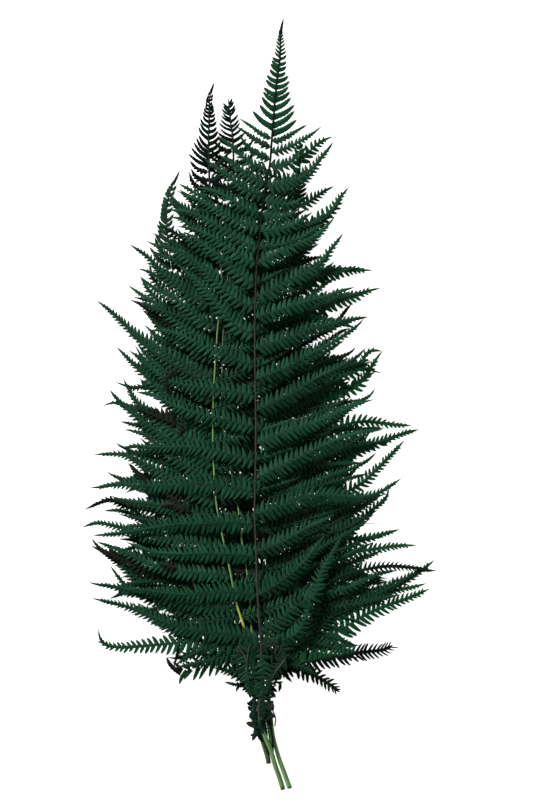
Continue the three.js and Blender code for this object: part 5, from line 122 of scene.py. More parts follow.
      ('R','p',5.42,'g',[(7.6,183.7,17.24),(15.7,184.5,17.24),(23.4,187.6,17.24),(28.9,193,17.24),(33.5,198.4,17.17)]),
      ('R','p',6.2,'g',[(4.5,168.2,18.09),(14.1,169.7,18.09),(23.4,172.4,18.09),(31.2,175.2,18.06),(38.9,181.3,17.83),(45.1,187.6,17.46),(48.2,192.2,17.17),(52.9,197.6,16.75),(56.8,203.4,16.31)]),
      ('R','p',6.2,'g',[(2.8,158.1,18.61),(11.8,156.2,18.61),(20.3,155,18.61),(28.1,156.6,18.6),(33.5,161.2,18.48)]),
      ('R','p',6.2,'g',[(1.4,147.2,18.75),(11.8,144.9,18.75),(23.4,147.2,18.75),(31.2,152.7,18.63)]),
      ('R','p',6.59,'g',[(0.2,134.1,18.92),(11.8,134.8,18.92),(23.4,138,18.92),(32.7,143.4,18.7),(40.5,148.8,18.24)]),
      ('R','p',6.59,'g',[(-0.7,121.7,19.08),(10.3,122.5,19.08),(23.4,125.5,19.08),(35.1,130.6,18.72),(43.6,136.4,18.08),(50.6,141.1,17.4)]),
      ('R','p',6.98,'g',[(-1.9,109.3,19.24),(7.9,113.9,19.24),(19.6,120.1,19.24),(31.2,125.2,18.9),(40.5,129.4,18.27),(48.2,134.8,17.49),(53.7,140.3,16.78),(57.9,145.3,16.15)]),
      ('R','p',6.98,'g',[(-3.3,82.9,19.58),(6.4,86.8,19.58),(17.2,93,19.58),(28.1,98.4,19.31),(38.9,103.9,18.59),(46.7,109.3,17.81),(53.7,118.6,16.72),(59.1,125.5,15.87),(64.9,133.3,15)]),
      ('R','p',6.98,'g',[(-3.7,66.7,19.6),(7.9,70.9,19.6),(20.3,75.2,19.59),(38.2,80.6,18.83),(50.6,83.7,17.81),(62.2,88,16.64),(73.4,91.1,15.54)]),
      ('R','p',7.36,'g',[(-3.8,42.6,19.6),(11,48.4,19.6),(22.7,51.5,19.56),(38.2,58.1,18.78),(56,62.4,17.24),(69.9,65.9,15.86),(84.3,68.2,14.61)]),
      ('R','p',7.36,'g',[(-3.6,19.4,19.6),(11,24.8,19.6),(25,31,19.49),(38.2,38.8,18.69),(56,48.1,16.94),(69.2,56.6,15.44),(75.4,61.2,14.79),(80.4,66.7,14.26)]),
      ('R','p',7.36,'g',[(-3.2,-4.7,19.6),(11,1.9,19.6),(25,8.5,19.48),(38.2,17.4,18.62),(56,26.4,16.87),(69.2,33.3,15.45),(76.1,38,14.74),(82,44.2,14.16)]),
      ('R','p',7.36,'g',[(-3.1,-30.6,19.6),(13.8,-23.2,19.6),(27.3,-18.6,19.42),(45.1,-12.4,18.26),(63,-4.7,16.47),(75.4,0.8,15.21),(88.5,4.4,14.19)]),
      ('R','p',7.36,'g',[(-3.5,-57,19.6),(13.8,-48.1,19.6),(27.3,-41.9,19.36),(45.1,-32.9,18.04),(63,-25.6,16.23),(77.7,-21.3,14.85),(95.5,-19,13.77)]),
      ('R','p',7.75,'g',[(-4,-84.5,19.43),(9.5,-80.6,19.43),(21.1,-76.7,19.41),(35.8,-71.3,18.8),(45.1,-69.8,18.12),(63,-70.5,16.48),(79.2,-71.3,14.96),(91.6,-68.2,14.01),(100.9,-62.8,13.53),(109.9,-56.6,13.43)]),
      ('R','p',7.75,'g',[(-2.8,-113.9,18.98),(9.5,-108.9,18.98),(18,-105.4,18.98),(27.3,-100,18.78),(35.8,-95.3,18.28),(48.2,-89.9,17.22),(58.3,-83.7,16.11)]),
      ('R','p',7.75,'g',[(-1.7,-147.2,18.46),(9.5,-141.1,18.62),(18,-134.8,18.91),(27.3,-127.5,19.01),(35.8,-119.4,18.57),(43.6,-109.3,17.56),(50.6,-100.8,16.51)]),
      ('R','p',7.75,'g',[(0.2,-175.9,17.28),(7.9,-171.3,17.45),(13.8,-167.4,17.77),(21.1,-161.2,18.33),(31.6,-152.7,18.69),(41.3,-148.8,18.38),(45.1,-136.4,17.29),(48.2,-127.9,16.42),(56.8,-113.2,14.87),(63,-102.3,14.02)]),
      ('R','p',7.36,'g',[(0.8,-186,16.67),(9.5,-182.9,16.89),(19.6,-180.6,17.54),(28.9,-175.9,18.27),(35.1,-165.1,18.58),(38.2,-154.2,18.09),(41.3,-143.4,17.06)]),
      ('R','n',11.62,'g',[(0.9,-189.9,16.33),(2.5,-196.1,16.6),(2.9,-203.8,17.41),(1.7,-213.1,16.62),(1,-220.9,15.75),(0.2,-227.5,15.03)]),
      ('L','n',12.4,'g',[(0.6,-186.8,16.6),(-6,-187.9,17.53),(-9.5,-193,18.6),(-10.3,-200.7,18.5),(-9.7,-210,17.57),(-7.6,-219.3,16.52),(-4.8,-227.1,15.67)]),
      ('L','n',6.2,'g',[(0.7,-203.8,15.13),(-1.7,-210,15.4),(-2.9,-218.6,16.14),(-2.1,-227.1,15.37)]),
      ('R','n',6.2,'g',[(0.3,-206.9,14.82),(2.5,-213.9,15.05),(3.3,-220.9,15.62),(2.5,-227.5,15.13)]),
      ('L','n',6.98,'m',[(1,-188.7,16.43),(-8.3,-186,17.47),(-15.3,-189.9,17.44),(-18.4,-197.6,16.77),(-14.5,-206.2,16.01),(-9.9,-214.7,15.04),(-7.2,-224,14.01)]),
      ('R','n',10.08,'m',[(1,-189.1,16.4),(10.3,-184.5,18.4),(17.2,-187.6,18.92),(20,-193.8,18.4),(15.7,-200.7,17.8),(11,-206.2,17.31),(7.9,-213.9,16.43),(5.6,-221.7,15.56),(4.1,-227.5,14.93)]),
      ('L','n',6.98,'g',[(-2.5,-220.9,14.6),(-4.3,-228.6,14.5),(-4.1,-236.4,14.7),(-2.5,-244.9,12.5)]),
      ('R','n',6.98,'g',[(1.4,-220.9,16.6),(2.4,-228.6,17.2),(2.7,-236.4,17.2),(2.2,-244.9,15.6)]),
      ('R','n',6.2,'g',[(6.4,-220.9,14.8),(6.9,-226.3,14.9),(7.1,-231.7,14.9)]),
      ('R','s',5.42,'g',[(9.3,-237.5,13.6),(6.4,-240.2,14.8),(3.8,-244.1,14.6)]),
      ('R','s',3.88,'d',[(1.7,-237.5,15.2),(5.2,-241,14.6),(8.7,-244.9,13)]),
      ('R','k',2.02,'g',[(-0.1,-226.3,16.6),(-0.6,-231,17.5),(-0.6,-237.9,17.6),(0,-246.5,15.4)]),
      ('L','k',1.71,'g',[(-16.9,-186,18.6),(-11.8,-193.8,19),(-9.9,-200.7,18.8),(-9.7,-206.9,17.9)]),
      ('L','k',1.86,'g',[(-7.9,-186,18.6),(-9.4,-193.8,19),(-10,-200.7,18.8),(-9.5,-210,17.4),(-7.6,-219.3,15.6)]),
      ('R','k',2.02,'g',[(21.5,-193.8,17.6),(16.9,-200,18),(12.2,-206.2,17.4),(9.1,-212.3,16.4)]),
      ('R','k',1.4,'b',[(10.7,-187.6,18.4),(13,-194.5,18.6),(16.1,-200.7,18.2)]),
      ('R','k',1.4,'b',[(8.7,-193,18.2),(9.5,-199.2,18.2),(11.8,-206.2,17.6)]),
      # The next two near-black strips below the tie are painted shade: dark pieces drawn as leaflets where the stalks
      # shade each other.
      ('R','s',2.48,'d',[(2.1,-243.3,13.5),(3.8,-250.3,12.6),(5.8,-257.3,10.6)]),
      ('R','s',1.55,'d',[(6.9,-243.3,10.5),(8.1,-251.9,9),(9.6,-262.7,7.2),(10.7,-270.5,6.4)]),
      ('L','s',2.02,'g',[(-0.1,-244.1,13.4),(0.7,-249.6,12.9),(3,-255,12.4)]),
    ]),
  "frond_upper_left": dict(
    stalk=[(-35.84,249.55,8.6,0.28),(-37.39,245.68,8.9,0.3),(-38.56,240.25,9.31,0.33),(-39.1,232.5,9.91,0.36),(-39.33,217,11.03,0.44),(-39.72,201.5,11.97,0.51),(-39.33,186,12.9,0.53),(-38.56,166.62,13.8,0.56),(-36.23,147.25,14.3,0.58),(-32.36,124,14.9,0.62),(-29.64,103.08,15.2,0.65),(-30.03,81.38,15.2,0.68),(-32.36,62,15.2,0.7),(-33.91,38.75,15.2,0.72),(-35.22,19.38,15.2,0.74),(-36.08,-3.88,15.2,0.77),(-36.23,-31,15.2,0.8),(-35.46,-50.38,15.2,0.82),(-33.91,-73.62,15.2,0.84),(-31.58,-87.58,15.02,0.85),(-28.48,-103.08,14.82,0.87),(-23.06,-127.88,14.5,0.9),(-18.02,-153.45,14.13,0.93),(-12.21,-172.05,13.59,1),(-6.01,-193.75,12.6,1.09),(0.19,-218.55,10,1.19),(4.53,-236.38,9.62,1.18),(5.93,-245.68,9.2,1.17),(7.09,-251.88,8.51,1.16),(7.94,-258.07,7.72,1.16),(8.64,-263.89,6.67,1.15)],
    blades=[
      ('L','s',1.11,'x',[(-37.7,241.8,9.19),(-37.2,245.3,9.05),(-35.6,249.6,8.69)]),
      ('L','s',0.97,'x',[(-37.8,241,9.25),(-39.4,241.3,9.09),(-39.6,243,8.75)]),
      ('L','s',0.97,'x',[(-38.2,238.7,9.43),(-40,239,9.27),(-40.3,240.9,8.93)]),
      ('L','s',0.97,'x',[(-38.7,236.8,9.58),(-40.5,237.3,9.42),(-40.9,239.3,9.08)]),
      ('L','s',1,'x',[(-38.9,234.8,9.73),(-40.9,235.6,9.57),(-41.4,237.9,9.23)]),
      ('L','s',1.03,'x',[(-39.2,232.1,9.94),(-41.2,232.9,9.78),(-41.7,235.2,9.44)]),
      ('L','s',1.07,'x',[(-39.3,229.4,10.15),(-41.4,230.2,9.98),(-42.1,232.5,9.65)]),
      ('L','s',1.11,'x',[(-39.4,226.3,10.38),(-42,227.7,10.22),(-43.2,230.6,9.88)]),
      ('L','s',1.15,'x',[(-39.5,223.2,10.62),(-42.4,224.8,10.45),(-43.9,227.8,10.12)]),
      ('L','s',1.2,'x',[(-39.6,219.7,10.87),(-42.5,221.3,10.7),(-44,224.4,10.37)]),
      ('L','s',1.26,'x',[(-39.6,215.1,11.15),(-43.6,217.9,10.98),(-46.2,222.2,10.65)]),
      ('L','s',1.32,'x',[(-39.7,210.8,11.41),(-43.6,213.9,11.24),(-46.2,218.6,10.91)]),
      ('L','s',1.39,'x',[(-40,206.2,11.69),(-44.5,210.1,11.52),(-47.7,215.7,11.19)]),
      ('L','s',1.76,'x',[(-40.1,199.2,12.11),(-44.4,203.6,11.94),(-47.4,209.5,11.61)]),
      ('L','s',1.83,'x',[(-40.9,194.9,12.36),(-45.7,200.3,12.2),(-49.2,207.2,11.86)]),
      ('L','s',1.88,'x',[(-40.5,191.4,12.57),(-46.6,196.8,12.4),(-51.3,203.8,12.07)]),
      ('L','s',1.94,'x',[(-39.9,187.6,12.81),(-47.3,192.8,12.63),(-53.3,199.6,12.31)]),
      ('L','s',1.99,'x',[(-39.6,184.5,12.99),(-48.1,188.7,12.81),(-55.2,194.5,12.49)]),
      ('R','s',1.04,'x',[(-37.9,239.5,9.37),(-37,239.5,9.28),(-36.8,241.6,8.87)]),
      ('R','s',1.06,'x',[(-38.6,236.8,9.58),(-37.4,236.8,9.47),(-37,238.9,9.08)]),
      ('R','s',1.11,'x',[(-38.9,233.7,9.81),(-37.6,233.6,9.69),(-37.1,235.4,9.31)]),
      ('R','s',1.15,'x',[(-39,231.3,10),(-37.4,231.4,9.86),(-36.5,233.5,9.5)]),
      ('R','s',1.18,'x',[(-39.1,229.4,10.15),(-37,229.6,10),(-35.8,231.9,9.65)]),
      ('R','s',1.23,'x',[(-39,226.6,10.36),(-36.9,227.1,10.21),(-35.5,229.6,9.86)]),
      ('R','s',1.28,'x',[(-38.9,224,10.56),(-36.3,224.1,10.39),(-34.5,226.1,10.06)]),
      ('R','s',1.34,'x',[(-38.9,220.1,10.85),(-36.3,220.7,10.69),(-34.5,223.4,10.35)]),
      ('R','s',1.4,'x',[(-38.9,216.5,11.06),(-35.8,217.3,10.9),(-33.5,220.1,10.56)]),
      ('R','s',1.49,'x',[(-38.9,211.6,11.36),(-35.8,212.6,11.2),(-33.4,215.6,10.86)]),
      ('R','s',1.57,'x',[(-38.9,206.5,11.66),(-35.3,208.6,11.51),(-32.4,212.7,11.16)]),
      ('R','s',1.96,'x',[(-39,201.9,11.94),(-34.7,204.2,11.78),(-31.2,208.5,11.44)]),
      ('R','s',2.06,'x',[(-39.1,196.8,12.25),(-34.1,199.7,12.08),(-29.8,204.6,11.75)]),
      ('R','s',2.15,'x',[(-39.2,192.2,12.53),(-33.4,195.1,12.36),(-28.5,200,12.03)]),
      ('L','c',3.1,'d',[(-39.3,181.3,13.18),(-44.8,181.3,13.18),(-50.2,184.5,13.18),(-54.1,189.1,13.17)]),
      ('L','c',3.49,'d',[(-39,174.4,13.6),(-45.5,174.4,13.6),(-50.2,177.5,13.6),(-53.3,183.3,13.59)]),
      ('L','c',3.88,'d',[(-38.7,167.4,13.78),(-46.3,167.4,13.78),(-51.7,172.1,13.78),(-54.8,180.6,13.69)]),
      ('L','p',4.65,'g',[(-38.2,160.4,13.96),(-45.5,161.2,13.96),(-54.1,166.6,13.95),(-62.6,171.3,13.77)]),
      ('L','p',5.04,'g',[(-37.4,153.5,14.14),(-45.5,155.4,14.14),(-54.8,160.4,14.12),(-63.4,165.8,13.87)]),
      ('L','p',5.42,'g',[(-36.2,144.9,14.36),(-44.8,146.5,14.36),(-53.3,150.3,14.35),(-61.8,155,14.12),(-68.4,162,13.66)]),
      ('L','p',5.81,'g',[(-33.9,132.5,14.68),(-43.2,133.3,14.68),(-52.5,138,14.65),(-61,144.2,14.31),(-69.6,145.3,13.81)]),
      ('L','p',6.2,'g',[(-31.6,117.8,15.06),(-42.4,120.9,15.06),(-52.5,127.1,14.95),(-61.8,133.3,14.42),(-64.1,137.2,14.12)]),
      ('L','p',6.59,'g',[(-29.6,100,15.2),(-40.1,103.9,15.2),(-51,110.8,15.06),(-60.3,117,14.5),(-71.1,122.5,13.57),(-81.2,124,12.63),(-87.8,127.5,11.91)]),
      ('L','p',6.59,'g',[(-30.3,79,15.2),(-41.7,79.8,15.2),(-54.1,85.2,15.03),(-64.9,93.8,14.27),(-75.8,103.1,13.06),(-85.1,113.2,11.75),(-92,118.6,10.93),(-100.6,124.4,10.1)]),
      ('L','p',6.59,'g',[(-32.4,60.5,15.2),(-42.4,64.3,15.2),(-55.6,75.2,14.91),(-68,83.7,13.94),(-77.3,88.4,13.03),(-85.1,93,12.17),(-92.8,99.6,11.2)]),
      ('L','p',6.59,'g',[(-33.5,42.6,15.2),(-44,48.1,15.2),(-55.6,58.1,14.94),(-68,69,13.88),(-78.9,78.3,12.59),(-88.9,83.7,11.49),(-95.9,88.4,10.73),(-102.1,93,10.12)]),
      ('L','p',6.98,'g',[(-35.1,19.4,15.2),(-46.3,25.6,15.2),(-55.6,30.2,15.08),(-68,37.2,14.36),(-77.3,42.6,13.5),(-86.6,48.8,12.46),(-96.7,55.8,11.29),(-108.3,65.9,10.02),(-117.6,74.4,9.35),(-126.5,81,9.2)]),
      ('L','p',6.59,'g',[(-35.8,3.9,15.2),(-47.9,10.1,15.2),(-61.8,18.6,14.81),(-73.4,25.6,13.9),(-85.1,36,12.48),(-90.5,41.9,11.72),(-95.1,47.7,11.02)]),
      ('L','p',6.98,'g',[(-36.2,-15.5,15.2),(-50.2,-7,15.2),(-63.4,0.8,14.72),(-75,9.3,13.68),(-85.1,19.4,12.36),(-92.8,27.1,11.32),(-100.6,34.5,10.39),(-111,45,9.46)]),
      ('L','p',6.98,'g',[(-36.2,-35.6,15.2),(-50.2,-28.7,15.2),(-65.7,-21.7,14.67),(-78.9,-11.6,13.41),(-88.2,-3.9,12.27),(-95.9,3.1,11.27),(-101.3,11.6,10.4),(-106,20.5,9.71)]),
      ('L','p',6.98,'g',[(-35.8,-46.5,15.2),(-50.2,-39.5,15.2),(-68,-28.7,14.39),(-83.5,-17.8,12.8),(-94.4,-10.1,11.51),(-102.1,-3.1,10.58),(-109.9,3.9,9.82),(-116.8,12,9.32)]),
      ('L','p',6.59,'g',[(-34.9,-59.7,15.2),(-50.2,-51.1,15.19),(-65.7,-41.1,14.46),(-78.9,-31,13.1),(-88.9,-23.2,11.88),(-98.2,-20.2,10.97),(-104.8,-19,10.4)]),
      ('L','p',6.98,'g',[(-33.7,-76,15.17),(-50.2,-67.4,15.15),(-68,-56.6,14.18),(-83.5,-48.4,12.66),(-92.8,-43.4,11.64),(-102.1,-39.5,10.72),(-112.2,-38,9.93),(-128.8,-38.4,9.2)]),
      ('L','p',6.98,'g',[(-31.3,-89.1,15),(-50.2,-83.7,14.96),(-68,-79,14.11),(-85.1,-76,12.63),(-100.6,-74.4,11.14),(-109.1,-72.9,10.37),(-115.7,-70.5,9.84)]),
      ('L','p',6.98,'g',[(-26.9,-110.8,14.72),(-46.3,-107,14.68),(-68,-103.9,13.56),(-85.1,-101.5,12.02),(-96.7,-98.4,10.87),(-106.8,-95.3,9.95),(-116.1,-93,9.27),(-126.9,-91.5,8.8),(-137.8,-94.9,8.72)]),
      ('L','p',6.98,'g',[(-22.3,-131.8,14.45),(-42.4,-130.2,14.64),(-61.8,-128.7,14.06),(-81.2,-124,12.43),(-95.1,-118.6,11.02),(-105.2,-113.9,10.11),(-116.1,-109.7,9.44),(-126.5,-106.2,9.2)]),
      ('L','p',6.98,'g',[(-17.5,-155.8,14.06),(-34.7,-156.6,14.33),(-54.1,-153.5,14.12),(-73.4,-149.6,12.72),(-88.9,-146.5,11.21),(-102.1,-143.4,10.09),(-117.6,-140.3,9.29),(-125.4,-139.5,9.2),(-132.7,-137.6,9.2)]),
      ('L','p',7.36,'w',[(-9.1,-182.9,13.25),(-24.6,-186,13.65),(-40.1,-183.7,13.99),(-54.1,-183.3,13.6),(-68,-184.8,12.44),(-85.1,-186.4,10.83),(-104.4,-187.9,9.49),(-116.1,-187.2,9.2),(-122.3,-184.1,9.2),(-124.6,-179,9.2),(-125,-173.2,9.2)]),
      ('R','c',3.49,'d',[(-39.3,183.7,13.04),(-33.9,185.2,13.04),(-28.5,189.9,13.04),(-23.8,196.1,13.04)]),
      ('R','c',3.88,'d',[(-38.9,173.6,13.62),(-33.1,175.2,13.62),(-26.9,179.8,13.62),(-21.5,186.8,13.62)]),
      ('R','p',4.65,'d',[(-38.2,162,13.92),(-30.8,162.8,13.92),(-23.1,167.4,13.92),(-16.9,174.4,13.91)]),
      ('R','p',5.42,'d',[(-36.6,150.3,14.22),(-28.5,150.3,14.22),(-20,154.2,14.22),(-13,160.4,14.21)]),
      ('R','p',5.81,'g',[(-34.7,137.2,14.56),(-25.4,137.2,14.56),(-15.3,141.8,14.56),(-6.8,149.6,14.47)]),
      ('R','p',6.2,'g',[(-32.1,122.5,14.94),(-21.5,123.2,14.94),(-9.9,129.4,14.94),(0.2,138,14.69)]),
      ('R','h',6.59,'g',[(-30,106.3,15.2),(-19.9,110,15.2),(-10,114.5,15.2),(-0.5,119.6,15.08),(8.6,125.4,14.7),(17.4,131.8,14.15)]),
      ('R','h',6.59,'g',[(-30,83.8,15.2),(-19.3,87,15.2),(-8.8,91,15.2),(1.4,95.5,15.06),(11.4,100.6,14.64),(21,106.3,14.05)]),
      ('R','h',6.59,'g',[(-32.4,62.2,15.2),(-21.3,65.6,15.2),(-10.3,69.7,15.2),(0.3,74.3,15.02),(10.6,79.7,14.55),(20.5,85.6,13.93)]),
      ('R','h',6.59,'g',[(-34,37.8,15.2),(-22.9,40.6,15.2),(-12,43.9,15.2),(-1.2,47.7,15.04),(9.3,52.1,14.59),(19.6,57,13.98)]),
      ('R','h',6.59,'g',[(-35.3,17.5,15.2),(-23,21.3,15.2),(-10.9,25.7,15.19),(1,30.9,14.89),(12.4,36.8,14.29),(23.5,43.4,13.56)]),
      ('R','h',6.59,'g',[(-36.1,-4.8,15.2),(-23.2,-0.4,15.2),(-10.7,4.8,15.18),(1.5,10.8,14.81),(13.3,17.7,14.13),(24.5,25.3,13.36)]),
      ('R','h',6.59,'g',[(-36.2,-29.1,15.2),(-23.1,-26.4,15.2),(-10,-23.1,15.18),(2.9,-19.3,14.83),(15.6,-14.9,14.17),(28.2,-10,13.39)]),
      ('R','h',6.59,'g',[(-35.5,-49.7,15.2),(-22,-47.1,15.2),(-8.6,-44.1,15.17),(4.7,-40.5,14.79),(17.8,-36.4,14.11),(30.8,-31.9,13.32)]),
      ('R','h',6.59,'g',[(-34,-72.7,15.2),(-20.5,-70.3,15.2),(-7.2,-67.4,15.18),(6.1,-64,14.8),(19.3,-60.2,14.12),(32.2,-56,13.33)]),
      ('R','h',6.59,'g',[(-29.9,-96,14.91),(-16.5,-92,14.91),(-3.3,-87.3,14.88),(9.6,-81.8,14.47),(22.1,-75.5,13.76),(34.3,-68.5,12.95)]),
      ('R','h',6.59,'g',[(-25.1,-118.7,14.62),(-11.1,-115.3,14.62),(2.7,-111.4,14.58),(16.3,-106.7,14.13),(29.6,-101.5,13.38),(42.7,-95.6,12.56)]),
      ('R','h',6.59,'g',[(-20.3,-141.5,14.32),(-6.5,-138.8,14.47),(7.1,-135.5,14.75),(20.6,-131.8,14.64),(34,-127.4,14.04),(47.2,-122.6,13.23)]),
      ('R','h',6.59,'g',[(-14.4,-165.1,13.79),(0,-161,14.06),(14.2,-156.3,14.54),(28.1,-150.7,14.52),(41.7,-144.4,13.82),(54.9,-137.3,12.98)]),
      ('R','n',5.42,'g',[(-4.5,-199.2,11.95),(1.7,-200.7,11.76),(6.4,-208.5,10.92),(6,-217.8,10.07),(3.3,-227.8,9.72)]),
      ('L','n',5.42,'g',[(-1.4,-213.1,10.49),(-5.6,-216.2,10.21),(-7.9,-221.7,9.91),(-7.2,-227.8,9.72)]),
      ('L','h',6.04,'h',[(-34.1,34.9,15.2),(-46.3,40.1,15.56),(-57.9,46.3,15.44),(-68.9,53.6,14.67),(-79.1,61.8,13.56),(-88.6,71.1,12.28)]),
      ('L','h',6.51,'h',[(-35.4,15.5,15.2),(-51,22.2,15.58),(-66.1,30.3,14.98),(-80.3,39.8,13.63),(-93.5,50.5,12),(-105.8,62.3,10.53)]),
      ('L','h',6.43,'h',[(-6.7,-191.4,12.74),(-18.9,-193.6,12.98),(-31,-195.9,13.52),(-43.2,-198.6,13.67),(-55.3,-201.3,13.19),(-67.3,-204.3,12.08)]),
      ('L','h',6.59,'h',[(-32.4,62,15.2),(-45.3,64.5,15.19),(-58.1,67.6,14.96),(-70.7,71.3,14.19),(-83.2,75.6,13.07),(-95.4,80.6,11.81)]),
      ('L','h',6.28,'h',[(-29.7,-96.9,14.9),(-45.9,-95.4,14.72),(-62.1,-93.4,14.17),(-78.2,-91,12.95),(-94.2,-88,11.41),(-110.1,-84.6,9.94)]),
      ('R','h',6.74,'h',[(-30,106.2,15.2),(-14.1,109.3,15.42),(1.7,113.1,15.32),(17.4,117.7,14.67),(32.7,123.1,13.76),(47.9,129.1,12.91)]),
      ('L','h',6.28,'h',[(-10.7,-177.5,13.44),(-22.7,-180.5,14.04),(-34.4,-184.5,14.56),(-45.8,-189.6,14.48),(-56.6,-195.5,13.86),(-66.8,-202.5,12.72)]),
      ('R','h',5.81,'h',[(-8,-186.8,13.02),(3.8,-190.7,12.91),(15.3,-195.1,13.4),(26.7,-200.1,13.86),(37.8,-205.6,13.78),(48.6,-211.7,13.13)]),
      ('L','h',6.2,'h',[(-32,-85.2,15.05),(-48.9,-83.7,14.77),(-65.8,-81.6,14.14),(-82.7,-79,12.8),(-99.5,-76,11.17),(-116.2,-72.5,9.7)]),
      ('L','h',6.28,'h',[(-14.8,-163.5,13.84),(-27.1,-165.7,14.34),(-39.3,-168,14.72),(-51.4,-170.7,14.51),(-63.4,-173.4,13.8),(-75.5,-176.4,12.65)]),
      ('L','h',6.82,'h',[(-36.1,-34.9,15.2),(-51,-28.4,15.2),(-65.4,-20.7,14.67),(-78.9,-11.7,13.44),(-91.6,-1.6,11.9),(-103.3,9.8,10.43)]),
      ('L','h',6.82,'h',[(-34.1,-69.8,15.2),(-49.8,-65.1,14.77),(-65.1,-59.4,14.21),(-79.9,-52.8,12.98),(-94.2,-45.1,11.44),(-108,-36.5,9.97)]),
      ('L','s',2.09,'w',[(-16.9,-196.8,9.6),(-20,-200.7,9.7),(-21.5,-206.2,9.1)]),
      ('L','s',2.09,'w',[(-22.3,-196.5,9.6),(-25.4,-200.7,9.7),(-28.5,-207.7,9.1)]),
      ('L','s',2.09,'w',[(-27.7,-197.2,9.6),(-31.2,-203.1,9.7),(-34.7,-210.4,9.1)]),
      ('L','s',2.09,'w',[(-33.1,-198.8,9.6),(-37,-203.8,9.7),(-39.3,-211.2,9.1)]),
      ('L','s',2.09,'w',[(-40.1,-200.7,9.6),(-43.6,-206.2,9.7),(-47.1,-213.1,9.1)]),
      ('L','s',2.09,'w',[(-47.1,-203.1,9.6),(-49,-207.7,9.7),(-51.7,-213.9,9.1)]),
      ('L','s',2.09,'w',[(-53.3,-205,9.6),(-56.4,-209.2,9.7),(-59.1,-213.1,9.1)]),
      ('L','s',2.09,'w',[(-56.4,-206.2,9.6),(-60.3,-210.8,9.7),(-62.6,-217,9.1)]),
      ('L','s',1.71,'w',[(-20.7,-196.1,9.6),(-24.6,-193.4,9.7),(-27.7,-189.9,9.1)]),
      ('L','s',1.71,'w',[(-26.2,-196.8,9.6),(-29.3,-193.8,9.7),(-32.4,-189.5,9.1)]),
      ('L','s',1.71,'w',[(-31.6,-198.4,9.6),(-34.7,-194.5,9.7),(-38.6,-190.7,9.1)]),
      ('L','s',1.71,'w',[(-37.8,-200.3,9.6),(-40.9,-196.8,9.7),(-45.5,-193.4,9.1)]),
      ('L','s',1.71,'w',[(-44,-201.9,9.6),(-47.9,-199.2,9.7),(-54.1,-194.5,9.1)]),
      ('L','s',1.71,'w',[(-49.4,-203.4,9.6),(-54.1,-201.1,9.7),(-58.7,-198.4,9.1)]),
      ('L','s',1.71,'w',[(-54.1,-204.6,9.6),(-57.9,-203.1,9.7),(-61.8,-202.3,9.1)]),
      ('L','s',2.4,'u',[(-61,-208.1,9.3),(-66.5,-204.6,9.6),(-70.3,-200.3,9.6),(-72.3,-195.7,9)]),
      ('L','s',1.78,'u',[(-60.3,-206.2,9.4),(-63.7,-202.3,9.8),(-67.6,-199.2,9.7)]),
      ('L','r',2.33,'w',[(-7.6,-200.7,11),(-15.3,-197.2,10.4),(-21.5,-196.1,9.85),(-32.4,-198.4,9.8),(-42.4,-201.5,9.75),(-52.5,-204.6,9.7),(-58.7,-207.7,9.6)]),
      ('L','p',7.36,'b',[(-64.1,-14.7,15.8),(-72.7,-11.6,15.2),(-78.9,-9.3,14.9),(-85.8,-6.2,14.4),(-92.8,-3.1,13.9),(-98.2,-1.6,13.5)]),
      ('L','p',4.26,'b',[(-61,-24,15.6),(-61,-17.8,16),(-60.3,-11.6,16.2),(-59.5,-6.2,16)]),
      ('L','p',6.98,'b',[(-52.5,-82.9,16.2),(-58.7,-79,16.2),(-64.9,-73.6,15.8),(-70.3,-69.8,15.4),(-75.8,-67.4,15)]),
      ('L','p',4.65,'b',[(-57.2,-82.2,16.6),(-64.9,-77.5,16.3),(-71.1,-76.7,15.9),(-77.3,-78.3,15.4)]),
      ('L','p',4.65,'b',[(-64.1,-125.5,15.6),(-71.1,-124,15.2),(-78.9,-122.5,14.8)]),
      ('L','p',4.26,'b',[(-63.4,27.9,17.6),(-68.8,24.8,17.6),(-72.7,19.4,17.4),(-73,13.2,17),(-69.6,8.5,16.6)]),
    ]),
  "frond_middle": dict(
    stalk=[(-24.22,237.93,6.6,0.3),(-23.83,230.18,7.08,0.34),(-23.06,223.97,7.46,0.37),(-22.28,217,7.89,0.4),(-21.27,210.03,8.31,0.44),(-20.73,203.05,8.68,0.47),(-20.34,189.88,9.13,0.51),(-20.34,166.62,9.93,0.53),(-21.51,143.38,10.4,0.55),(-23.06,120.12,10.7,0.57),(-24.99,96.88,11,0.59),(-26.93,73.62,11,0.61),(-28.71,50.38,11,0.63),(-29.26,23.25,11,0.65),(-29.26,-2.33,11,0.67),(-27.71,-24.03,11,0.69),(-24.99,-38.75,11,0.7),(-22.28,-51.93,11,0.71),(-16.86,-79.05,10.94,0.74),(-14.14,-103.08,10.7,0.76),(-9.49,-133.3,10.38,0.78),(-7.17,-160.43,9.89,0.86),(-5.62,-189.88,8.9,1.05),(-4.46,-213.12,8.1,1.2),(-3.68,-236.38,7.63,1.32),(-2.44,-247.22,7.2,1.36),(0.19,-256.53,6.4,1.38),(3.14,-265.82,5.54,1.41),(5.15,-272.8,5.2,1.43),(6.55,-279,5,1.45)],
    blades=[
      ('L','s',1.06,'x',[(-23.6,231,7.03),(-26.3,232.1,6.88),(-28.5,234.8,6.53)]),
      ('L','s',1.06,'x',[(-23.4,228.3,7.19),(-26.2,229.6,7.04),(-28.5,232.5,6.69)]),
      ('L','s',1.06,'x',[(-23.2,225.7,7.35),(-26.7,227.2,7.19),(-29.6,230.2,6.85)]),
      ('L','s',1.06,'x',[(-22.9,222.3,7.56),(-26.1,223.9,7.41),(-28.9,227.1,7.06)]),
      ('L','s',1.06,'x',[(-22.8,220,7.7),(-26.6,221.8,7.54),(-30,225.1,7.2)]),
      ('L','s',1.06,'x',[(-22.4,216.2,7.93),(-26.7,218.2,7.77),(-30.4,221.7,7.43)]),
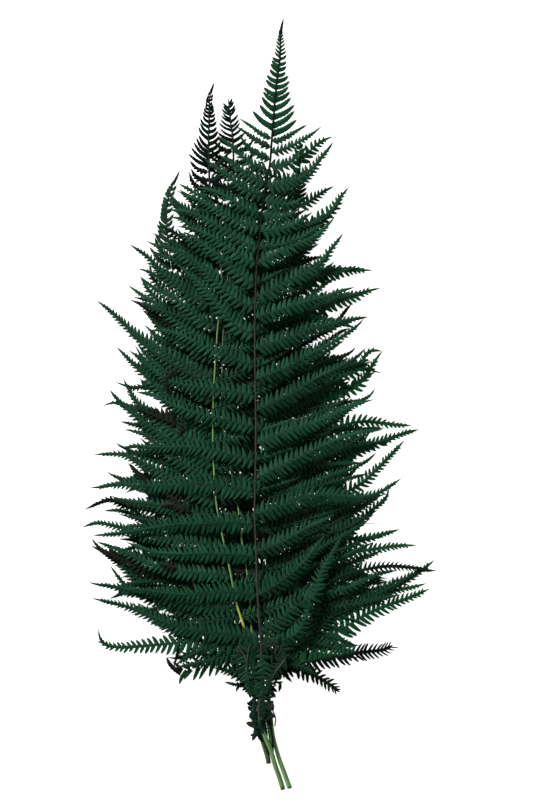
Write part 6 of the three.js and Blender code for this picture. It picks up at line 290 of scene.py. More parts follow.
      ('L','s',1.06,'x',[(-22.2,213.2,8.12),(-27.1,215.3,7.95),(-31.6,218.9,7.62)]),
      ('L','s',1.06,'x',[(-21.8,208.6,8.4),(-26.5,210.9,8.23),(-30.8,214.7,7.9)]),
      ('L','s',1.47,'x',[(-21.5,205.2,8.61),(-27.4,207.6,8.44),(-32.7,211.6,8.11)]),
      ('L','s',1.47,'x',[(-21.2,201,8.75),(-27.4,203.6,8.58),(-33.1,207.7,8.25)]),
      ('R','s',1.06,'x',[(-23.9,234.1,6.84),(-22.5,235.6,6.71),(-21.5,238.7,6.34)]),
      ('R','s',1.06,'x',[(-23.7,231.4,7),(-21.8,233.1,6.86),(-20.3,236.4,6.5)]),
      ('R','s',1.06,'x',[(-23.4,228,7.21),(-21.1,229.9,7.07),(-19.2,233.3,6.71)]),
      ('R','s',1.06,'x',[(-23.2,225.4,7.37),(-20.8,227.4,7.23),(-18.8,231,6.87)]),
      ('R','s',1.06,'x',[(-22.8,220,7.7),(-19.6,222.2,7.55),(-16.9,225.9,7.2)]),
      ('R','s',1.06,'x',[(-22.4,215.8,7.96),(-19,218.2,7.8),(-16.1,222,7.46)]),
      ('R','s',1.06,'x',[(-22.2,212.8,8.14),(-18.5,215.3,7.99),(-15.3,219.3,7.64)]),
      ('R','s',1.06,'x',[(-21.8,209,8.38),(-17.2,211.7,8.21),(-13,215.8,7.88)]),
      ('R','s',1.47,'x',[(-21.5,204.4,8.63),(-16.2,207.2,8.47),(-11.4,211.6,8.13)]),
      ('R','s',1.47,'x',[(-21,199.5,8.8),(-15.2,202.4,8.64),(-9.9,206.9,8.3)]),
      ('L','c',3.1,'d',[(-20.6,197.6,8.87),(-26.2,197.6,8.87),(-31.6,200.7,8.87),(-36.2,205.4,8.86)]),
      ('L','c',3.49,'d',[(-20.4,189.9,9.13),(-27.7,189.9,9.13),(-33.9,193.8,9.13),(-39.3,199.2,9.09)]),
      ('R','c',3.1,'d',[(-20.5,196.1,8.92),(-14.5,196.8,8.92),(-9.1,200.7,8.92),(-4.5,206.2,8.92)]),
      ('R','c',3.49,'d',[(-20.3,187.6,9.21),(-13,188.3,9.21),(-6.8,193,9.21),(-1.4,199.2,9.21)]),
      ('L','p',4.65,'d',[(-20.3,178.2,9.53),(-29.3,178.2,9.53),(-37.8,182.9,9.52),(-45.5,189.1,9.37)]),
      ('L','p',5.42,'d',[(-20.4,165.1,9.99),(-30.8,165.1,9.99),(-40.9,170.5,9.94),(-49.4,176.7,9.69)]),
      ('R','p',4.65,'d',[(-20.3,176.7,9.59),(-11.4,177.5,9.59),(-3.7,182.9,9.59),(2.5,189.9,9.59)]),
      ('R','p',5.42,'g',[(-20.7,162.8,10.07),(-10.7,163.5,10.07),(-1.4,169,10.07),(6.4,175.9,10.07)]),
      ('L','p',6.2,'d',[(-21.3,149.6,10.32),(-32.4,150.3,10.32),(-44,155.8,10.23),(-54.1,161.2,9.85),(-62.6,167.4,9.32)]),
      ('L','p',6.2,'d',[(-22.3,131.8,10.55),(-33.9,133.3,10.55),(-46.3,138.7,10.41),(-56.4,144.9,9.92),(-65.7,149.6,9.29)]),
      ('L','p',6.59,'d',[(-23.8,110.8,10.82),(-36.2,113.9,10.82),(-49.4,121.7,10.57),(-61,130.2,9.8),(-71.1,136.4,8.93),(-78.9,139.5,8.27)]),
      ('L','p',6.59,'g',[(-25.5,90.7,11),(-38.6,95.3,11),(-52.5,106.2,10.61),(-64.9,112.4,9.78),(-75,115.5,8.99),(-85.8,120.1,8.04)]),
      ('L','p',6.59,'g',[(-27.4,67.4,11),(-42.4,77.5,10.99),(-57.2,86,10.43),(-71.1,94.5,9.34),(-81.2,100.8,8.4),(-88.2,104.2,7.78),(-94.7,105.8,7.27)]),
      ('L','p',6.59,'d',[(-28.8,46.5,11),(-42.4,54.2,11),(-55.6,64.3,10.57),(-68,73.6,9.61),(-78.9,79,8.67),(-88.2,81.4,7.9),(-98.6,84.1,7.1)]),
      ('L','p',6.98,'b',[(-29.3,24.8,11),(-44,36.4,10.98),(-57.9,50.4,10.23),(-69.6,62,9.07),(-78.9,69,8.13),(-86.6,73.6,7.44),(-94.4,79,6.79),(-100.9,81.8,6.41)]),
      ('L','p',6.59,'g',[(-29.3,3.9,11),(-44,11.6,11),(-59.5,20.9,10.45),(-71.1,27.9,9.57),(-78.9,30.2,8.95),(-86.6,31.8,8.32),(-91.3,37.2,7.75),(-97.1,46.5,6.96)]),
      ('L','p',6.98,'g',[(-27.3,-25.6,11),(-44,-16.3,10.98),(-59.5,-7,10.31),(-69.6,0.8,9.46),(-78.9,8.5,8.5),(-88.9,14.7,7.57),(-98.2,13.2,6.91),(-112.2,17.8,6.18)]),
      ('L','p',6.98,'g',[(-23.8,-44.2,11),(-42.4,-31.8,10.92),(-56.4,-20.2,10.11),(-68,-13.2,9.13),(-81.2,-9.3,8.03),(-92.8,-5,7.11),(-104.4,-0.8,6.39),(-113.7,1.9,6.06),(-121.9,-0.8,6)]),
      ('L','p',6.59,'v',[(-20.7,-58.1,11),(-38.6,-51.9,10.98),(-54.1,-44.2,10.37),(-69.6,-38.8,9.25),(-83.5,-34.1,8.07),(-96.7,-31.8,7.07),(-105.2,-33.3,6.55),(-111.8,-29.4,6.21)]),
      ('L','p',6.2,'b',[(-17.6,-76,10.98),(-36.2,-73.6,10.96),(-54.1,-71.3,10.31),(-71.1,-66.7,9.08),(-85.1,-60.8,7.88),(-94.4,-52.7,6.97),(-101.3,-45.3,6.39)]),
      ('L','p',6.98,'y',[(-14.9,-96.9,10.76),(-34.7,-96.9,10.73),(-54.1,-92.2,9.92),(-73.4,-84.5,8.38),(-88.9,-80.6,7.13),(-100.6,-80.2,6.37),(-109.9,-76,5.92),(-117.6,-73.6,5.77),(-126.1,-76.7,5.76),(-136.2,-81.4,5.76)]),
      ('L','p',6.98,'b',[(-10.3,-127.9,10.44),(-30.8,-128.7,10.58),(-54.1,-127.9,9.84),(-73.4,-129.4,8.4),(-88.9,-127.9,7.2),(-102.1,-121.7,6.35),(-114.5,-116.2,6),(-123.8,-112,6),(-131.2,-103.5,6)]),
      ('L','p',6.98,'g',[(-7.3,-158.9,9.94),(-26.9,-163.5,10.23),(-50.2,-161.2,9.8),(-69.6,-155.8,8.37),(-85.1,-151.1,7.13),(-96.7,-144.9,6.37),(-105.2,-139.5,6.05),(-111.4,-131.8,6),(-116.1,-125.2,6)]),
      ('L','p',6.59,'b',[(-6,-182.1,9.16),(-19.2,-179,9.45),(-36.2,-169.7,9.91),(-46.3,-158.9,9.54),(-53.3,-144.9,8.39),(-56.4,-129.4,7.18),(-57.2,-114.7,6.33)]),
      ('R','h',6.2,'g',[(-21.1,150.6,10.31),(-12.2,153.6,10.31),(-3.4,157.1,10.31),(5,161.2,10.31),(13.2,165.8,10.31),(21,171,10.31)]),
      ('R','h',6.2,'g',[(-22.4,131.1,10.56),(-12.7,134.5,10.56),(-3.2,138.6,10.56),(5.9,143.5,10.56),(14.7,148.8,10.56),(23.1,154.8,10.52)]),
      ('R','h',6.2,'g',[(-23.8,111.4,10.81),(-12.4,115,10.81),(-1.1,119.3,10.81),(9.8,124.2,10.81),(20.4,129.7,10.81),(30.7,136,10.5)]),
      ('R','h',6.2,'g',[(-25.1,94.6,11),(-14.4,97.7,11),(-3.8,101.4,11),(6.6,105.8,11),(16.7,110.7,11),(26.5,116.2,10.83)]),
      ('R','p',6.59,'g',[(-25.9,87.6,11),(-7.6,86,11),(15.7,79.8,11),(33.5,80.6,10.67),(43.6,88.4,9.87),(51.3,94.5,9.03),(56,97.3,8.51),(61,98.4,7.99)]),
      ('R','p',6.59,'d',[(-27.7,64.3,11),(-7.6,58.1,11),(15.7,51.9,11),(35.1,51.9,10.45),(48.2,55,9.47),(58.3,61.2,8.36),(64.5,70.5,7.22),(71.5,79,6.09)]),
      ('R','p',6.59,'d',[(-29.1,41.1,11),(-7.6,38,11),(15.7,36.4,11),(33.5,39.5,10.52),(46.7,45.7,9.49),(56.8,52.7,8.35),(63.7,57.4,7.5),(69.9,59.7,6.81)]),
      ('R','p',6.59,'g',[(-29.3,13.2,11),(-7.6,10.8,11),(15.7,16.3,11),(35.1,25.6,10.29),(50.6,33.3,8.88),(62.2,37.2,7.66),(69.9,40.3,6.8),(74.6,45,6.13)]),
      ('R','p',6.98,'g',[(-27.9,-19.4,11),(-7.6,-22.5,11),(15.7,-22.5,11),(35.1,-17.8,10.49),(50.6,-10.1,9.2),(66.1,-2.3,7.49),(79.2,3.5,6.02),(86.2,7.8,5.25),(89.7,13.2,4.7)]),
      ('R','p',6.98,'g',[(-21.5,-55,11),(-3.7,-61.2,11),(15.7,-65.9,11),(35.1,-64.3,10.76),(52.9,-55.8,9.47),(69.9,-50,7.74),(82.3,-44.2,6.33),(90.5,-37.2,5.3)]),
      ('R','r',6.98,'g',[(-15.3,-90.7,10.82),(4.1,-98.4,10.82),(27.3,-104.6,10.82),(50.6,-100.8,10.02),(66.1,-95.3,8.67),(79.2,-93,7.33),(87,-91.8,6.52),(99,-93.8,5.32)]),
      ('R','p',6.98,'g',[(-10.4,-126.3,10.46),(7.9,-134.1,10.62),(31.2,-143.4,10.96),(54.4,-144.9,10.21),(69.9,-141.1,8.91),(81.6,-135.6,7.63),(93.2,-131,6.34),(106.4,-128.7,5.07)]),
      ('R','p',7.75,'d',[(-7.7,-151.1,10.2),(11.8,-155.8,10.45),(31.2,-151.1,10.86),(48.2,-140.3,10.67),(63.7,-132.5,9.51),(79.2,-128.3,7.99),(97.1,-125.5,6.14),(112.6,-125.9,4.73),(125.7,-127.5,3.87),(131.9,-129,3.62),(137.8,-128.7,3.51)]),
      ('R','p',9,'q',[(-5.5,-193.8,8.77),(4.1,-200.7,9.04),(19.6,-202.3,9.9),(38.9,-198.8,10.89),(58.3,-195.3,10.31),(77.7,-192.2,8.7),(93.2,-190.7,7.12),(99.4,-189.1,6.47),(103.7,-186.4,5.96)]),
      ('R','h',6.67,'h',[(-14.4,-100.8,10.72),(6.2,-96.8,10.4),(26.5,-91.8,10.4),(46.5,-85.9,9.95),(66.3,-79,8.37),(85.7,-71.2,6.26)]),
      ('R','h',6.82,'h',[(-28.8,46.5,11),(-9.1,53.6,11.42),(10.4,61.1,11.42),(29.7,69.2,10.97),(48.8,77.8,9.38),(67.6,87,7.27)]),
      ('R','h',6.04,'h',[(-17.2,-77.5,10.96),(3.2,-72.9,11.21),(23.6,-68,11.21),(44,-63.2,10.75),(64.3,-58.3,9.17),(84.6,-53.2,7.06)]),
      ('R','h',6.43,'h',[(-28.9,-7.8,11),(-8.3,-3.8,10.9),(12.1,1.2,10.9),(32,7.1,10.45),(51.8,14,8.86),(71.3,21.8,6.75)]),
      ('L','h',6.28,'h',[(-21,-58.1,11),(-39.3,-54.6,10.43),(-57.4,-50.2,9.75),(-75.2,-45,8.44),(-92.8,-38.8,6.96),(-110,-31.9,5.81)]),
      ('R','h',6.51,'h',[(-28.4,54.2,11),(-9.2,62.5,10.72),(9.3,72.5,10.72),(26.6,84,10.27),(43,97.1,8.69),(58,111.7,6.57)]),
      ('R','h',6.67,'h',[(-25.7,-34.9,11),(-6,-27.8,10.83),(13.5,-20.3,10.83),(32.8,-12.2,10.38),(51.9,-3.6,8.79),(70.6,5.7,6.68)]),
      ('R','h',6.67,'h',[(-29.3,23.2,11),(-10,31.5,11.12),(8.4,41.5,11.12),(25.8,53,10.66),(42.1,66.1,9.08),(57.2,80.7,6.97)]),
      ('R','h',6.2,'h',[(-9.7,-131.8,10.4),(10.3,-125.8,10.26),(30,-118.5,10.58),(49,-110,10.2),(67.5,-100.1,8.62),(85.2,-89,6.51)]),
      ('R','h',6.82,'h',[(-22.8,124,10.65),(-6.8,127.1,10.7),(9,130.9,10.7),(24.6,135.5,10.69),(40,140.9,10.13),(55.1,146.9,8.92)]),
      ('L','h',6.43,'h',[(-4.6,-210,8.21),(-11,-208.8,8.43),(-17.4,-207.5,8.94),(-23.8,-206.2,9.44),(-30.2,-205,9.78),(-36.5,-203.7,10.01)]),
      ('R','h',6.74,'h',[(-24.4,104.6,10.9),(-3.4,104.5,11.17),(17.5,104.6,11.17),(38.4,104.9,10.71),(59.3,105.4,9.12),(80.3,106.2,7.01)]),
      ('R','h',6.35,'h',[(-26.6,77.5,11),(-5.7,76.1,11.55),(15.1,73.5,11.55),(35.6,69.9,11.09),(56.1,65.3,9.51),(76.1,59.4,7.4)]),
      ('L','h',6.59,'h',[(-15.7,-89.1,10.84),(-31.7,-86,10.6),(-47.5,-82.2,10.14),(-63.1,-77.6,9.11),(-78.5,-72.2,7.83),(-93.6,-66.2,6.61)]),
      ('L','h',6.28,'h',[(-8.3,-147.2,10.24),(-26.9,-148.5,10.45),(-45.3,-150.7,10.16),(-63.7,-154,9.02),(-81.8,-158.2,7.55),(-99.6,-163.3,6.4)]),
      ('R','h',6.74,'h',[(-23.4,-46.5,11),(-2.4,-46.7,10.57),(18.5,-46.5,10.57),(39.4,-46.2,10.11),(60.3,-45.7,8.53),(81.2,-45,6.42)]),
      ('R','h',6.04,'h',[(-8.3,-147.2,10.24),(11.4,-140.2,10.27),(31,-132.7,10.68),(50.2,-124.5,10.33),(69.2,-115.9,8.74),(88.1,-106.7,6.63)]),
      ('R','h',6.04,'h',[(-29.3,7.8,11),(-9.2,13.7,11.35),(10.4,21,11.35),(29.5,29.5,10.89),(47.9,39.4,9.31),(65.7,50.5,7.2)]),
      ('L','s',2.63,'d',[(-2.9,-231,11.5),(-6,-232.2,11),(-10.3,-231,10.2)]),
      ('L','s',2.48,'d',[(-2.9,-235.6,10.6),(-6.8,-235.9,10.4),(-9.6,-233.7,10)]),
      ('L','s',4.65,'g',[(-1.4,-239.1,11.4),(-5.4,-240.7,10.4),(-8,-243.2,9.8)]),
      ('L','s',3.41,'g',[(-1.7,-244.1,10.8),(-4.8,-243.8,10.2),(-6.8,-244.6,9.8)]),
      ('L','s',3.41,'g',[(-0.6,-248.9,9.9),(-6,-248,9),(-10.7,-246.7,8.4)]),
      ('L','s',3.1,'g',[(-2,-245.7,10),(-2.6,-252.7,9.2),(-4,-257,8.6),(-6,-260.9,8)]),
      ('L','s',1.71,'d',[(-2.9,-255.8,8.8),(-5.2,-256.2,8.4),(-7.6,-256.6,8)]),
      ('L','s',3.56,'d',[(-1,-243.3,9.6),(-0.9,-251.9,9.4),(0.8,-261.2,8.4)]),
      ('R','h',6.2,'h',[(-25.4,92.3,11.12),(-10.5,93.9,10.11),(4.4,95.6,9.92),(19.3,97.3,9.92),(33.1,98.8,9.92),(47,100.8,9.75),(60.9,103.5,9.2),(74.8,106.6,8.35)],44.9),
      ('R','h',6.2,'h',[(-24,108.5,10.89),(-9.8,115.6,9.82),(4.5,122.7,9.69),(18.7,129.7,9.69),(27.8,134.2,9.69),(36.9,139,9.61),(46.1,144.3,9.32),(55.2,150,8.83)],47.7),
      ('R','h',6.2,'h',[(-26.7,76.1,10.86),(-13.9,82.5,9.89),(-1,88.9,9.66),(11.8,95.3,9.66),(21.7,105.5,9.66),(31.6,116.2,9.51),(41.4,127.4,8.94),(51.3,139.3,8.03)],43.1),
      ('R','h',6.2,'h',[(-26.7,-29.6,11.23),(-18.7,-25.7,10.73),(-10.6,-21.8,10.07),(-2.6,-17.9,10.03),(10,-11.8,10.03),(22.7,-5,10.03),(35.4,2.2,9.93),(48,10.2,9.42)],26.8),
      ('R','h',6.2,'h',[(-28.3,56.3,10.74),(-19.9,57.2,10.29),(-11.6,58.1,9.63),(-3.3,59,9.54),(10.6,60.5,9.54),(24.5,62.5,9.54),(38.4,65.2,9.48),(52.3,68.4,9.06)],25.1),
      ('R','h',6.2,'h',[(-28.4,-13.9,10.99),(-22.4,-10.9,10.67),(-16.3,-7.8,10.09),(-10.3,-4.8,9.79),(-5.5,8.6,9.79),(-0.7,22.6,9.79),(4,37,9.77),(8.8,52.1,9.36)],20.3),
      ('R','h',6.2,'h',[(-28.9,39.4,10.76),(-25,39.8,10.64),(-21.1,40.2,10.35),(-17.2,40.7,10),(-3.3,42.2,9.56),(10.6,44.3,9.56),(24.5,46.9,9.56),(38.4,50.1,9.49)],11.8),
      ('R','h',5.81,'h',[(-27.2,70.7,11.26),(-12.7,77.9,10.18),(1.7,85.1,10.06),(16.1,92.3,10.06),(19.8,102.7,10.06),(23.4,113.5,9.93),(27.2,124.8,9.54),(30.9,136.6,8.89)],48.3),
      ('R','h',5.81,'h',[(-29.3,6.4,11.17),(-18.1,11.9,10.36),(-7,17.5,9.97),(4.1,23,9.97),(9.3,37.8,9.97),(14.6,53.3,9.88),(20,69.4,9.28),(25.2,86.2,8.23)],37.3),
      ('R','h',5.81,'h',[(-27.9,-21.6,10.72),(-21.1,-18.3,10.33),(-14.2,-15,9.69),(-7.4,-11.7,9.52),(6.7,-4.9,9.52),(20.7,2.6,9.52),(34.8,10.7,9.4),(48.9,19.5,8.78)],22.7),
      ('R','h',5.81,'h',[(-29.2,25.6,10.88),(-23.9,23.8,10.65),(-18.5,22,10.16),(-13.2,20.2,9.76),(1.3,15.2,9.68),(15.8,10.8,9.68),(30.4,7.1,9.67),(45,4,9.36)],16.9),
    ]),
  "frond_right": dict(
    stalk=[(30.81,206.15,4.8,0.28),(31.19,197.62,5.09,0.31),(31.19,182.12,5.61,0.37),(30.42,158.88,6.4,0.45),(28.48,131.75,6.66,0.5),(24.99,104.62,6.92,0.55),(21.12,77.5,7,0.6),(16.47,46.5,7,0.65),(11.82,19.38,7,0.68),(6.01,-11.62,7,0.72),(0.97,-38.75,7,0.76),(-1.74,-62,7,0.79),(-0.97,-73.62,7,0.8),(1.74,-94.55,6.95,0.83),(5.62,-124.78,6.87,0.87),(7.56,-147.25,6.81,0.9),(8.33,-170.5,6.8,1.04),(7.94,-193.75,6.8,1.21),(6.78,-215.45,6.92,1.36),(7.48,-234.83,7,1.47),(8.87,-244.9,6.55,1.52),(9.49,-251.88,5.65,1.56),(10.73,-259.62,4.4,1.6),(12.67,-267.38,2.98,1.66),(14.84,-275.12,2.12,1.72),(17.63,-282.88,1.72,1.76),(20.5,-290.62,1.66,1.8),(23.44,-298.76,1.6,1.85)],
    blades=[
      ('L','s',1.55,'v',[(30.9,200,5.01),(29.7,200.5,4.9),(28.5,202.7,4.51)]),
      ('L','s',1.55,'v',[(31,196.1,5.14),(28.9,196.8,5.01),(26.9,199.2,4.64)]),
      ('L','s',1.55,'v',[(31.1,191.8,5.29),(28.2,193,5.14),(25.4,195.7,4.79)]),
      ('L','s',1.55,'v',[(31.2,186.8,5.46),(27.3,188.5,5.3),(23.4,191.8,4.96)]),
      ('L','s',1.55,'v',[(31.2,182.1,5.61),(26.5,184.1,5.45),(21.9,187.6,5.11)]),
      ('R','s',1.55,'v',[(30.9,200.7,4.98),(32.2,201.1,4.87),(33.5,203.1,4.48)]),
      ('R','s',1.55,'v',[(31,196.8,5.11),(33.1,197.6,4.98),(35.1,200,4.61)]),
      ('R','s',1.55,'v',[(31.1,192.6,5.26),(34.3,194.1,5.11),(37.4,197.2,4.76)]),
      ('L','s',1.71,'d',[(31.1,179,5.72),(28.5,180.7,5.56),(25.8,183.3,5.22)]),
      ('R','s',1.71,'d',[(31.1,179,5.72),(33.5,180.6,5.58),(36.5,182.9,5.22)]),
      ('L','s',1.71,'d',[(31.1,175.5,5.84),(28.5,177.2,5.68),(25.8,179.8,5.34)]),
      ('R','s',1.71,'d',[(31.1,175.5,5.84),(33.5,177.1,5.69),(36.5,179.4,5.34)]),
      ('L','s',1.71,'d',[(31.1,172.1,5.95),(28.5,173.8,5.8),(25.8,176.3,5.45)]),
      ('R','s',1.71,'d',[(31.1,172.1,5.95),(33.5,173.6,5.81),(36.5,175.9,5.45)]),
      ('L','s',1.71,'d',[(31.1,168.6,6.07),(28.5,170.3,5.92),(25.8,172.8,5.57)]),
      ('R','s',1.71,'d',[(31.1,168.6,6.07),(33.5,170.1,5.93),(36.5,172.4,5.57)]),
      ('L','s',1.71,'d',[(31.1,165.1,6.19),(28.5,166.8,6.04),(25.8,169.3,5.69)]),
      ('R','s',1.71,'d',[(31.1,165.1,6.19),(33.5,166.6,6.05),(36.5,169,5.69)]),
      ('L','s',1.71,'d',[(31.1,161.6,6.31),(28.5,163.3,6.15),(25.8,165.8,5.81)]),
      ('R','s',1.71,'d',[(31.1,161.6,6.31),(33.5,163.1,6.17),(36.5,165.5,5.81)]),
      ('L','s',1.71,'d',[(31.1,158.1,6.41),(28.5,159.8,6.25),(25.8,162.4,5.91)]),
      ('R','s',1.71,'d',[(31.1,158.1,6.41),(33.5,159.7,6.27),(36.5,162,5.91)]),
      ('L','s',1.71,'d',[(31.1,154.2,6.45),(28.5,155.9,6.29),(25.8,158.5,5.95)]),
      ('R','s',1.71,'d',[(31.1,154.2,6.45),(33.5,155.8,6.3),(36.5,158.1,5.95)]),
      ('R','p',5.04,'w',[(31.1,186.8,5.46),(34.3,192.2,5.43),(38.9,197.6,5.34),(45.1,203.1,5.17),(50.6,206.5,4.99),(57.2,208.9,4.76)]),
      ('R','p',5.04,'g',[(30.9,172.8,5.93),(34.3,175.9,5.91),(38.9,179,5.85),(43.6,183.7,5.72)]),
      ('R','p',5.42,'g',[(30.4,152.7,6.46),(34.3,155.4,6.44),(38.9,158.5,6.36),(45.1,162.8,6.17),(50.6,166.6,5.94),(57.9,170.1,5.59)]),
      ('R','p',6.2,'w',[(28.4,130.2,6.68),(34.3,134.8,6.61),(40.5,139.5,6.42),(46.7,143.8,6.14),(52.1,148,5.8),(56.8,152.7,5.43),(60.6,158.9,4.97),(65.3,165.1,4.45),(69.9,170.1,3.97)]),
      ('R','c',3.88,'d',[(26.5,115.5,6.82),(32,119.4,6.76),(38.2,122.1,6.61),(42,123.2,6.47),(45.9,125.5,6.28)]),
      ('R','c',3.88,'d',[(25.4,107,6.9),(31.2,110,6.85),(37.4,112.8,6.69),(43.6,114.3,6.46),(50.6,115.1,6.12)]),
      ('R','p',6.59,'w',[(22.7,87.6,7),(31.2,90.7,6.9),(40.5,96.1,6.55),(50.6,100.8,5.99),(60.6,103.5,5.32),(71.5,104.9,4.53),(88.5,105,3.27)]),
      ('R','p',7.36,'w',[(18.8,61.2,7),(31.2,66.7,6.78),(42.8,74,6.19),(52.9,78.7,5.52),(63.7,81.8,4.73),(73.8,84.5,3.95),(83.9,88.7,3.15),(94,91.1,2.45)]),
      ('R','p',6.59,'w',[(13.8,30.2,7),(31.2,25.6,6.62),(50.6,22.5,5.57),(66.1,23.2,4.47),(76.1,27.1,3.66),(80.4,33.3,3.12),(82.3,39.1,2.69),(87.8,42.6,2.29),(95.5,41.9,1.86)]),
      ('R','p',7.36,'w',[(8.7,2.3,7),(27.3,5.4,6.59),(48.2,10.5,5.39),(68.4,11.6,3.92),(76.1,15.1,3.29),(82.3,22.9,2.61),(87.8,31,2.02),(91.6,37.2,1.66),(95.9,42.2,1.42)]),
      ('R','p',7.75,'w',[(2.5,-31,7),(23.4,-31,6.5),(40.5,-26.4,5.51),(56.8,-19,4.22),(69.2,-14.7,3.25),(81.6,-12.8,2.41),(94.7,-14,1.7),(107.1,-15.5,1.29),(118.4,-15.9,1.2)]),
      ('R','p',7.75,'w',[(-1.5,-62,7),(17.2,-60.5,6.59),(37.4,-53.5,5.4),(58.3,-43.4,3.71),(71.5,-37.2,2.68),(85.4,-31.8,1.81),(99.4,-26.7,1.29),(112.6,-22.1,1.2),(124.2,-19,1.2)]),
      ('R','p',7.75,'w',[(0.2,-83.7,6.97),(14.1,-87.6,6.73),(32.7,-84.5,5.82),(52.9,-75.2,4.27),(68.4,-67.4,3),(79.2,-61.2,2.19),(90.1,-51.1,1.48),(101.7,-39.5,1.17),(113,-27.1,1.17)]),
      ('R','p',7.75,'w',[(3.7,-110,6.91),(15.7,-121.7,6.58),(32.7,-123.2,5.72),(51.3,-112.4,4.21),(66.1,-101.9,2.89),(79.2,-89.5,1.78),(90.1,-79.8,1.23),(97.8,-73.2,1.11),(101.3,-63.6,1.11)]),
      ('R','p',6.98,'w',[(6.5,-135.6,6.84),(19.6,-137.2,6.66),(35.1,-128.7,5.93),(54.4,-117,4.45),(69.9,-109.7,3.18),(83.9,-103.9,2.19),(97.1,-100.4,1.53),(109.1,-96.9,1.22)]),
      ('R','p',7.75,'w',[(7.7,-151.1,6.8),(19.6,-149.6,6.65),(32.7,-140.3,6.05),(45.1,-129.4,5.08),(58.3,-120.5,3.92),(73.8,-114.7,2.74),(91.6,-112,1.71),(107.1,-109.7,1.24),(122.3,-109.3,1.2)]),
      ('R','p',7.75,'w',[(8.3,-168.2,6.8),(18,-174.4,6.66),(31.2,-171.3,6.19),(54.4,-161.2,4.67),(73.8,-152.7,3.11),(91.6,-145.7,1.91),(108.7,-140.3,1.27),(122.6,-131.8,1.2),(136.2,-120.9,1.2)]),
      ('R','p',6.98,'w',[(8.3,-182.1,6.8),(19.6,-182.1,6.67),(38.9,-172.1,5.79),(66.1,-159.7,3.74),(87,-151.1,2.2),(104.8,-144.9,1.37),(118,-142.2,1.2),(130,-139.1,1.2)]),
      ('R','p',9.3,'w',[(7.7,-199.2,6.81),(18,-195.3,6.68),(32.7,-189.5,6.12),(50.6,-181.7,4.96),(66.1,-173.2,3.66),(81.6,-163.9,2.41),(99.4,-156.2,1.46),(116.4,-150.3,1.2),(133.1,-143,1.2)]),
      ('R','p',6.98,'u',[(6.8,-215.5,6.92),(12.6,-205.4,6.76),(18.8,-199.2,6.47),(28.1,-203.8,5.96),(37.4,-208.5,5.32),(46.7,-212.7,4.6),(55.2,-218.2,3.85),(62.6,-224,3.16)]),
      ('L','h',6.59,'g',[(30.9,172.1,5.95),(22.4,174.1,5.95),(14,176.8,5.95),(5.7,179.8,5.9),(-2.4,183.2,5.8),(-10.3,187,5.67)]),
      ('L','h',6.59,'g',[(29.6,146.7,6.52),(20.3,148.6,6.52),(11.3,150.9,6.51),(2.2,153.6,6.43),(-6.6,156.6,6.28),(-15.4,160,6.1)]),
      ('L','h',6.59,'g',[(27.6,124.9,6.73),(17.1,127,6.73),(6.6,129.7,6.7),(-3.7,132.8,6.56),(-13.8,136.3,6.33),(-23.8,140.3,6.06)]),
      ('L','h',6.59,'g',[(24.3,100,6.97),(13.3,102.3,6.97),(2.4,105,6.94),(-8.5,108.2,6.77),(-19.1,111.8,6.51),(-29.6,115.9,6.22)]),
      ('L','h',6.59,'g',[(21.1,77.4,7),(9.8,80.1,7),(-1.3,83.5,6.96),(-12.2,87.3,6.78),(-23,91.6,6.5),(-33.4,96.5,6.21)]),
      ('L','h',6.59,'g',[(17.4,52.7,7),(5.9,54.8,7),(-5.5,57.3,6.96),(-16.8,60.2,6.77),(-28,63.6,6.49),(-39,67.3,6.2)]),
      ('L','h',6.59,'g',[(13.6,29.6,7),(1.1,32.2,7),(-11.3,35.3,6.93),(-23.5,38.8,6.7),(-35.6,42.9,6.38),(-47.5,47.5,6.07)]),
      ('L','h',6.59,'g',[(9.7,8.3,7),(-2.9,12.3,7),(-15.3,17.1,6.92),(-27.4,22.7,6.66),(-39.1,29.1,6.33),(-50.3,36.1,6.01)]),
      ('L','h',6.59,'g',[(5.5,-14.6,7),(-7.8,-11.2,7),(-20.8,-7.1,6.91),(-33.6,-2.4,6.64),(-46.2,2.9,6.29),(-58.4,9,5.98)]),
      ('L','h',6.59,'g',[(1,-38.9,7),(-14,-34.5,7),(-28.6,-29.3,6.85),(-43,-23.2,6.49),(-56.9,-16.4,6.11),(-70.4,-8.6,5.84)]),
      ('L','h',6.59,'g',[(-1.7,-61.5,7),(-15.6,-57.5,7),(-29.3,-52.7,6.88),(-42.7,-47.1,6.58),(-55.7,-40.8,6.21),(-68.3,-33.6,5.91)]),
      ('L','h',6.59,'g',[(0.7,-86.8,6.97),(-13,-83.1,6.97),(-26.5,-78.7,6.86),(-39.6,-73.5,6.56),(-52.6,-67.7,6.2),(-65.1,-61.1,5.9)]),
      ('L','h',6.59,'g',[(3.7,-109.7,6.91),(-11.4,-106.8,6.91),(-26.3,-103.4,6.76),(-41.1,-99.4,6.42),(-55.8,-94.9,6.03),(-70.2,-89.9,5.76)]),
      ('L','h',6.59,'g',[(6.3,-132.7,6.85),(-8.9,-129.9,6.88),(-24,-126.6,6.79),(-38.9,-122.8,6.49),(-53.8,-118.3,6.11),(-68.5,-113.4,5.84)]),
      ('L','h',6.59,'g',[(7.9,-155.5,6.8),(-6.5,-153.2,6.84),(-20.8,-150.5,6.79),(-35,-147.4,6.55),(-49.1,-143.8,6.2),(-63,-139.8,5.9)]),
      ('L','h',6.59,'g',[(8.2,-177.7,6.8),(-6.2,-174.8,6.84),(-20.5,-171.2,6.79),(-34.7,-167.1,6.54),(-48.6,-162.4,6.18),(-62.4,-157.1,5.89)]),
      ('R','n',5.42,'v',[(6.7,-220.9,6.95),(10.3,-216.2,6.92),(15.7,-216.2,6.92),(14.9,-223.2,6.96)]),
      ('R','n',5.42,'d',[(6.9,-211.6,6.89),(13.4,-208.5,6.87),(19.6,-210,6.88),(25,-215.5,6.92)]),
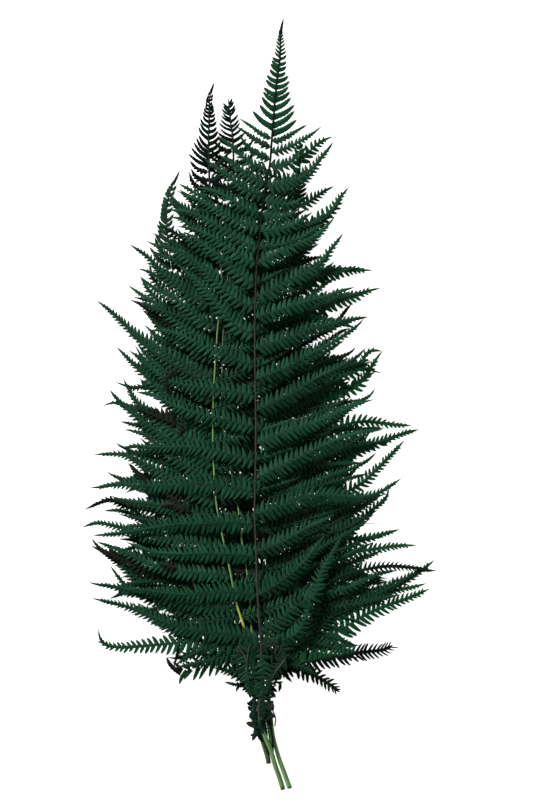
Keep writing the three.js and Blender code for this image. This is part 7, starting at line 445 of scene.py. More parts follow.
      ('R','h',6.59,'h',[(5.5,-124,6.87),(22.6,-116.6,6.31),(38.9,-107.8,5.37),(54.4,-97.5,4.08),(68.9,-85.9,2.72),(82.3,-72.9,1.6)]),
      ('R','h',6.67,'h',[(6,-11.6,7),(23.8,-6.4,6.83),(41.3,0.2,5.83),(58.2,7.8,4.51),(74.7,16.5,3.15),(90.4,26.4,2.04)]),
      ('R','h',6.67,'h',[(-1.3,-58.1,7),(16.2,-51.8,6.73),(33.6,-45.2,5.73),(50.7,-38,4.41),(67.6,-30.3,3.05),(84.4,-22.1,1.93)]),
      ('L','h',6.82,'h',[(6.5,-135.6,6.84),(-16.7,-134.9,5.92),(-40,-135,5.55),(-63.2,-135.9,5.01),(-86.4,-137.6,4.86),(-109.5,-140,4.86)]),
      ('R','h',6.04,'h',[(8,-186.8,6.8),(22,-187.2,6.63),(35.9,-187.4,6.09),(49.9,-187.5,5.29),(63.8,-187.4,4.3),(77.8,-187.2,3.27)]),
      ('L','h',6.82,'h',[(30.6,162.8,6.27),(14.9,167.4,5.91),(-0.3,173.1,5.75),(-15.2,179.7,5.48),(-29.5,187.4,5.2),(-43.3,196,5.04)]),
      ('R','h',6.59,'h',[(6.9,-139.5,6.83),(25.1,-136,6.67),(43.2,-131.6,5.75),(61,-126.3,4.47),(78.6,-120.2,3.11),(95.9,-113.2,1.99)]),
      ('R','h',6.74,'h',[(15.2,38.8,7),(31.3,37.7,6.62),(47.5,35.6,5.82),(63.6,32.9,4.72),(79.4,29.2,3.51),(95.1,24.7,2.38)]),
      ('R','h',6.51,'h',[(0,-46.5,7),(17.2,-39.1,6.86),(33.5,-30.3,5.85),(49,-20,4.53),(63.5,-8.4,3.17),(76.9,4.6,2.06)]),
      ('R','h',6.2,'h',[(4,-112.4,6.9),(21.9,-107.1,6.65),(39.3,-100.6,5.65),(56.2,-93,4.33),(72.7,-84.2,2.97),(88.5,-74.4,1.86)]),
      ('R','h',6.28,'h',[(-1.2,-69.8,7),(16.3,-63.5,6.49),(33.7,-56.8,5.49),(50.8,-49.6,4.16),(67.7,-41.9,2.81),(84.4,-33.7,1.69)]),
      ('L','h',6.2,'h',[(5.9,-127.9,6.86),(-16.8,-122.7,6.51),(-39.4,-117.4,6.13),(-62,-112,5.59),(-84.6,-106.5,5.44),(-107.1,-100.8,5.44)]),
      ('L','h',6.12,'h',[(22.7,89.1,7),(0.9,97,6.25),(-20.8,105.3,5.79),(-42.2,114.3,5.25),(-63.4,123.9,5.09),(-84.3,134.2,5.09)]),
      ('L','h',6.2,'h',[(5.3,-15.5,7),(-17,-8.9,6.16),(-38.8,-0.9,5.7),(-60,8.8,5.15),(-80.5,19.7,5),(-100.2,32,5)]),
      ('R','h',5.89,'h',[(7.8,-196.1,6.8),(21.7,-195.4,6.96),(35.7,-195.1,6.51),(49.6,-195.3,5.7),(63.6,-195.8,4.72),(77.5,-196.8,3.68)]),
      ('R','h',6.74,'h',[(2.1,-96.9,6.94),(19.1,-89.5,6.45),(35.5,-80.7,5.45),(51,-70.4,4.13),(65.4,-58.7,2.77),(78.9,-45.8,1.65)]),
      ('L','h',6.51,'h',[(4.5,-116.2,6.89),(-18.7,-115.6,5.86),(-42,-115.6,5.4),(-65.2,-116.6,4.85),(-88.4,-118.2,4.7),(-111.5,-120.6,4.7)]),
      ('R','h',6.59,'h',[(6.2,-131.8,6.85),(24.8,-131.2,6.73),(43.4,-131.3,5.8),(62,-132,4.52),(80.6,-133.3,3.16),(99.1,-135.2,2.04)]),
      ('R','h',6.2,'h',[(4.5,-19.4,7),(23.1,-19.5,6.58),(41.7,-19.4,5.57),(60.3,-19.1,4.25),(78.9,-18.7,2.89),(97.5,-18,1.78)]),
      ('R','h',6.43,'h',[(8.1,-163.5,6.8),(21.8,-165.9,6.5),(35.5,-168.6,5.93),(49.2,-171.5,5.13),(62.7,-174.7,4.15),(76.3,-178,3.11)]),
      ('L','h',6.2,'h',[(30.1,155,6.44),(14.1,158.1,5.85),(-1.7,161.9,5.67),(-17.2,166.5,5.39),(-32.7,171.9,5.08),(-47.7,177.9,4.9)]),
      ('R','h',6.28,'h',[(7.6,-147.2,6.81),(26,-144.9,6.56),(44.5,-142.8,5.65),(63,-141,4.38),(81.6,-139.4,3.01),(100.1,-138.1,1.9)]),
      ('R','h',6.51,'h',[(20.5,73.6,7),(33.4,76.6,6.67),(46.2,79.6,6.07),(59,82.6,5.28),(71.8,85.7,4.34),(84.6,89,3.35)]),
      ('R','h',6.04,'h',[(10.3,11.6,7),(26.3,14.7,6.94),(42.2,18.5,6.15),(57.8,23.2,5.05),(73.1,28.5,3.85),(88.2,34.6,2.72)]),
      ('L','h',6.35,'h',[(23.9,96.9,7),(2.5,106,6.54),(-17.9,117.1,6.08),(-37.3,130,5.54),(-55.5,144.5,5.39),(-72.1,160.7,5.39)]),
      ('R','h',6.43,'h',[(2.4,-31,7),(21,-31.1,6.93),(39.6,-31,5.93),(58.2,-30.8,4.6),(76.8,-30.3,3.25),(95.4,-29.6,2.13)]),
      ('L','h',6.28,'h',[(7.2,-143.4,6.82),(-16,-142.7,6.09),(-39.3,-142.8,5.73),(-62.5,-143.7,5.19),(-85.7,-145.3,5.04),(-108.8,-147.7,5.04)]),
      ('R','h',6.43,'h',[(3.1,-104.6,6.92),(21.7,-104.7,7.01),(40.3,-104.6,6.01),(58.9,-104.4,4.69),(77.5,-103.9,3.33),(96,-103.2,2.22)]),
      ('R','h',6.2,'h',[(8.3,-172.8,6.8),(22.2,-174.2,6.78),(35.9,-176.4,6.29),(49.6,-179.3,5.49),(63,-183.1,4.5),(76.2,-187.6,3.47)]),
      ('R','h',6.12,'h',[(0.5,-85.2,6.97),(19,-83.5,6.53),(37.5,-81.3,5.52),(55.9,-78.5,4.2),(74.2,-75.2,2.84),(92.4,-71.3,1.73)]),
      ('R','h',6.43,'h',[(7.8,-154.2,6.8),(21.7,-155.6,6.92),(35.5,-157.8,6.45),(49.1,-160.7,5.65),(62.5,-164.5,4.67),(75.7,-169,3.64)]),
      ('L','h',6.82,'h',[(1.7,-34.9,7),(-21.6,-34.2,6.38),(-44.8,-34.3,5.92),(-68,-35.2,5.37),(-91.3,-36.8,5.22),(-114.4,-39.2,5.22)]),
      ('R','s',2.02,'g',[(7.6,-222,10.6),(10.3,-224.4,10),(12.4,-227.2,9.4)]),
      ('R','s',2.33,'d',[(6.9,-218.2,10.8),(10.3,-220.5,10.2),(13.7,-222.6,9.6)]),
      ('R','s',2.02,'d',[(8.4,-231,11),(9.8,-234.1,10.2),(10,-237.9,9.4)]),
      ('R','h',6.2,'h',[(4.6,-117.1,6.59),(18.2,-110.5,7.19),(31.7,-104,6.88),(45.2,-97.4,6.23),(57.9,-91.3,5.49),(70.5,-84.6,4.68),(83.2,-77.3,3.84),(95.8,-69.4,3.04)],45.1),
      ('R','h',6.2,'h',[(7,-6.3,6.84),(12.4,-5.7,6.98),(17.7,-5.1,7.26),(23.1,-4.6,7.47),(36.9,-3.1,7.14),(50.8,-1,6.53),(64.8,1.6,5.79),(78.6,4.8,4.98)],16.1),
      ('R','h',6.2,'h',[(8,-188.1,7.01),(32.1,-176.5,7.43),(56.1,-164.9,6.23),(80.1,-153.2,4.72),(92.7,-147.1,3.93),(105.4,-140.4,3.2),(118.1,-133.1,2.61),(130.7,-125.2,2.22)],80.1),
      ('R','h',6.2,'h',[(5.8,-126.5,6.85),(22.2,-118.3,7.49),(38.7,-110.1,6.87),(55.1,-102,5.97),(64.2,-97.5,5.41),(73.4,-92.7,4.81),(82.5,-87.4,4.21),(91.6,-81.8,3.61)],55.1),
      ('R','h',6.2,'h',[(0.7,-40.8,6.75),(17.2,-39.1,7.39),(33.7,-37.3,6.93),(50.2,-35.6,6.16),(64.1,-34.1,5.41),(77.9,-32,4.6),(91.9,-29.4,3.79),(105.7,-26.2,3.05)],49.7),
      ('R','h',6.2,'h',[(3.5,-107.9,6.81),(18,-112.9,7.42),(32.6,-117.9,7.07),(47.2,-122.9,6.39),(60.3,-127.4,5.66),(73.4,-131.4,4.88),(86.5,-134.7,4.1),(99.7,-137.6,3.37)],46.3),
      ('R','h',6.2,'h',[(12.6,23.7,7.18),(18.6,24.4,7.35),(24.7,25,7.67),(30.8,25.7,7.82),(44.7,27.1,7.39),(58.6,29.2,6.76),(72.5,31.9,6.01),(86.4,35,5.19)],18.3),
      ('R','h',6.2,'h',[(18.1,57.3,7.09),(19.5,57.4,7.1),(20.9,57.6,7.14),(22.4,57.7,7.18),(36.2,59.3,7.74),(50.1,61.3,7.3),(64,63.9,6.67),(77.9,67.1,5.91)],4.3),
      ('R','h',6.2,'h',[(8.2,-178.1,6.8),(20.5,-172.2,7.36),(32.9,-166.2,7.19),(45.2,-160.2,6.63),(57.9,-154.1,5.93),(70.5,-147.3,5.12),(83.2,-140,4.28),(95.8,-132.1,3.46)],41.1),
      ('R','h',6.2,'h',[(0.9,-88,6.74),(16.2,-80.4,7.38),(31.4,-72.7,6.87),(46.7,-65.1,6.07),(56.5,-54.9,5.29),(66.5,-44.3,4.45),(76.3,-33,3.61),(86.1,-21.2,2.84)],51.2),
      ('L','h',6.2,'h',[(8.4,1.2,7.15),(0.1,5.4,6.76),(-8.2,9.6,5.89),(-16.5,13.7,4.96),(-21.4,27.1,4.35),(-26.1,41.1,4.35),(-30.9,55.6,4.35),(-35.6,70.6,4.35)],27.9),
      ('L','h',6.2,'h',[(30.1,154.7,6.73),(7.7,147,5.3),(-14.7,139.3,4.49),(-37.1,131.6,4.49),(-46.5,128.3,4.49),(-56.1,125.5,4.49),(-65.5,123.1,4.35),(-75,121.1,4.06)],71.1),
      ('R','h',6.2,'h',[(14,32.4,6.83),(25.8,28.4,7.33),(37.6,24.4,7.3),(49.3,20.5,6.83),(55.5,18.4,6.53),(61.7,16.5,6.21),(67.9,14.9,5.87),(74.1,13.6,5.52)],37.2),
      ('L','h',4.26,'h',[(29,138.5,6.8),(13.6,140.2,6),(-1.8,141.8,4.71),(-17.2,143.5,4.4),(-31.1,144.9,4.4),(-45,147,4.4),(-58.9,149.7,4.4),(-72.8,152.8,4.21)],46.5),
      ('R','h',4.26,'h',[(25,117,6.77),(34.8,127.2,7.34),(44.8,137.9,7.11),(54.6,149.1,6.48),(64.4,161,5.68)],0),
      ('R','h',6.2,'h',[(22.3,85.8,7.11),(24,86.7,7.13),(25.6,87.5,7.18),(27.3,88.4,7.26),(34.4,95.6,7.73),(41.6,103.4,7.54),(48.6,111.5,7.12),(55.8,120,6.6)],5.6),
      ('L','h',6.2,'h',[(9.5,7.2,6.88),(-10.3,17,5.25),(-30.2,26.9,4.08),(-50.1,36.7,4.08),(-59.2,41.2,4.08),(-68.3,46,4.08),(-77.5,51.3,4.01),(-86.6,57,3.73)],66.6),
      ('L','h',6.2,'h',[(16.7,48.2,7.02),(3.6,54.8,6.17),(-9.6,61.4,4.71),(-22.7,68,4.22),(-27.6,81.4,4.22),(-32.3,95.3,4.22),(-37.1,109.8,4.22),(-41.8,124.9,4)],44.1),
      ('R','h',6.2,'h',[(7.3,-144.8,6.9),(20.1,-138.4,7.47),(32.8,-132.1,7.25),(45.5,-125.7,6.65),(50.3,-112.3,5.92),(55.1,-98.3,5.09),(59.8,-83.9,4.21),(64.6,-68.8,3.36)],42.7),
      ('L','h',4.26,'h',[(24.3,99.5,6.82),(1.8,110.7,4.92),(-20.6,121.9,4.05),(-43.1,133.1,4.05),(-50.2,140.4,4.05),(-57.3,148.2,4.01),(-64.4,156.3,3.74),(-71.5,164.8,3.33)],75.3),
      ('L','h',4.26,'h',[(30.9,174.5,6),(7.4,166.5,4.87),(-16.1,158.6,4.33),(-39.6,150.7,4.33),(-45.8,148.6,4.33),(-52,146.7,4.33),(-58.2,145.1,4.31),(-64.4,143.8,4.21)],74.5),
      ('R','h',6.2,'h',[(-1.5,-66.4,7.27),(15.7,-58,7.91),(32.8,-49.6,7.24),(49.9,-41.2,6.29),(59,-36.7,5.72),(68.1,-31.9,5.12),(77.2,-26.6,4.52),(86.4,-20.9,3.93)],57.2),
      ('R','h',6.2,'h',[(0.2,-82.6,6.79),(19.4,-80.5,7.43),(38.7,-78.4,6.73),(57.9,-76.3,5.76),(68,-75.3,5.19),(78,-73.8,4.6),(88.1,-71.9,4.02),(98.1,-69.6,3.46)],58.1),
      ('R','h',5.81,'h',[(8.3,-173.1,6.99),(13.3,-174.8,7.12),(18.2,-176.5,7.39),(23.2,-178.2,7.6),(37.7,-183.2,7.24),(52.3,-187.6,6.57),(66.8,-191.3,5.77),(81.4,-194.4,4.91)],15.8),
      ('R','h',5.81,'h',[(8.1,-162.1,6.76),(21.2,-160.7,7.29),(34.4,-159.3,7.18),(47.6,-157.9,6.65),(63,-156.3,5.87),(78.5,-154,5),(93.9,-151.1,4.09),(109.4,-147.6,3.24)],39.8),
      ('L','h',4.26,'h',[(27.8,126.5,6.44),(17.4,131.6,5.93),(6.9,136.6,4.88),(-3.5,141.7,4.04),(-13.4,146.6,3.93),(-23.2,151.8,3.93),(-33,157.5,3.93),(-42.8,163.5,3.93)],34.9),
      ('R','h',5.81,'h',[(2.3,-98.9,7.03),(20.4,-89.9,7.65),(38.5,-80.8,6.89),(56.6,-71.8,5.85),(61.9,-56.9,4.95),(67.2,-41.4,4.02),(72.5,-25.3,3.16),(77.8,-8.5,2.49)],60.7),
      ('L','h',5.81,'h',[(18,56.4,6.87),(2.9,63.7,5.82),(-12.1,70.9,4.28),(-27.1,78.2,4.07),(-41.2,85,4.07),(-55.2,92.5,4.07),(-69.2,100.6,4),(-83.4,109.4,3.49)],50),
      ('L','h',5.81,'h',[(2.4,-30.3,7.24),(-11.7,-23.5,6.29),(-25.8,-16,4.76),(-39.8,-7.9,4.44),(-53.9,0.9,4.44)],0),
      ('L','h',4.26,'h',[(29.3,143.4,6.47),(22.7,144.2,6.3),(16,144.9,5.86),(9.4,145.6,5.3),(-6,147.3,4.21),(-21.4,149.6,4.12),(-36.9,152.4,4.12),(-52.4,156,4.12)],20),
      ('L','h',5.81,'h',[(6.2,-10.8,7.07),(-2.5,-6.4,6.65),(-11.2,-2.1,5.73),(-19.9,2.2,4.77),(-30.8,13.5,4.27),(-41.8,25.4,4.27),(-52.7,37.9,4.27),(-63.7,51.1,4.24)],29.1),
      ('L','h',5.81,'h',[(16.7,47.9,6.84),(10.9,48.5,6.68),(5.1,49.1,6.26),(-0.7,49.8,5.7),(-16.2,51.4,4.26),(-31.6,53.7,4.04),(-47,56.6,4.04),(-62.5,60.1,4.04)],17.5),
      ('L','h',5.81,'h',[(19.5,66.5,7.21),(8.9,67.7,6.72),(-1.7,68.8,5.67),(-12.4,69.9,4.7),(-27.8,71.5,4.41),(-43.2,73.9,4.41),(-58.6,76.7,4.41),(-74.1,80.2,4.38)],32),
      ('L','h',4.26,'h',[(21.9,83.1,6.75),(7.7,90.2,5.77),(-6.5,97.3,4.25),(-20.7,104.4,3.95),(-26,119.2,3.95),(-31.3,134.7,3.95),(-36.6,150.8,3.89),(-41.9,167.6,3.37)],47.7),
      ('R','h',5.81,'h',[(8.1,-183.4,6.92),(19.7,-177.7,7.44),(31.3,-171.9,7.36),(42.8,-166.1,6.86),(48.1,-151.3,6.08),(53.4,-135.8,5.16),(58.7,-119.7,4.18),(64,-102.9,3.25)],38.8),
      ('L','h',5.81,'h',[(1,-94.5,6.84),(-10,-83.2,5.89),(-21,-71.4,4.38),(-32,-58.8,4.09),(-42.9,-45.7,4.09)],0),
      ('R','h',5.81,'h',[(8.3,-174.9,6.83),(22.2,-168,7.44),(36.1,-161,7.09),(49.9,-154.1,6.4),(57.6,-146.2,5.82),(65.3,-137.9,5.18),(73,-129.1,4.51),(80.6,-119.9,3.83)],46.6),
      ('R','h',5.81,'h',[(0.1,-46.2,6.8),(13,-39.7,7.38),(25.9,-33.3,7.14),(38.8,-26.8,6.53),(44.1,-11.9,5.72),(49.4,3.6,4.78),(54.7,19.7,3.81),(60,36.4,2.92)],43.3),
      ('R','h',5.81,'h',[(-0,-47.1,6.86),(5.4,-49,7.01),(10.8,-50.8,7.31),(16.2,-52.7,7.5),(30.7,-57.7,7.06),(45.3,-62,6.37),(59.9,-65.8,5.56),(74.4,-68.9,4.7)],17.2),
      ('R','h',5.81,'h',[(-1.2,-41.2,7),(12.9,-34.3,7.61),(26.9,-26.8,7.24),(41,-18.8,6.51),(55.1,-10,5.61)],0),
      ('R','h',5.81,'h',[(1.1,-89.9,6.73),(13.8,-88.5,7.24),(26.5,-87.2,7.18),(39.2,-85.8,6.69),(50,-84.6,6.17),(60.8,-83,5.58),(71.6,-81,4.95),(82.4,-78.5,4.31)],38.3),
      ('L','h',5.81,'h',[(13.2,27.2,7.14),(-8,37.5,5.37),(-29.1,47.8,4.34),(-50.3,58.1,4.34),(-60.1,62.9,4.34),(-69.9,68.1,4.33),(-79.8,73.9,4.12),(-89.6,79.9,3.72)],70.6),
      ('L','h',4.26,'h',[(24.7,102.9,6.85),(7.5,111.5,5.56),(-9.8,120.1,4.12),(-27,128.7,4.11),(-34.7,136.6,4.11),(-42.4,144.9,4.11),(-50,153.7,4.11),(-57.7,162.9,3.9)],57.9),
      ('R','h',5.81,'h',[(4.9,-119,7.17),(19.2,-117.5,7.74),(33.5,-115.9,7.51),(47.8,-114.4,6.9),(54.3,-113.7,6.58),(60.9,-112.8,6.22),(67.5,-111.5,5.85),(74,-110,5.47)],43.1),
      ('L','h',5.81,'h',[(26.2,114.1,6.66),(-0.6,117,4.68),(-27.5,119.9,4.02),(-54.4,122.8,4.02),(-60.9,123.5,4.02),(-67.5,124.4,4),(-74.1,125.6,3.88),(-80.6,127.2,3.69)],81),
      ('R','h',5.81,'h',[(7.8,-196.6,6.99),(18.4,-191.3,7.47),(29,-186,7.5),(39.6,-180.7,7.07),(50.6,-169.4,6.32),(61.6,-157.5,5.43),(72.5,-145,4.47),(83.5,-131.8,3.53)],35.6),
      ('R','h',5.81,'h',[(-0.1,-80,6.95),(9.2,-75.3,7.35),(18.6,-70.6,7.54),(28,-66,7.19),(38.9,-54.7,6.49),(49.9,-42.8,5.62),(60.9,-30.3,4.66),(71.9,-17.1,3.7)],31.5),
      ('L','h',4.26,'h',[(31.2,189.5,5.1),(12,183,4.51),(-7.2,176.5,3.94),(-26.5,170,3.94),(-32.7,167.9,3.94),(-38.9,166.1,3.94),(-45.1,164.5,3.94),(-51.3,163.1,3.94)],60.9),
      ('R','h',5.81,'h',[(-0.4,-50.8,7.11),(1.4,-49.9,7.13),(3.2,-49,7.19),(5,-48.1,7.28),(19.1,-41.3,7.68),(33.1,-33.8,7.1),(47.2,-25.7,6.3),(61.3,-17,5.37)],6),
    ]),
  "frond_lower_left": dict(
    stalk=[(-62.58,182.12,3.2,0.25),(-66.07,175.15,3.12,0.29),(-68.78,168.95,3.06,0.32),(-71.11,161.97,2.98,0.36),(-72.42,154.22,2.9,0.4),(-72.66,146.47,2.82,0.44),(-72.35,137.18,2.72,0.49),(-71.49,126.33,2.63,0.53),(-69.56,114.7,2.55,0.58),(-66.46,96.88,2.41,0.64),(-62.58,73.62,2.3,0.71),(-57.93,46.5,2.3,0.74),(-52.51,15.5,2.3,0.78),(-46.31,-19.38,2.3,0.83),(-39.33,-56.58,2.3,0.88),(-31.58,-93,2.3,0.93),(-23.06,-127.88,2.3,0.97),(-15.31,-158.88,2.4,1.04),(-8.33,-189.88,2.8,1.2),(-3.68,-217,3.46,1.34),(-0.43,-226.3,3.73,1.39),(0.81,-233.28,3.8,1.4),(1.28,-245.68,3.3,1.42),(2.67,-256.53,2.57,1.43),(5,-265.82,2,1.44),(6.32,-272.8,1.72,1.44),(7.4,-279.39,1.45,1.45)],
    blades=[
      ('L','s',1.16,'g',[(-67.2,171.7,3.09),(-65.1,176.7,2.92),(-62.6,182.1,2.59)]),
      ('L','s',1.08,'g',[(-67.1,172.1,3.09),(-67.9,172.9,2.94),(-68.5,174.2,2.59)]),
      ('L','s',1.08,'g',[(-67.6,170.1,3.07),(-68.6,171.2,2.92),(-69.5,172.7,2.57)]),
      ('L','s',1.63,'g',[(-68.4,168.2,3.05),(-69.8,168.6,2.93),(-70.6,170.9,2.55)]),
      ('L','s',1.63,'g',[(-69.4,165.8,3.03),(-71.1,166.3,2.9),(-72.1,168.6,2.53)]),
      ('L','s',1.63,'g',[(-70.3,162.8,2.99),(-72.2,163.6,2.86),(-73.4,166.2,2.49)]),
      ('L','s',1.63,'g',[(-71.1,158.9,2.95),(-73.4,159.7,2.81),(-75,162.4,2.45)]),
      ('L','s',1.63,'g',[(-71.7,155.8,2.92),(-73.9,156.9,2.78),(-75.5,159.8,2.42)]),
      ('L','s',1.63,'g',[(-72.3,152.3,2.88),(-74.7,153.9,2.74),(-76.5,157.3,2.38)]),
      ('L','s',1.63,'g',[(-72.5,148.8,2.84),(-75,150.3,2.7),(-76.8,153.6,2.34)]),
      ('L','s',1.63,'g',[(-72.6,145.3,2.8),(-75.3,147,2.66),(-77.3,150.6,2.3)]),
      ('L','s',1.63,'g',[(-72.5,142.2,2.77),(-75.4,144,2.62),(-77.6,147.6,2.27)]),
      ('L','s',1.63,'g',[(-72.4,137.6,2.72),(-76,139.7,2.57),(-79,143.8,2.22)]),
      ('L','s',1.63,'g',[(-72.2,133.3,2.68),(-76.5,136.2,2.52),(-80.3,140.9,2.18)]),
      ('L','s',1.63,'g',[(-71.9,127.9,2.64),(-76.1,131.4,2.49),(-79.8,136.8,2.14)]),
      ('L','s',1.63,'g',[(-71.1,121.7,2.6),(-76.7,126.4,2.44),(-81.7,132.9,2.1)]),
      ('R','s',1.71,'g',[(-68.9,168.2,3.05),(-66.8,168.4,2.91),(-65.3,170.9,2.55)]),
      ('R','s',1.71,'g',[(-70.3,163.5,3),(-68.1,164.2,2.86),(-66.5,167,2.5)]),
      ('R','s',1.71,'g',[(-71.1,159.7,2.96),(-68.9,160.1,2.82),(-67.2,162.8,2.46)]),
      ('R','s',1.71,'g',[(-72,155.4,2.91),(-69.5,156.2,2.77),(-67.6,159.3,2.41)]),
      ('R','s',1.71,'g',[(-72.4,150.7,2.86),(-69.9,151.4,2.72),(-68,154.2,2.36)]),
      ('R','s',1.71,'g',[(-72.6,143.8,2.79),(-69.6,145.2,2.64),(-67.2,148.8,2.29)]),
      ('R','s',1.71,'g',[(-72.5,139.9,2.75),(-69.9,141,2.61),(-68,144.3,2.25)]),
      ('R','s',1.71,'g',[(-72.3,135.2,2.7),(-69.1,136.5,2.55),(-66.5,140,2.2)]),
      ('R','s',1.71,'g',[(-72,131,2.67),(-68.9,132,2.52),(-66.5,135.2,2.17)]),
      ('R','s',1.71,'g',[(-71.6,126.3,2.63),(-67.6,128.5,2.48),(-64.3,132.9,2.13)]),
      ('R','s',1.71,'g',[(-71.1,120.1,2.59),(-66.5,121.8,2.42),(-62.6,125.5,2.09)]),
      ('R','s',1.71,'g',[(-70.1,113.9,2.54),(-65.3,115.6,2.38),(-61,119.4,2.04)]),
      ('R','s',1.71,'g',[(-68.8,106.2,2.48),(-64.6,108.4,2.33),(-61,112.8,1.98)]),
      ('L','c',3.1,'g',[(-70.1,114.7,2.55),(-75,118.6,2.51),(-78.9,122.8,2.41),(-82,131,2.19)]),
      ('L','c',3.88,'g',[(-68.4,106.2,2.48),(-74.2,110,2.44),(-79.6,114.3,2.31),(-83.5,120.1,2.12),(-86.2,123.2,1.98)]),
      ('L','p',5.04,'g',[(-66.5,95.3,2.4),(-72.7,97.7,2.36),(-78.9,104.6,2.18),(-83.5,110,1.97),(-88.2,110.4,1.81)]),
      ('L','p',5.42,'g',[(-64.5,83.7,2.32),(-71.9,86.8,2.26),(-78.9,93.8,2.04),(-84.3,100,1.78),(-85.8,110.8,1.39)]),
      ('L','p',5.81,'g',[(-62.6,72.1,2.3),(-71.1,76.7,2.21),(-78.9,81.4,2),(-85.1,87.6,1.72),(-89.3,93.8,1.44),(-93.6,100.8,1.15)]),
      ('L','p',6.2,'b',[(-59.9,56.6,2.3),(-68,61.2,2.22),(-75,64.3,2.05),(-81.2,67.4,1.84),(-86.6,70.5,1.62),(-91.6,73.6,1.41)]),
      ('L','p',6.2,'g',[(-56.4,36.4,2.3),(-64.9,41.1,2.21),(-72.7,45.7,2),(-78.9,51.9,1.72),(-85.1,58.1,1.4),(-90.5,62.8,1.14)]),
      ('L','p',6.2,'g',[(-53.3,17.8,2.3),(-61.8,22.5,2.21),(-71.1,25.6,1.98),(-78.9,27.1,1.72),(-87.4,31,1.38),(-94.4,37.2,1.05),(-102.1,42.6,0.78)]),
      ('L','p',6.59,'g',[(-49,-3.9,2.3),(-57.9,2.3,2.19),(-67.2,5.4,1.94),(-77.3,10.1,1.56),(-86.6,15.5,1.17),(-94.4,20.9,0.87)]),
      ('L','p',6.59,'d',[(-44.8,-27.1,2.3),(-55.6,-19.4,2.14),(-68,-14,1.74),(-78.9,-11.6,1.34),(-88.9,-10.1,0.99),(-99,-6.2,0.71),(-106.8,-2.3,0.6)]),
      ('L','p',6.59,'g',[(-41.3,-45.7,2.3),(-54.1,-38.8,2.11),(-68,-29.4,1.58),(-81.2,-22.5,1.05),(-92.8,-16.7,0.7),(-100.6,-14.7,0.61),(-108.7,-12.8,0.6)]),
      ('L','p',6.59,'g',[(-37.8,-63.6,2.3),(-50.2,-56.6,2.12),(-63.4,-48.1,1.63),(-74.2,-40.3,1.15),(-83.5,-33.3,0.8),(-88.9,-29.8,0.67),(-93.6,-25.2,0.6)]),
      ('L','p',6.59,'g',[(-33.9,-82.9,2.3),(-47.9,-76,2.08),(-63.4,-69,1.53),(-78.9,-63.2,0.96),(-92.8,-59.7,0.64),(-104.4,-58.5,0.6),(-113.7,-55.4,0.6),(-119.5,-51.9,0.6)]),
      ('L','p',6.59,'g',[(-30.4,-98.4,2.3),(-46.3,-90.7,2.03),(-61.8,-81.4,1.42),(-75.8,-72.1,0.86),(-86.6,-65.9,0.62),(-97.5,-65.5,0.6),(-105.2,-68.6,0.6)]),
      ('L','p',6.59,'g',[(-26.2,-115.5,2.3),(-42.4,-108.5,2.03),(-61.8,-102.3,1.33),(-78.9,-94.5,0.75),(-91.3,-88.7,0.6),(-100.6,-84.9,0.6),(-109.9,-82.2,0.6),(-121.1,-82.5,0.6)]),
      ('L','p',6.59,'b',[(-21.5,-134.1,2.3),(-37,-131,2.08),(-54.1,-124.8,1.48),(-69.6,-117,0.89),(-85.1,-110.8,0.6),(-99,-105.4,0.6),(-109.9,-104.6,0.6)]),
      ('L','p',6.98,'b',[(-18.4,-146.5,2.3),(-34.7,-148.8,2.06),(-54.1,-148.8,1.42),(-71.1,-144.9,0.84),(-86.6,-138.3,0.6),(-100.6,-129.4,0.6),(-113,-121.3,0.6),(-123,-114.3,0.6),(-131.6,-109.7,0.6)]),
      ('L','p',6.98,'g',[(-14.5,-162,2.44),(-30.8,-165.1,2.17),(-50.2,-162,1.44),(-69.6,-155.8,0.76),(-85.1,-148.8,0.6),(-98.2,-145.7,0.6),(-107.5,-147.2,0.6),(-117.2,-151.1,0.6)]),
      ('L','p',6.98,'b',[(-11,-177.5,2.64),(-26.9,-172.8,2.32),(-44,-163.5,1.5),(-55.6,-162,1.02),(-61,-169.7,0.75),(-63,-182.1,0.6),(-64.1,-193.8,0.6),(-67.2,-203.8,0.6)]),
      ('L','p',6.98,'w',[(-7.6,-193.8,2.85),(-16.9,-199.2,2.68),(-29.3,-197.6,2.19),(-42.4,-193.8,1.5),(-54.1,-193.8,0.99),(-63.4,-197.6,0.71),(-71.9,-196.8,0.61)]),
      ('R','h',6.59,'g',[(-66.5,97.3,2.42),(-58.6,99.2,2.38),(-50.8,101.5,2.28),(-43.1,104.2,2.13),(-35.5,107.3,1.96),(-28.1,110.7,1.77)]),
      ('R','h',6.59,'g',[(-62.2,71.5,2.3),(-53.5,74.4,2.25),(-45,77.7,2.13),(-36.8,81.6,1.96),(-28.7,86,1.75),(-21,90.9,1.54)]),
      ('R','h',6.59,'g',[(-58.3,48.7,2.3),(-49.3,51.6,2.25),(-40.3,55.1,2.12),(-31.7,59.2,1.93),(-23.4,63.9,1.71),(-15.4,69,1.5)]),
      ('R','h',6.59,'g',[(-54.1,24.6,2.3),(-43.9,27.7,2.24),(-34,31.5,2.08),(-24.3,35.8,1.86),(-14.8,40.8,1.61),(-5.7,46.3,1.38)]),
      ('R','h',6.59,'g',[(-49.7,-0.3,2.3),(-39.2,2.1,2.24),(-28.7,5,2.07),(-18.4,8.3,1.84),(-8.3,12.2,1.59),(1.7,16.4,1.36)]),
      ('R','h',6.59,'g',[(-45.8,-22.2,2.3),(-34.2,-19.6,2.22),(-22.8,-16.4,2.03),(-11.5,-12.9,1.77),(-0.4,-8.8,1.5),(10.4,-4.1,1.27)]),
      ('R','h',6.59,'g',[(-41,-47.7,2.3),(-28.9,-45.3,2.22),(-16.9,-42.3,2.01),(-5.2,-38.9,1.74),(6.5,-35,1.46),(18.1,-30.6,1.23)]),
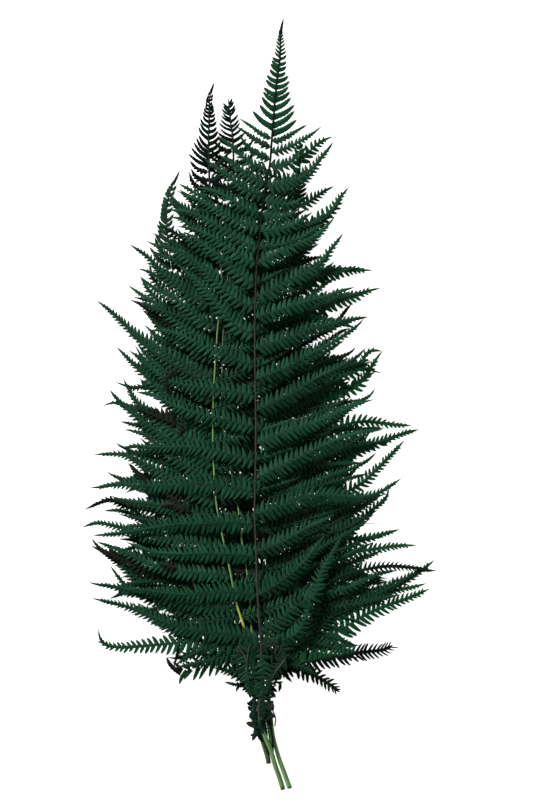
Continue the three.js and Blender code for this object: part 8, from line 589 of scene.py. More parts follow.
      ('R','h',6.59,'g',[(-36,-72.2,2.3),(-24.5,-68.4,2.22),(-13.4,-64,2.02),(-2.5,-58.9,1.76),(8,-53.1,1.49),(18.2,-46.6,1.25)]),
      ('R','h',6.59,'g',[(-30.7,-96.4,2.3),(-18.7,-92.8,2.22),(-6.9,-88.5,2),(4.7,-83.5,1.72),(16,-77.9,1.44),(26.9,-71.5,1.21)]),
      ('R','h',6.59,'g',[(-25,-120,2.3),(-13,-116.6,2.22),(-1.2,-112.6,2.01),(10.3,-107.9,1.73),(21.5,-102.5,1.45),(32.4,-96.5,1.22)]),
      ('R','h',6.59,'g',[(-19.5,-142.2,2.3),(-6.3,-138.5,2.2),(6.6,-134,1.96),(19.3,-128.8,1.65),(31.7,-122.9,1.35),(43.7,-116.4,1.14)]),
      ('R','h',6.59,'g',[(-13.1,-168.9,2.53),(-1,-166.2,2.42),(10.9,-163,2.14),(22.7,-159.3,1.79),(34.2,-155.1,1.47),(45.6,-150.3,1.23)]),
      ('L','n',5.42,'b',[(-4.5,-213.1,3.35),(-12.2,-213.1,3.35),(-20.7,-210,3.26),(-26.5,-206.2,3.15)]),
      ('L','n',4.65,'g',[(-3.3,-219.3,3.53),(-10.7,-216.2,3.44),(-18.4,-217.8,3.48),(-27.4,-215.7,3.42)]),
      ('L','n',4.65,'d',[(-2.4,-226.3,3.73),(-9.1,-222.4,3.62),(-15.3,-217.8,3.48),(-18.7,-223.6,3.65)]),
      ('R','h',6.12,'h',[(-15.3,-158.9,2.4),(7.9,-156.7,2.04),(31,-153.9,1.47),(53.9,-150.4,1.07),(76.8,-146.2,1.04),(99.5,-141.4,1.04)]),
      ('R','h',6.82,'h',[(-65.1,89.1,2.36),(-42.5,94.3,2.02),(-19.9,99.6,1.5),(2.8,105,1.11),(25.3,110.5,1.08),(47.9,116.2,1.08)]),
      ('L','h',6.04,'h',[(-40.5,-50.4,2.3),(-57.5,-51.5,1.78),(-74.4,-53.6,1.2),(-91.3,-56.6,0.62),(-107.8,-60.4,0.42),(-124.2,-65.1,0.42)]),
      ('L','h',6.28,'h',[(-47,-15.5,2.3),(-59.9,-13,2.09),(-72.7,-9.9,1.69),(-85.4,-6.2,1.21),(-97.8,-1.9,0.79),(-110,3.1,0.55)]),
      ('R','h',6.2,'h',[(-51.8,11.6,2.3),(-29.5,18.2,1.8),(-7.7,26.3,1.28),(13.4,35.9,0.89),(34,46.8,0.86),(53.7,59.1,0.86)]),
      ('L','h',6.12,'h',[(-24.9,-120.1,2.3),(-42,-121.3,1.99),(-58.9,-123.4,1.42),(-75.7,-126.3,0.84),(-92.3,-130.1,0.55),(-108.7,-134.8,0.54)]),
      ('R','h',6.04,'h',[(-28.7,-104.6,2.3),(-5.6,-102.5,1.88),(17.5,-99.7,1.36),(40.5,-96.2,0.97),(63.4,-92,0.94),(86.1,-87.2,0.94)]),
      ('R','h',6.28,'h',[(-4.6,-211.6,3.3),(4.5,-209.8,3.05),(13.6,-207.9,2.58),(22.7,-206.2,2.15),(31.9,-204.4,1.7),(41,-202.6,1.3)]),
      ('R','h',6.35,'h',[(-17.2,-151.1,2.3),(6,-150.4,1.91),(29.3,-150.5,1.39),(52.5,-151.4,1),(75.7,-153.1,0.97),(98.8,-155.5,0.97)]),
      ('R','h',6.51,'h',[(-68.5,108.5,2.5),(-46.5,116.3,1.99),(-24.9,124.7,1.47),(-3.4,133.7,1.09),(17.7,143.3,1.05),(38.6,153.5,1.05)]),
      ('L','h',6.12,'h',[(-29.7,-100.8,2.3),(-46.7,-101.9,1.88),(-63.6,-104,1.3),(-80.4,-107,0.72),(-97,-110.7,0.43),(-113.4,-115.5,0.42)]),
      ('L','h',6.35,'h',[(-31.6,-93,2.3),(-47.9,-92.5,1.99),(-64.1,-92.6,1.45),(-80.4,-93.2,0.89),(-96.6,-94.4,0.54),(-112.8,-96.1,0.52)]),
      ('L','h',6.2,'h',[(-8.9,-187.4,2.99),(-32.9,-175.4,1.95),(-56.9,-163.4,1.92),(-80.9,-151.4,1.92),(-90.9,-141.2,1.92),(-100.7,-130.5,1.92),(-110.6,-119.2,1.92),(-120.4,-107.4,1.92)],80.6),
      ('L','h',6.2,'h',[(-57.8,46,2.72),(-59.6,46.9,2.71),(-61.4,47.8,2.69),(-63.2,48.7,2.65),(-70.3,56,2.38),(-77.5,63.7,2.14),(-84.6,71.8,2.12),(-91.6,80.4,2.12)],6),
      ('L','h',6.2,'h',[(-23.1,-127.9,2.26),(-43.6,-125.7,1.8),(-64.1,-123.4,1.66),(-84.7,-121.2,1.66),(-94.7,-120.1,1.66),(-104.7,-118.7,1.66),(-114.7,-116.7,1.66),(-124.8,-114.5,1.66)],62),
      ('L','h',6.2,'h',[(-28.2,-106.7,2.4),(-39.9,-100.8,2.16),(-51.6,-95,1.83),(-63.4,-89.1,1.8),(-73.2,-79,1.8),(-83.1,-68.3,1.8),(-93,-57,1.8),(-102.8,-45.2,1.8)],39.3),
      ('L','h',6.2,'h',[(-5.9,-203.8,2.95),(-20.8,-196.6,2.16),(-35.6,-189.4,1.57),(-50.5,-182.2,1.57),(-63.1,-176.1,1.57),(-75.8,-169.3,1.57),(-88.5,-162.1,1.57),(-101.1,-154.1,1.57)],49.5),
      ('L','h',6.2,'h',[(-51.1,7.9,2.37),(-56,10.3,2.32),(-60.8,12.6,2.19),(-65.6,15,2.03),(-74.7,19.5,1.79),(-83.8,24.3,1.77),(-93,29.6,1.77),(-102.1,35.3,1.77)],16.1),
      ('L','h',6.2,'h',[(-20.4,-138.5,2.51),(-32.5,-137.2,2.29),(-44.7,-135.8,1.96),(-56.8,-134.5,1.91),(-70.7,-132.9,1.91),(-84.6,-130.9,1.91),(-98.5,-128.3,1.91),(-112.4,-125.1,1.91)],36.7),
      ('L','h',6.2,'h',[(-16.8,-152.9,2.73),(-42.5,-150.1,2.14),(-68.2,-147.4,2.1),(-93.9,-144.6,2.1),(-100.4,-143.9,2.1),(-107,-143,2.1),(-113.6,-141.7,2.1),(-120.1,-140.2,2.1)],77.5),
      ('L','h',6.2,'h',[(-26.5,-113.7,2.25),(-43.5,-105.3,1.83),(-60.5,-96.8,1.65),(-77.5,-88.3,1.65),(-80.9,-78.6,1.65),(-84.4,-68.5,1.65),(-87.8,-58,1.65),(-91.3,-47.2,1.65)],57),
      ('L','h',6.2,'h',[(-15.2,-159.2,2.72),(-39.6,-147.2,2.03),(-63.9,-135.2,2.02),(-88.2,-123.1,2.02),(-94.2,-120.2,2.02),(-100.2,-117,2.02),(-106.1,-113.6,2.02),(-112.1,-109.9,2.02)],81.4),
      ('L','h',6.2,'h',[(-6.4,-200.9,3.08),(-19.3,-194.7,2.48),(-32.2,-188.4,1.8),(-45.1,-182.2,1.79),(-57.7,-176.1,1.79),(-70.4,-169.3,1.79),(-83,-162.1,1.79),(-95.7,-154.1,1.79)],42.9),
      ('L','h',6.2,'h',[(-35.9,-72.8,2.16),(-40.8,-72.3,2.11),(-45.7,-71.7,2.01),(-50.6,-71.2,1.86),(-64.4,-69.8,1.56),(-78.3,-67.7,1.56),(-92.3,-65,1.56),(-106.1,-61.8,1.56)],14.8),
      ('L','h',6.2,'h',[(-54.4,33.7,2.67),(-64.5,34.8,2.51),(-74.5,36.3,2.22),(-84.6,38.1,2.07),(-94.6,40.5,2.07)],0),
      ('L','h',6.2,'h',[(-17,-152.2,2.37),(-35.8,-142.8,1.89),(-54.6,-133.4,1.75),(-73.4,-124,1.75),(-80.6,-116.7,1.75),(-87.7,-109,1.75),(-94.7,-100.8,1.75),(-101.9,-92.3,1.75)],63.1),
      ('R','h',6.2,'h',[(-34.3,-80.2,3.25),(-31.9,-80,3.23),(-29.6,-79.7,3.21),(-27.2,-79.4,3.16),(-13.4,-77.9,2.77),(0.5,-75.9,2.65),(14.4,-73.2,2.65),(28.3,-70.1,2.65)],7.1),
      ('L','h',5.81,'h',[(-7.1,-197.3,3.06),(-25.3,-188.2,2.15),(-43.6,-179.1,1.86),(-61.8,-170,1.86),(-67.1,-155.2,1.86),(-72.3,-139.7,1.86),(-77.7,-123.5,1.86),(-83,-106.8,1.86)],61.2),
      ('R','h',5.81,'h',[(-12.1,-175.2,3.29),(3.3,-173.5,2.81),(18.7,-171.3,2.38),(34.2,-168.4,2.38),(49.6,-164.8,2.38)],0),
      ('L','h',5.81,'h',[(-19,-144.3,2.6),(-32.5,-137.5,2.3),(-46,-130.8,2),(-59.5,-124,2),(-70.5,-112.7,2),(-81.4,-100.8,2),(-92.4,-88.3,2),(-103.3,-75.2,2)],45.3),
      ('R','h',5.81,'h',[(-69.4,113.6,3.73),(-56.8,109.3,3.39),(-44.3,105,2.93),(-31.8,100.8,2.9),(-17.3,95.8,2.9),(-2.8,91.5,2.9),(11.8,87.7,2.9),(26.4,84.6,2.9)],39.7),
      ('R','h',5.81,'h',[(-35.1,-76.6,3.18),(-32.1,-75.1,3.16),(-29.2,-73.6,3.1),(-26.2,-72.2,3.03),(-15.3,-60.9,2.61),(-4.3,-49,2.58),(6.6,-36.5,2.58),(17.6,-23.3,2.58)],9.9),
      ('L','h',5.81,'h',[(-19.7,-141.1,2.39),(-26.8,-140.4,2.31),(-33.9,-139.6,2.12),(-41,-138.8,1.92),(-56.4,-137.1,1.79),(-71.8,-134.8,1.79),(-87.3,-132,1.79),(-102.7,-128.4,1.79)],21.4),
      ('L','h',5.81,'h',[(-7.7,-194.6,3.1),(-21.8,-187.8,2.48),(-35.8,-180.3,1.94),(-49.9,-172.2,1.94),(-64,-163.4,1.94)],0),
      ('R','h',5.81,'h',[(-28,-107.8,3.43),(-29.5,-107.2,3.42),(-31.1,-106.7,3.41),(-32.6,-106.2,3.39),(-18.1,-111.1,2.98),(-3.5,-115.5,2.83),(11,-119.3,2.83),(25.6,-122.4,2.83)],4.9),
      ('L','h',5.81,'h',[(-45.3,-24.6,2.5),(-55.1,-27.9,2.34),(-64.8,-31.2,2.04),(-74.5,-34.5,1.9),(-80.7,-36.6,1.9),(-86.9,-38.4,1.9),(-93.1,-40.1,1.9),(-99.3,-41.4,1.9)],30.8),
      ('L','h',5.81,'h',[(-41.6,-44.7,2.7),(-54.2,-38.4,2.42),(-66.8,-32,2.1),(-79.5,-25.7,2.1),(-84.1,-20.9,2.1),(-88.8,-15.9,2.1),(-93.4,-10.6,2.1),(-98.1,-5,2.1)],42.4),
    ]),
}
# ---- proportions of the foliage ----------------------------------------------
SPACING = {"frond_front": 4.1, "frond_upper_left": 3.95, "frond_middle": 3.9, "frond_right": 4.0, "frond_lower_left": 3.85}
SPACING_ALONG = [(0, 1.0), (0.4, 0.98), (0.7, 0.88), (0.9, 0.74), (1, 0.62)]
# how much of its spacing a pinnule fills, by tone
FILL = {"g": 0.84, "v": 0.64, "d": 0.68, "b": 0.76, "x": 0.6, "m": 0.8, "h": 0.98, "w": 0.78, "q": 0.84, "u": 0.84, "y": 0.8}
# widely spaced pinnae, whose pinnules stand closer together towards the tip
WIDE_SPACING = [(0, 1.38), (0.3, 1.28), (0.5, 1.16), (0.7, 1.0), (0.85, 0.86), (1, 0.72)]
PINNULE_LENGTH = [(0, 1.0), (0.06, 1.2), (0.16, 1.3), (0.42, 1.18), (0.58, 1.0), (0.74, 0.78), (0.88, 0.52), (1, 0.28)]
WIDE_LENGTH = [(0, 1.05), (0.3, 1.14), (0.45, 1.16), (0.6, 1.08), (0.8, 1.08), (1, 1.15)]
WIDE_OUTLINE = (1.3, 1.24, 1.1, 0.96, 0.7, 0.42, 0.08)
# a pinna that ends bluntly
BLUNT_LENGTH = [(0, 1.0), (0.5, 1.05), (0.75, 1.3), (0.9, 1.8), (1, 2.4)]
PINNULE_ANGLE = [(0, 76), (0.15, 70), (0.6, 63), (0.85, 52), (1, 40)]
LOBE_STATIONS = (0.0, 0.12, 0.34, 0.6, 0.82, 0.94, 1.0)
LOBE_OUTLINE = (1.5, 1.38, 1.12, 0.84, 0.54, 0.3, 0.07)
PLAIN_STATIONS = (0.0, 0.3, 0.62, 0.88, 1.0)
PLAIN_OUTLINE = (1.4, 1.14, 0.82, 0.44, 0.1)
TAIL_LENGTH = 10.5
TAIL_HALF = 1.3
REST = 0.12  # nothing lies lower than this above the table

TIE_CENTRE = (1.95, -234.0, 8.0)
TIE_HALF = (8.35, 7.35)
TIE_PITCH = 1.0
TIE_TURNS = 4
TIE_SLANT = 0.2
TIE_CORD_RADIUS = 0.55
TIE_TAIL = [(9.6, -236.2, 9.6), (11.2, -239.4, 10.6), (12.3, -243.6, 10.2), (11.7, -249.4, 8.6)]


# ---- curves -------------------------------------------------------------------
class Curve:
    """A smooth line through points, read by the distance along it."""

    def __init__(self, points, per=10):
        p = np.asarray(points, float)
        q = np.vstack([2 * p[0] - p[1], p, 2 * p[-1] - p[-2]])
        out = []
        t = np.linspace(0, 1, per, endpoint=False)[:, None]
        for i in range(len(p) - 1):
            a, b, c, d = q[i:i + 4]
            out.append(0.5 * (2 * b + (c - a) * t + (2 * a - 5 * b + 4 * c - d) * t ** 2 + (3 * b - a - 3 * c + d) * t ** 3))
        out.append(p[-1:])
        self.q = np.vstack(out)
        self.s = np.concatenate([[0], np.cumsum(np.linalg.norm(np.diff(self.q, axis=0), axis=1))])
        self.length = self.s[-1]

    def at(self, s):
        return np.array([np.interp(s, self.s, self.q[:, k]) for k in range(self.q.shape[1])]).T

    def tangent(self, s, h=0.6):
        d = self.at(np.minimum(s + h, self.length)) - self.at(np.maximum(s - h, 0))
        return d / np.linalg.norm(d, axis=-1, keepdims=True)


def lookup(table, t):
    return np.interp(t, [a for a, _ in table], [b for _, b in table])


def unit(v):
    return v / np.linalg.norm(v, axis=-1, keepdims=True)


# ---- mesh building ------------------------------------------------------------
class Solid:
    """Collects closed lofted forms, then writes them as one mesh with point attributes."""

    def __init__(self):
        self.v, self.leaf, self.tone = [], [], []
        self.loops, self.sizes, self.mats, self.smooth = [], [], [], []
        self.n = 0

    def loft(self, rings, leaf, tone, mat, cap_mat=None, flat_caps=False):
        """rings: K x M x 3 from the base to the tip. leaf: K x M x 3. tone: 3 numbers or K x M x 3."""
        k, m, _ = rings.shape
        self.v.append(rings.reshape(-1, 3))
        self.leaf.append(np.broadcast_to(leaf, (k, m, 3)).reshape(-1, 3))
        self.tone.append(np.broadcast_to(tone, (k, m, 3)).reshape(-1, 3))
        i = np.arange(k - 1)[:, None] * m
        j = np.arange(m)[None, :]
        jn = (j + 1) % m
        quads = np.stack([i + j, i + jn, i + m + jn, i + m + j], axis=-1).reshape(-1, 4) + self.n
        self.loops.append(quads.reshape(-1))
        self.sizes.append(np.full(len(quads), 4))
        self.mats.append(np.full(len(quads), mat))
        self.smooth.append(np.ones(len(quads), bool))
        ends = np.stack([np.arange(m)[::-1], (k - 1) * m + np.arange(m)]) + self.n
        self.loops.append(ends.reshape(-1))
        self.sizes.append(np.full(2, m))
        self.mats.append(np.array([mat if cap_mat is None else cap_mat, mat]))
        self.smooth.append(np.full(2, not flat_caps))
        self.n += k * m

    def object(self, name, materials):
        v = np.concatenate(self.v)
        v[:, 2] = np.maximum(v[:, 2], REST)
        v = v.astype(np.float32) * MM
        loops = np.concatenate(self.loops).astype(np.int32)
        sizes = np.concatenate(self.sizes).astype(np.int32)
        starts = np.concatenate([[0], np.cumsum(sizes)[:-1]]).astype(np.int32)
        mesh = bpy.data.meshes.new(name)
        mesh.vertices.add(len(v))
        mesh.vertices.foreach_set("co", v.reshape(-1))
        mesh.loops.add(len(loops))
        mesh.loops.foreach_set("vertex_index", loops)
        mesh.polygons.add(len(sizes))
        mesh.polygons.foreach_set("loop_start", starts)
        mesh.polygons.foreach_set("loop_total", sizes)
        mesh.polygons.foreach_set("material_index", np.concatenate(self.mats).astype(np.int32))
        mesh.polygons.foreach_set("use_smooth", np.concatenate(self.smooth))
        for key, rows in (("leaf", self.leaf), ("tone", self.tone)):
            a = mesh.attributes.new(key, "FLOAT_VECTOR", "POINT")
            a.data.foreach_set("vector", np.concatenate(rows).astype(np.float32).reshape(-1))
        for material in materials:
            mesh.materials.append(material)
        mesh.update(calc_edges=True)
        mesh.validate()
        obj = bpy.data.objects.new(name, mesh)
        bpy.context.scene.collection.objects.link(obj)
        return obj


# section of a blade of leaf: across, height, and whether it is the underside.
# The upper face is two low swells beside a shallow vein, the margins roll down.
SECTION = np.array([(-1.0, -0.42), (-0.58, 0.52), (0.0, 0.34), (0.58, 0.52), (1.0, -0.42), (0.0, 0.0)])
UNDER = np.array([0.5, 0, 0, 0, 0.5, 1.0])
PLAIN_SECTION = np.array([(-1.0, -0.35), (0.0, 0.45), (1.0, -0.35), (0.0, -0.1)])
PLAIN_UNDER = np.array([0.5, 0, 0.5, 1.0])


def lobe(solid, base, along, up, side, length, half, angle, bend, droop, roll, tone, rnd, mat=0, stations=LOBE_STATIONS, outline=LOBE_OUTLINE, plump=0.42, skew=0.0, plain=False):
    """One pinnule: a thin bowed blade that leaves its midrib at an angle and curves towards the tip.
    along, up and side are the midrib's directions at its base."""
    section, under = (PLAIN_SECTION, PLAIN_UNDER) if plain else (SECTION, UNDER)
    if plain:
        stations, outline = PLAIN_STATIONS, PLAIN_OUTLINE
    t = np.asarray(stations)
    th = np.radians(angle - bend * (t - 0.35))
    mid = np.radians(angle - bend * ((t[1:] + t[:-1]) / 2 - 0.35))
    step = np.diff(t)
    u = np.concatenate([[0], np.cumsum(np.cos(mid) * step)]) * length
    w = np.concatenate([[0], np.cumsum(np.sin(mid) * step)]) * length
    line = base + u[:, None] * along + w[:, None] * side - (droop * t ** 1.7)[:, None] * up
    cross = -np.sin(th)[:, None] * along + np.cos(th)[:, None] * side
    r = np.radians(roll * (0.3 + 0.7 * t))[:, None]
    across = np.cos(r) * cross + np.sin(r) * up
    lift = np.cos(r) * up - np.sin(r) * cross
    width = half * np.asarray(outline)
    shift = skew * np.sin(np.pi * t)
    high = plump * np.minimum(1, np.asarray(outline) + 0.1)
    rings = (line[:, None, :]
             + (width[:, None] * section[None, :, 0] + shift[:, None])[:, :, None] * across[:, None, :]
             + (high[:, None] * section[None, :, 1])[:, :, None] * lift[:, None, :])
    leaf = np.empty((len(t), len(section), 3))
    leaf[:, :, 0] = rnd
    leaf[:, :, 1] = np.abs(section[:, 0])[None, :] + 2 * under[None, :]
    leaf[:, :, 2] = t[:, None]
    solid.loft(rings, leaf, tone, mat)


def tube(solid, curve, radius, sides, steps, tone, mat, rnd=0.5, start=0.0, end=1.0, groove=0.0, cap_mat=None, stretch=1.0, phase=0.0):
    """A round rod along a curve. radius is a function of 0 to 1 along it."""
    t = np.linspace(start, end, steps + 1)
    s = t * curve.length
    p = curve.at(s)
    d = curve.tangent(s, 1.5)
    side = unit(np.cross(d, np.array([0, 0, 1.0])))
    up = np.cross(side, d)
    a = np.arange(sides) / sides * 2 * math.pi + phase
    r = np.asarray([radius(x) for x in t])[:, None] * np.ones(sides)[None, :]
    if groove:
        off = (a - math.pi / 2 + math.pi) % (2 * math.pi) - math.pi
        r = r * (1 - groove * np.exp(-(off / 0.5) ** 2))[None, :]
    rings = p[:, None, :] + (r * np.cos(a))[:, :, None] * side[:, None, :] + (r * np.sin(a) * stretch)[:, :, None] * up[:, None, :]
    leaf = np.empty((steps + 1, sides, 3))
    leaf[:, :, 0] = rnd
    leaf[:, :, 1] = a[None, :] / (2 * math.pi)
    leaf[:, :, 2] = t[:, None]
    solid.loft(rings[:, ::-1], leaf[:, ::-1], tone, mat, cap_mat, flat_caps=cap_mat is not None)


def frames_along(curve, s, roll):
    """Directions along, up and to the left at each distance, with the blade rolled about its midrib."""
    along = curve.tangent(s, 2.0)
    left = unit(np.cross(np.array([0, 0, 1.0]), along))
    up = np.cross(along, left)
    r = np.radians(np.broadcast_to(roll, np.shape(s)))[:, None]
    return along, np.cos(r) * up - np.sin(r) * left, np.cos(r) * left + np.sin(r) * up


# ---- one pinna ----------------------------------------------------------------
def tone_of(code, rng):
    v = {"g": 0.12, "v": 0.85, "d": 0.1, "b": 0.0, "x": 0.0, "m": 0.1, "h": 0.06, "w": 0.9, "u": 0.0, "y": 0.12, "e": 0.62}[code] + rng.uniform(-0.1, 0.12)
    d = {"g": 0.08, "v": 0.1, "d": 0.78, "b": 0.45, "x": 1.0, "m": 0.3, "h": 0.28, "w": 0.04, "u": 0.72, "y": 0.1, "e": 0.27}[code] + rng.uniform(-0.08, 0.1)
    b = {"g": 0.05, "v": 0.0, "d": 0.22, "b": 0.85, "x": 0.04, "m": 0.4, "h": 0.08, "w": 0.0, "u": 0.6, "y": 0.06, "e": 0.0}[code] + rng.uniform(-0.05, 0.06)
    return np.clip([v, d, b], 0, 1)


def divided(solid, curve, size, code, frond, rng, kind, bare=0.0):
    """A pinna: midrib, two rows of pinnules, and the undivided tail at its tip."""
    tone = tone_of("x" if code == "q" else code, rng)
    upper_tone = tone_of("v", rng) if code == "q" else tone
    end_tone = tone_of("x", rng) if code == "y" else tone
    length = curve.length
    tail = min(TAIL_LENGTH * rng.uniform(0.8, 1.25), 0.3 * length) if kind != "n" else min(5, 0.2 * length)
    gap = SPACING[frond] * rng.uniform(0.94, 1.06) * (0.5 + 0.5 * min(1.0, size / 7.0))
    fill = FILL[code] * rng.uniform(0.93, 1.07)
    spacing = WIDE_SPACING if code == "w" else SPACING_ALONG
    longer = {"w": WIDE_LENGTH, "q": BLUNT_LENGTH, "u": BLUNT_LENGTH}.get(code, [(0, 1.0)])
    outline = WIDE_OUTLINE if code in "wqu" else LOBE_OUTLINE
    if code in "qu":
        tail = 4.0
    reach = size
    if kind == "c":
        gap, fill, reach = gap * 0.92, 1.02, size * 0.86
    if kind == "n":
        gap, reach = gap * 0.95, size * 0.62
    first = bare + (2.4 if kind != "n" else 1.2)
    roll = rng.uniform(-9, 9)
    twist = rng.uniform(-12, 12)
    fold = rng.uniform(2, 15)
    for sign in (1, -1):
        s, here = [], first + (0 if sign > 0 else gap * 0.45)
        while here < length - tail * 0.7:
            s.append(here)
            here += gap * lookup(spacing, (here - bare) / (length - bare - tail * 0.5)) * rng.uniform(0.93, 1.07)
        if not s:
            continue
        s = np.array(s)
        t = (s - bare) / (length - bare - tail * 0.4)
        along, up, left = frames_along(curve, s, roll + twist * t)
        base = curve.at(s)
        for i in range(len(s)):
            f = math.radians(fold) * (1 if kind != "n" else 0.2)
            side = sign * left[i]
            out = math.cos(f) * side - math.sin(f) * up[i]
            lift = math.cos(f) * up[i] + math.sin(f) * side
            ti = min(1.0, t[i])
            ell = reach * lookup(PINNULE_LENGTH, ti) * rng.uniform(0.88, 1.07) * lookup(longer, ti)
            angle = lookup(PINNULE_ANGLE, ti) + rng.normal(0, 3.6 if kind != "n" else 12)
            half = 0.5 * gap * lookup(spacing, ti) * fill * (1 - 0.14 * ti) * math.sin(math.radians(angle))
            bend = rng.uniform(14, 26)
            if kind == "c":
                angle, bend, half = angle - 6, 10, half * 1.04
            if kind == "n":
                angle, bend = angle + 8, rng.uniform(-6, 22)
            if rng.random() < 0.035:
                ell *= rng.uniform(0.55, 0.85)
            lobe(solid, base[i], along[i], lift, out, ell, half, angle, bend,
                 droop=rng.uniform(-0.1, 0.75) * (ell / 7), roll=sign * rng.uniform(0, 20) + rng.normal(0, 8),
                 tone=end_tone if ti > 0.74 else upper_tone if side[1] > 0 else tone, rnd=rng.random(), plain=kind == "h", outline=outline)
    # wing of leaf beside the midrib, and the tail
    steps = max(8, int((length - bare) / (4 if kind != "h" else 7)))
    s = np.linspace(bare + (first - bare) * 0.6, length, steps + 1)
    along, up, left = frames_along(curve, s, roll + twist * s / length)
    t = s / length
    width = np.where(s < length - tail, 0.62 if kind != "c" else 0.45 * reach * (1 - t), 0)
    body = np.clip((length - s) / tail, 0, 1)
    scallop = 1 + 0.13 * np.sin(s / 1.1 * 2 * math.pi * 0.5)
    width = np.where(s < length - tail, np.maximum(width, TAIL_HALF * np.clip(t * 1.4, 0, 1)), TAIL_HALF * (0.1 + 0.9 * body ** 0.55) * scallop)
    high = 0.24
    p = curve.at(s)
    rings = p[:, None, :] + (width[:, None] * SECTION[None, :, 0])[:, :, None] * left[:, None, :] + (high * SECTION[None, :, 1] * np.ones((len(s), 1)) * np.where(t > 0.999, 0.2, 1)[:, None])[:, :, None] * up[:, None, :]
    leaf = np.empty((len(s), len(SECTION), 3))
    leaf[:, :, 0] = rng.random()
    leaf[:, :, 1] = np.abs(SECTION[:, 0])[None, :] + 2 * UNDER[None, :]
    leaf[:, :, 2] = 0.35 + 0.5 * t[:, None]
    along_tone = np.where((t > 0.74)[:, None, None], end_tone, tone)
    solid.loft(rings[:, ::-1], leaf[:, ::-1], along_tone, 0)
    top = 0.4 if size > 6 else 0.2 + 0.035 * size
    steps = max(6, int(length / 5))
    along_rib = np.linspace(0, 0.97, steps + 1)
    rib_tone = np.zeros((steps + 1, 6, 3))
    rib_tone[:, :, 0] = lookup([(0, 0.1), (0.18, 0.35), (0.45, 0.85), (1, 1.0)], along_rib)[:, None]
    rib_tone[:, :, 1] = tone[1]
    rib_tone[:, :, 2] = tone[2]
    tube(solid, curve, lambda x: top * (1 - 0.86 * x) + 0.04, 6, steps, rib_tone[:, ::-1], 1, rng.random(), end=0.97)


def leaflet(solid, curve, width, code, rng):
    """An undivided leaflet near a frond's tip: broad at its base and curved to a narrow tip."""
    tone = tone_of(code, rng)
    length = curve.length
    n = max(6, min(16, int(length / 1.3)))
    t = np.linspace(0, 1, n + 1)
    s = t * length
    along, up, left = frames_along(curve, s, rng.uniform(-10, 10))
    outline = np.interp(t, [0, 0.12, 0.35, 0.6, 0.82, 0.94, 1], [1.25, 1.12, 1.0, 0.87, 0.6, 0.35, 0.06])
    if length > 11:
        outline = outline * (1 + 0.1 * np.sin(s / 1.25 * math.pi))
    half = width * (0.8 if width > 1.7 else 1.0) * outline
    high = 0.26 * np.minimum(1, outline + 0.15)
    p = curve.at(s)
    rings = p[:, None, :] + (half[:, None] * SECTION[None, :, 0])[:, :, None] * left[:, None, :] + (high[:, None] * SECTION[None, :, 1])[:, :, None] * up[:, None, :]
    leaf = np.empty((n + 1, len(SECTION), 3))
    leaf[:, :, 0] = rng.random()
    leaf[:, :, 1] = np.abs(SECTION[:, 0])[None, :] + 2 * UNDER[None, :]
    leaf[:, :, 2] = t[:, None]
    solid.loft(rings[:, ::-1], leaf[:, ::-1], tone, 0)


# ---- materials ----------------------------------------------------------------
def material(name):
    m = bpy.data.materials.new(name)
    m.use_nodes = True
    nodes, links = m.node_tree.nodes, m.node_tree.links
    nodes.clear()
    out = nodes.new("ShaderNodeOutputMaterial")
    out.name = "out"
    shader = nodes.new("ShaderNodeBsdfPrincipled")
    links.new(shader.outputs["BSDF"], out.inputs["Surface"])
    return m, nodes, links, shader


def mix(nodes, links, factor, a, b, kind="MIX"):
    n = nodes.new("ShaderNodeMix")
    n.data_type = "RGBA"
    n.blend_type = kind
    n.clamp_factor = True
    for socket, value in ((n.inputs[0], factor), (n.inputs[6], a), (n.inputs[7], b)):
        if isinstance(value, bpy.types.NodeSocket):
            links.new(value, socket)
        else:
            socket.default_value = value
    return n.outputs[2]


def ramp(nodes, links, value, lo, hi, to_lo=0.0, to_hi=1.0):
    n = nodes.new("ShaderNodeMapRange")
    n.interpolation_type = "SMOOTHSTEP"
    links.new(value, n.inputs[0])
    for i, x in enumerate((lo, hi, to_lo, to_hi)):
        n.inputs[i + 1].default_value = x
    return n.outputs[0]


def maths(nodes, links, kind, a, b=0.0):
    n = nodes.new("ShaderNodeMath")
    n.operation = kind
    for socket, value in ((n.inputs[0], a), (n.inputs[1], b)):
        if isinstance(value, bpy.types.NodeSocket):
            links.new(value, socket)
        else:
            socket.default_value = value
    return n.outputs[0]


def noise(nodes, links, vector, scale, detail=3.0, rough=0.55):
    n = nodes.new("ShaderNodeTexNoise")
    n.inputs["Scale"].default_value = scale
    n.inputs["Detail"].default_value = detail
    n.inputs["Roughness"].default_value = rough
    links.new(vector, n.inputs["Vector"])
    return n.outputs[0]


def rgb(r, g, b):
    """An sRGB colour of 0 to 255 as linear RGBA."""
    def lin(c):
        c = c / 255
        return c / 12.92 if c <= 0.04045 else ((c + 0.055) / 1.055) ** 2.4
    return (lin(r), lin(g), lin(b), 1.0)


def attributes(nodes, links, key):
    a = nodes.new("ShaderNodeAttribute")
    a.attribute_name = key
    split = nodes.new("ShaderNodeSeparateXYZ")
    links.new(a.outputs["Vector"], split.inputs[0])
    return split.outputs


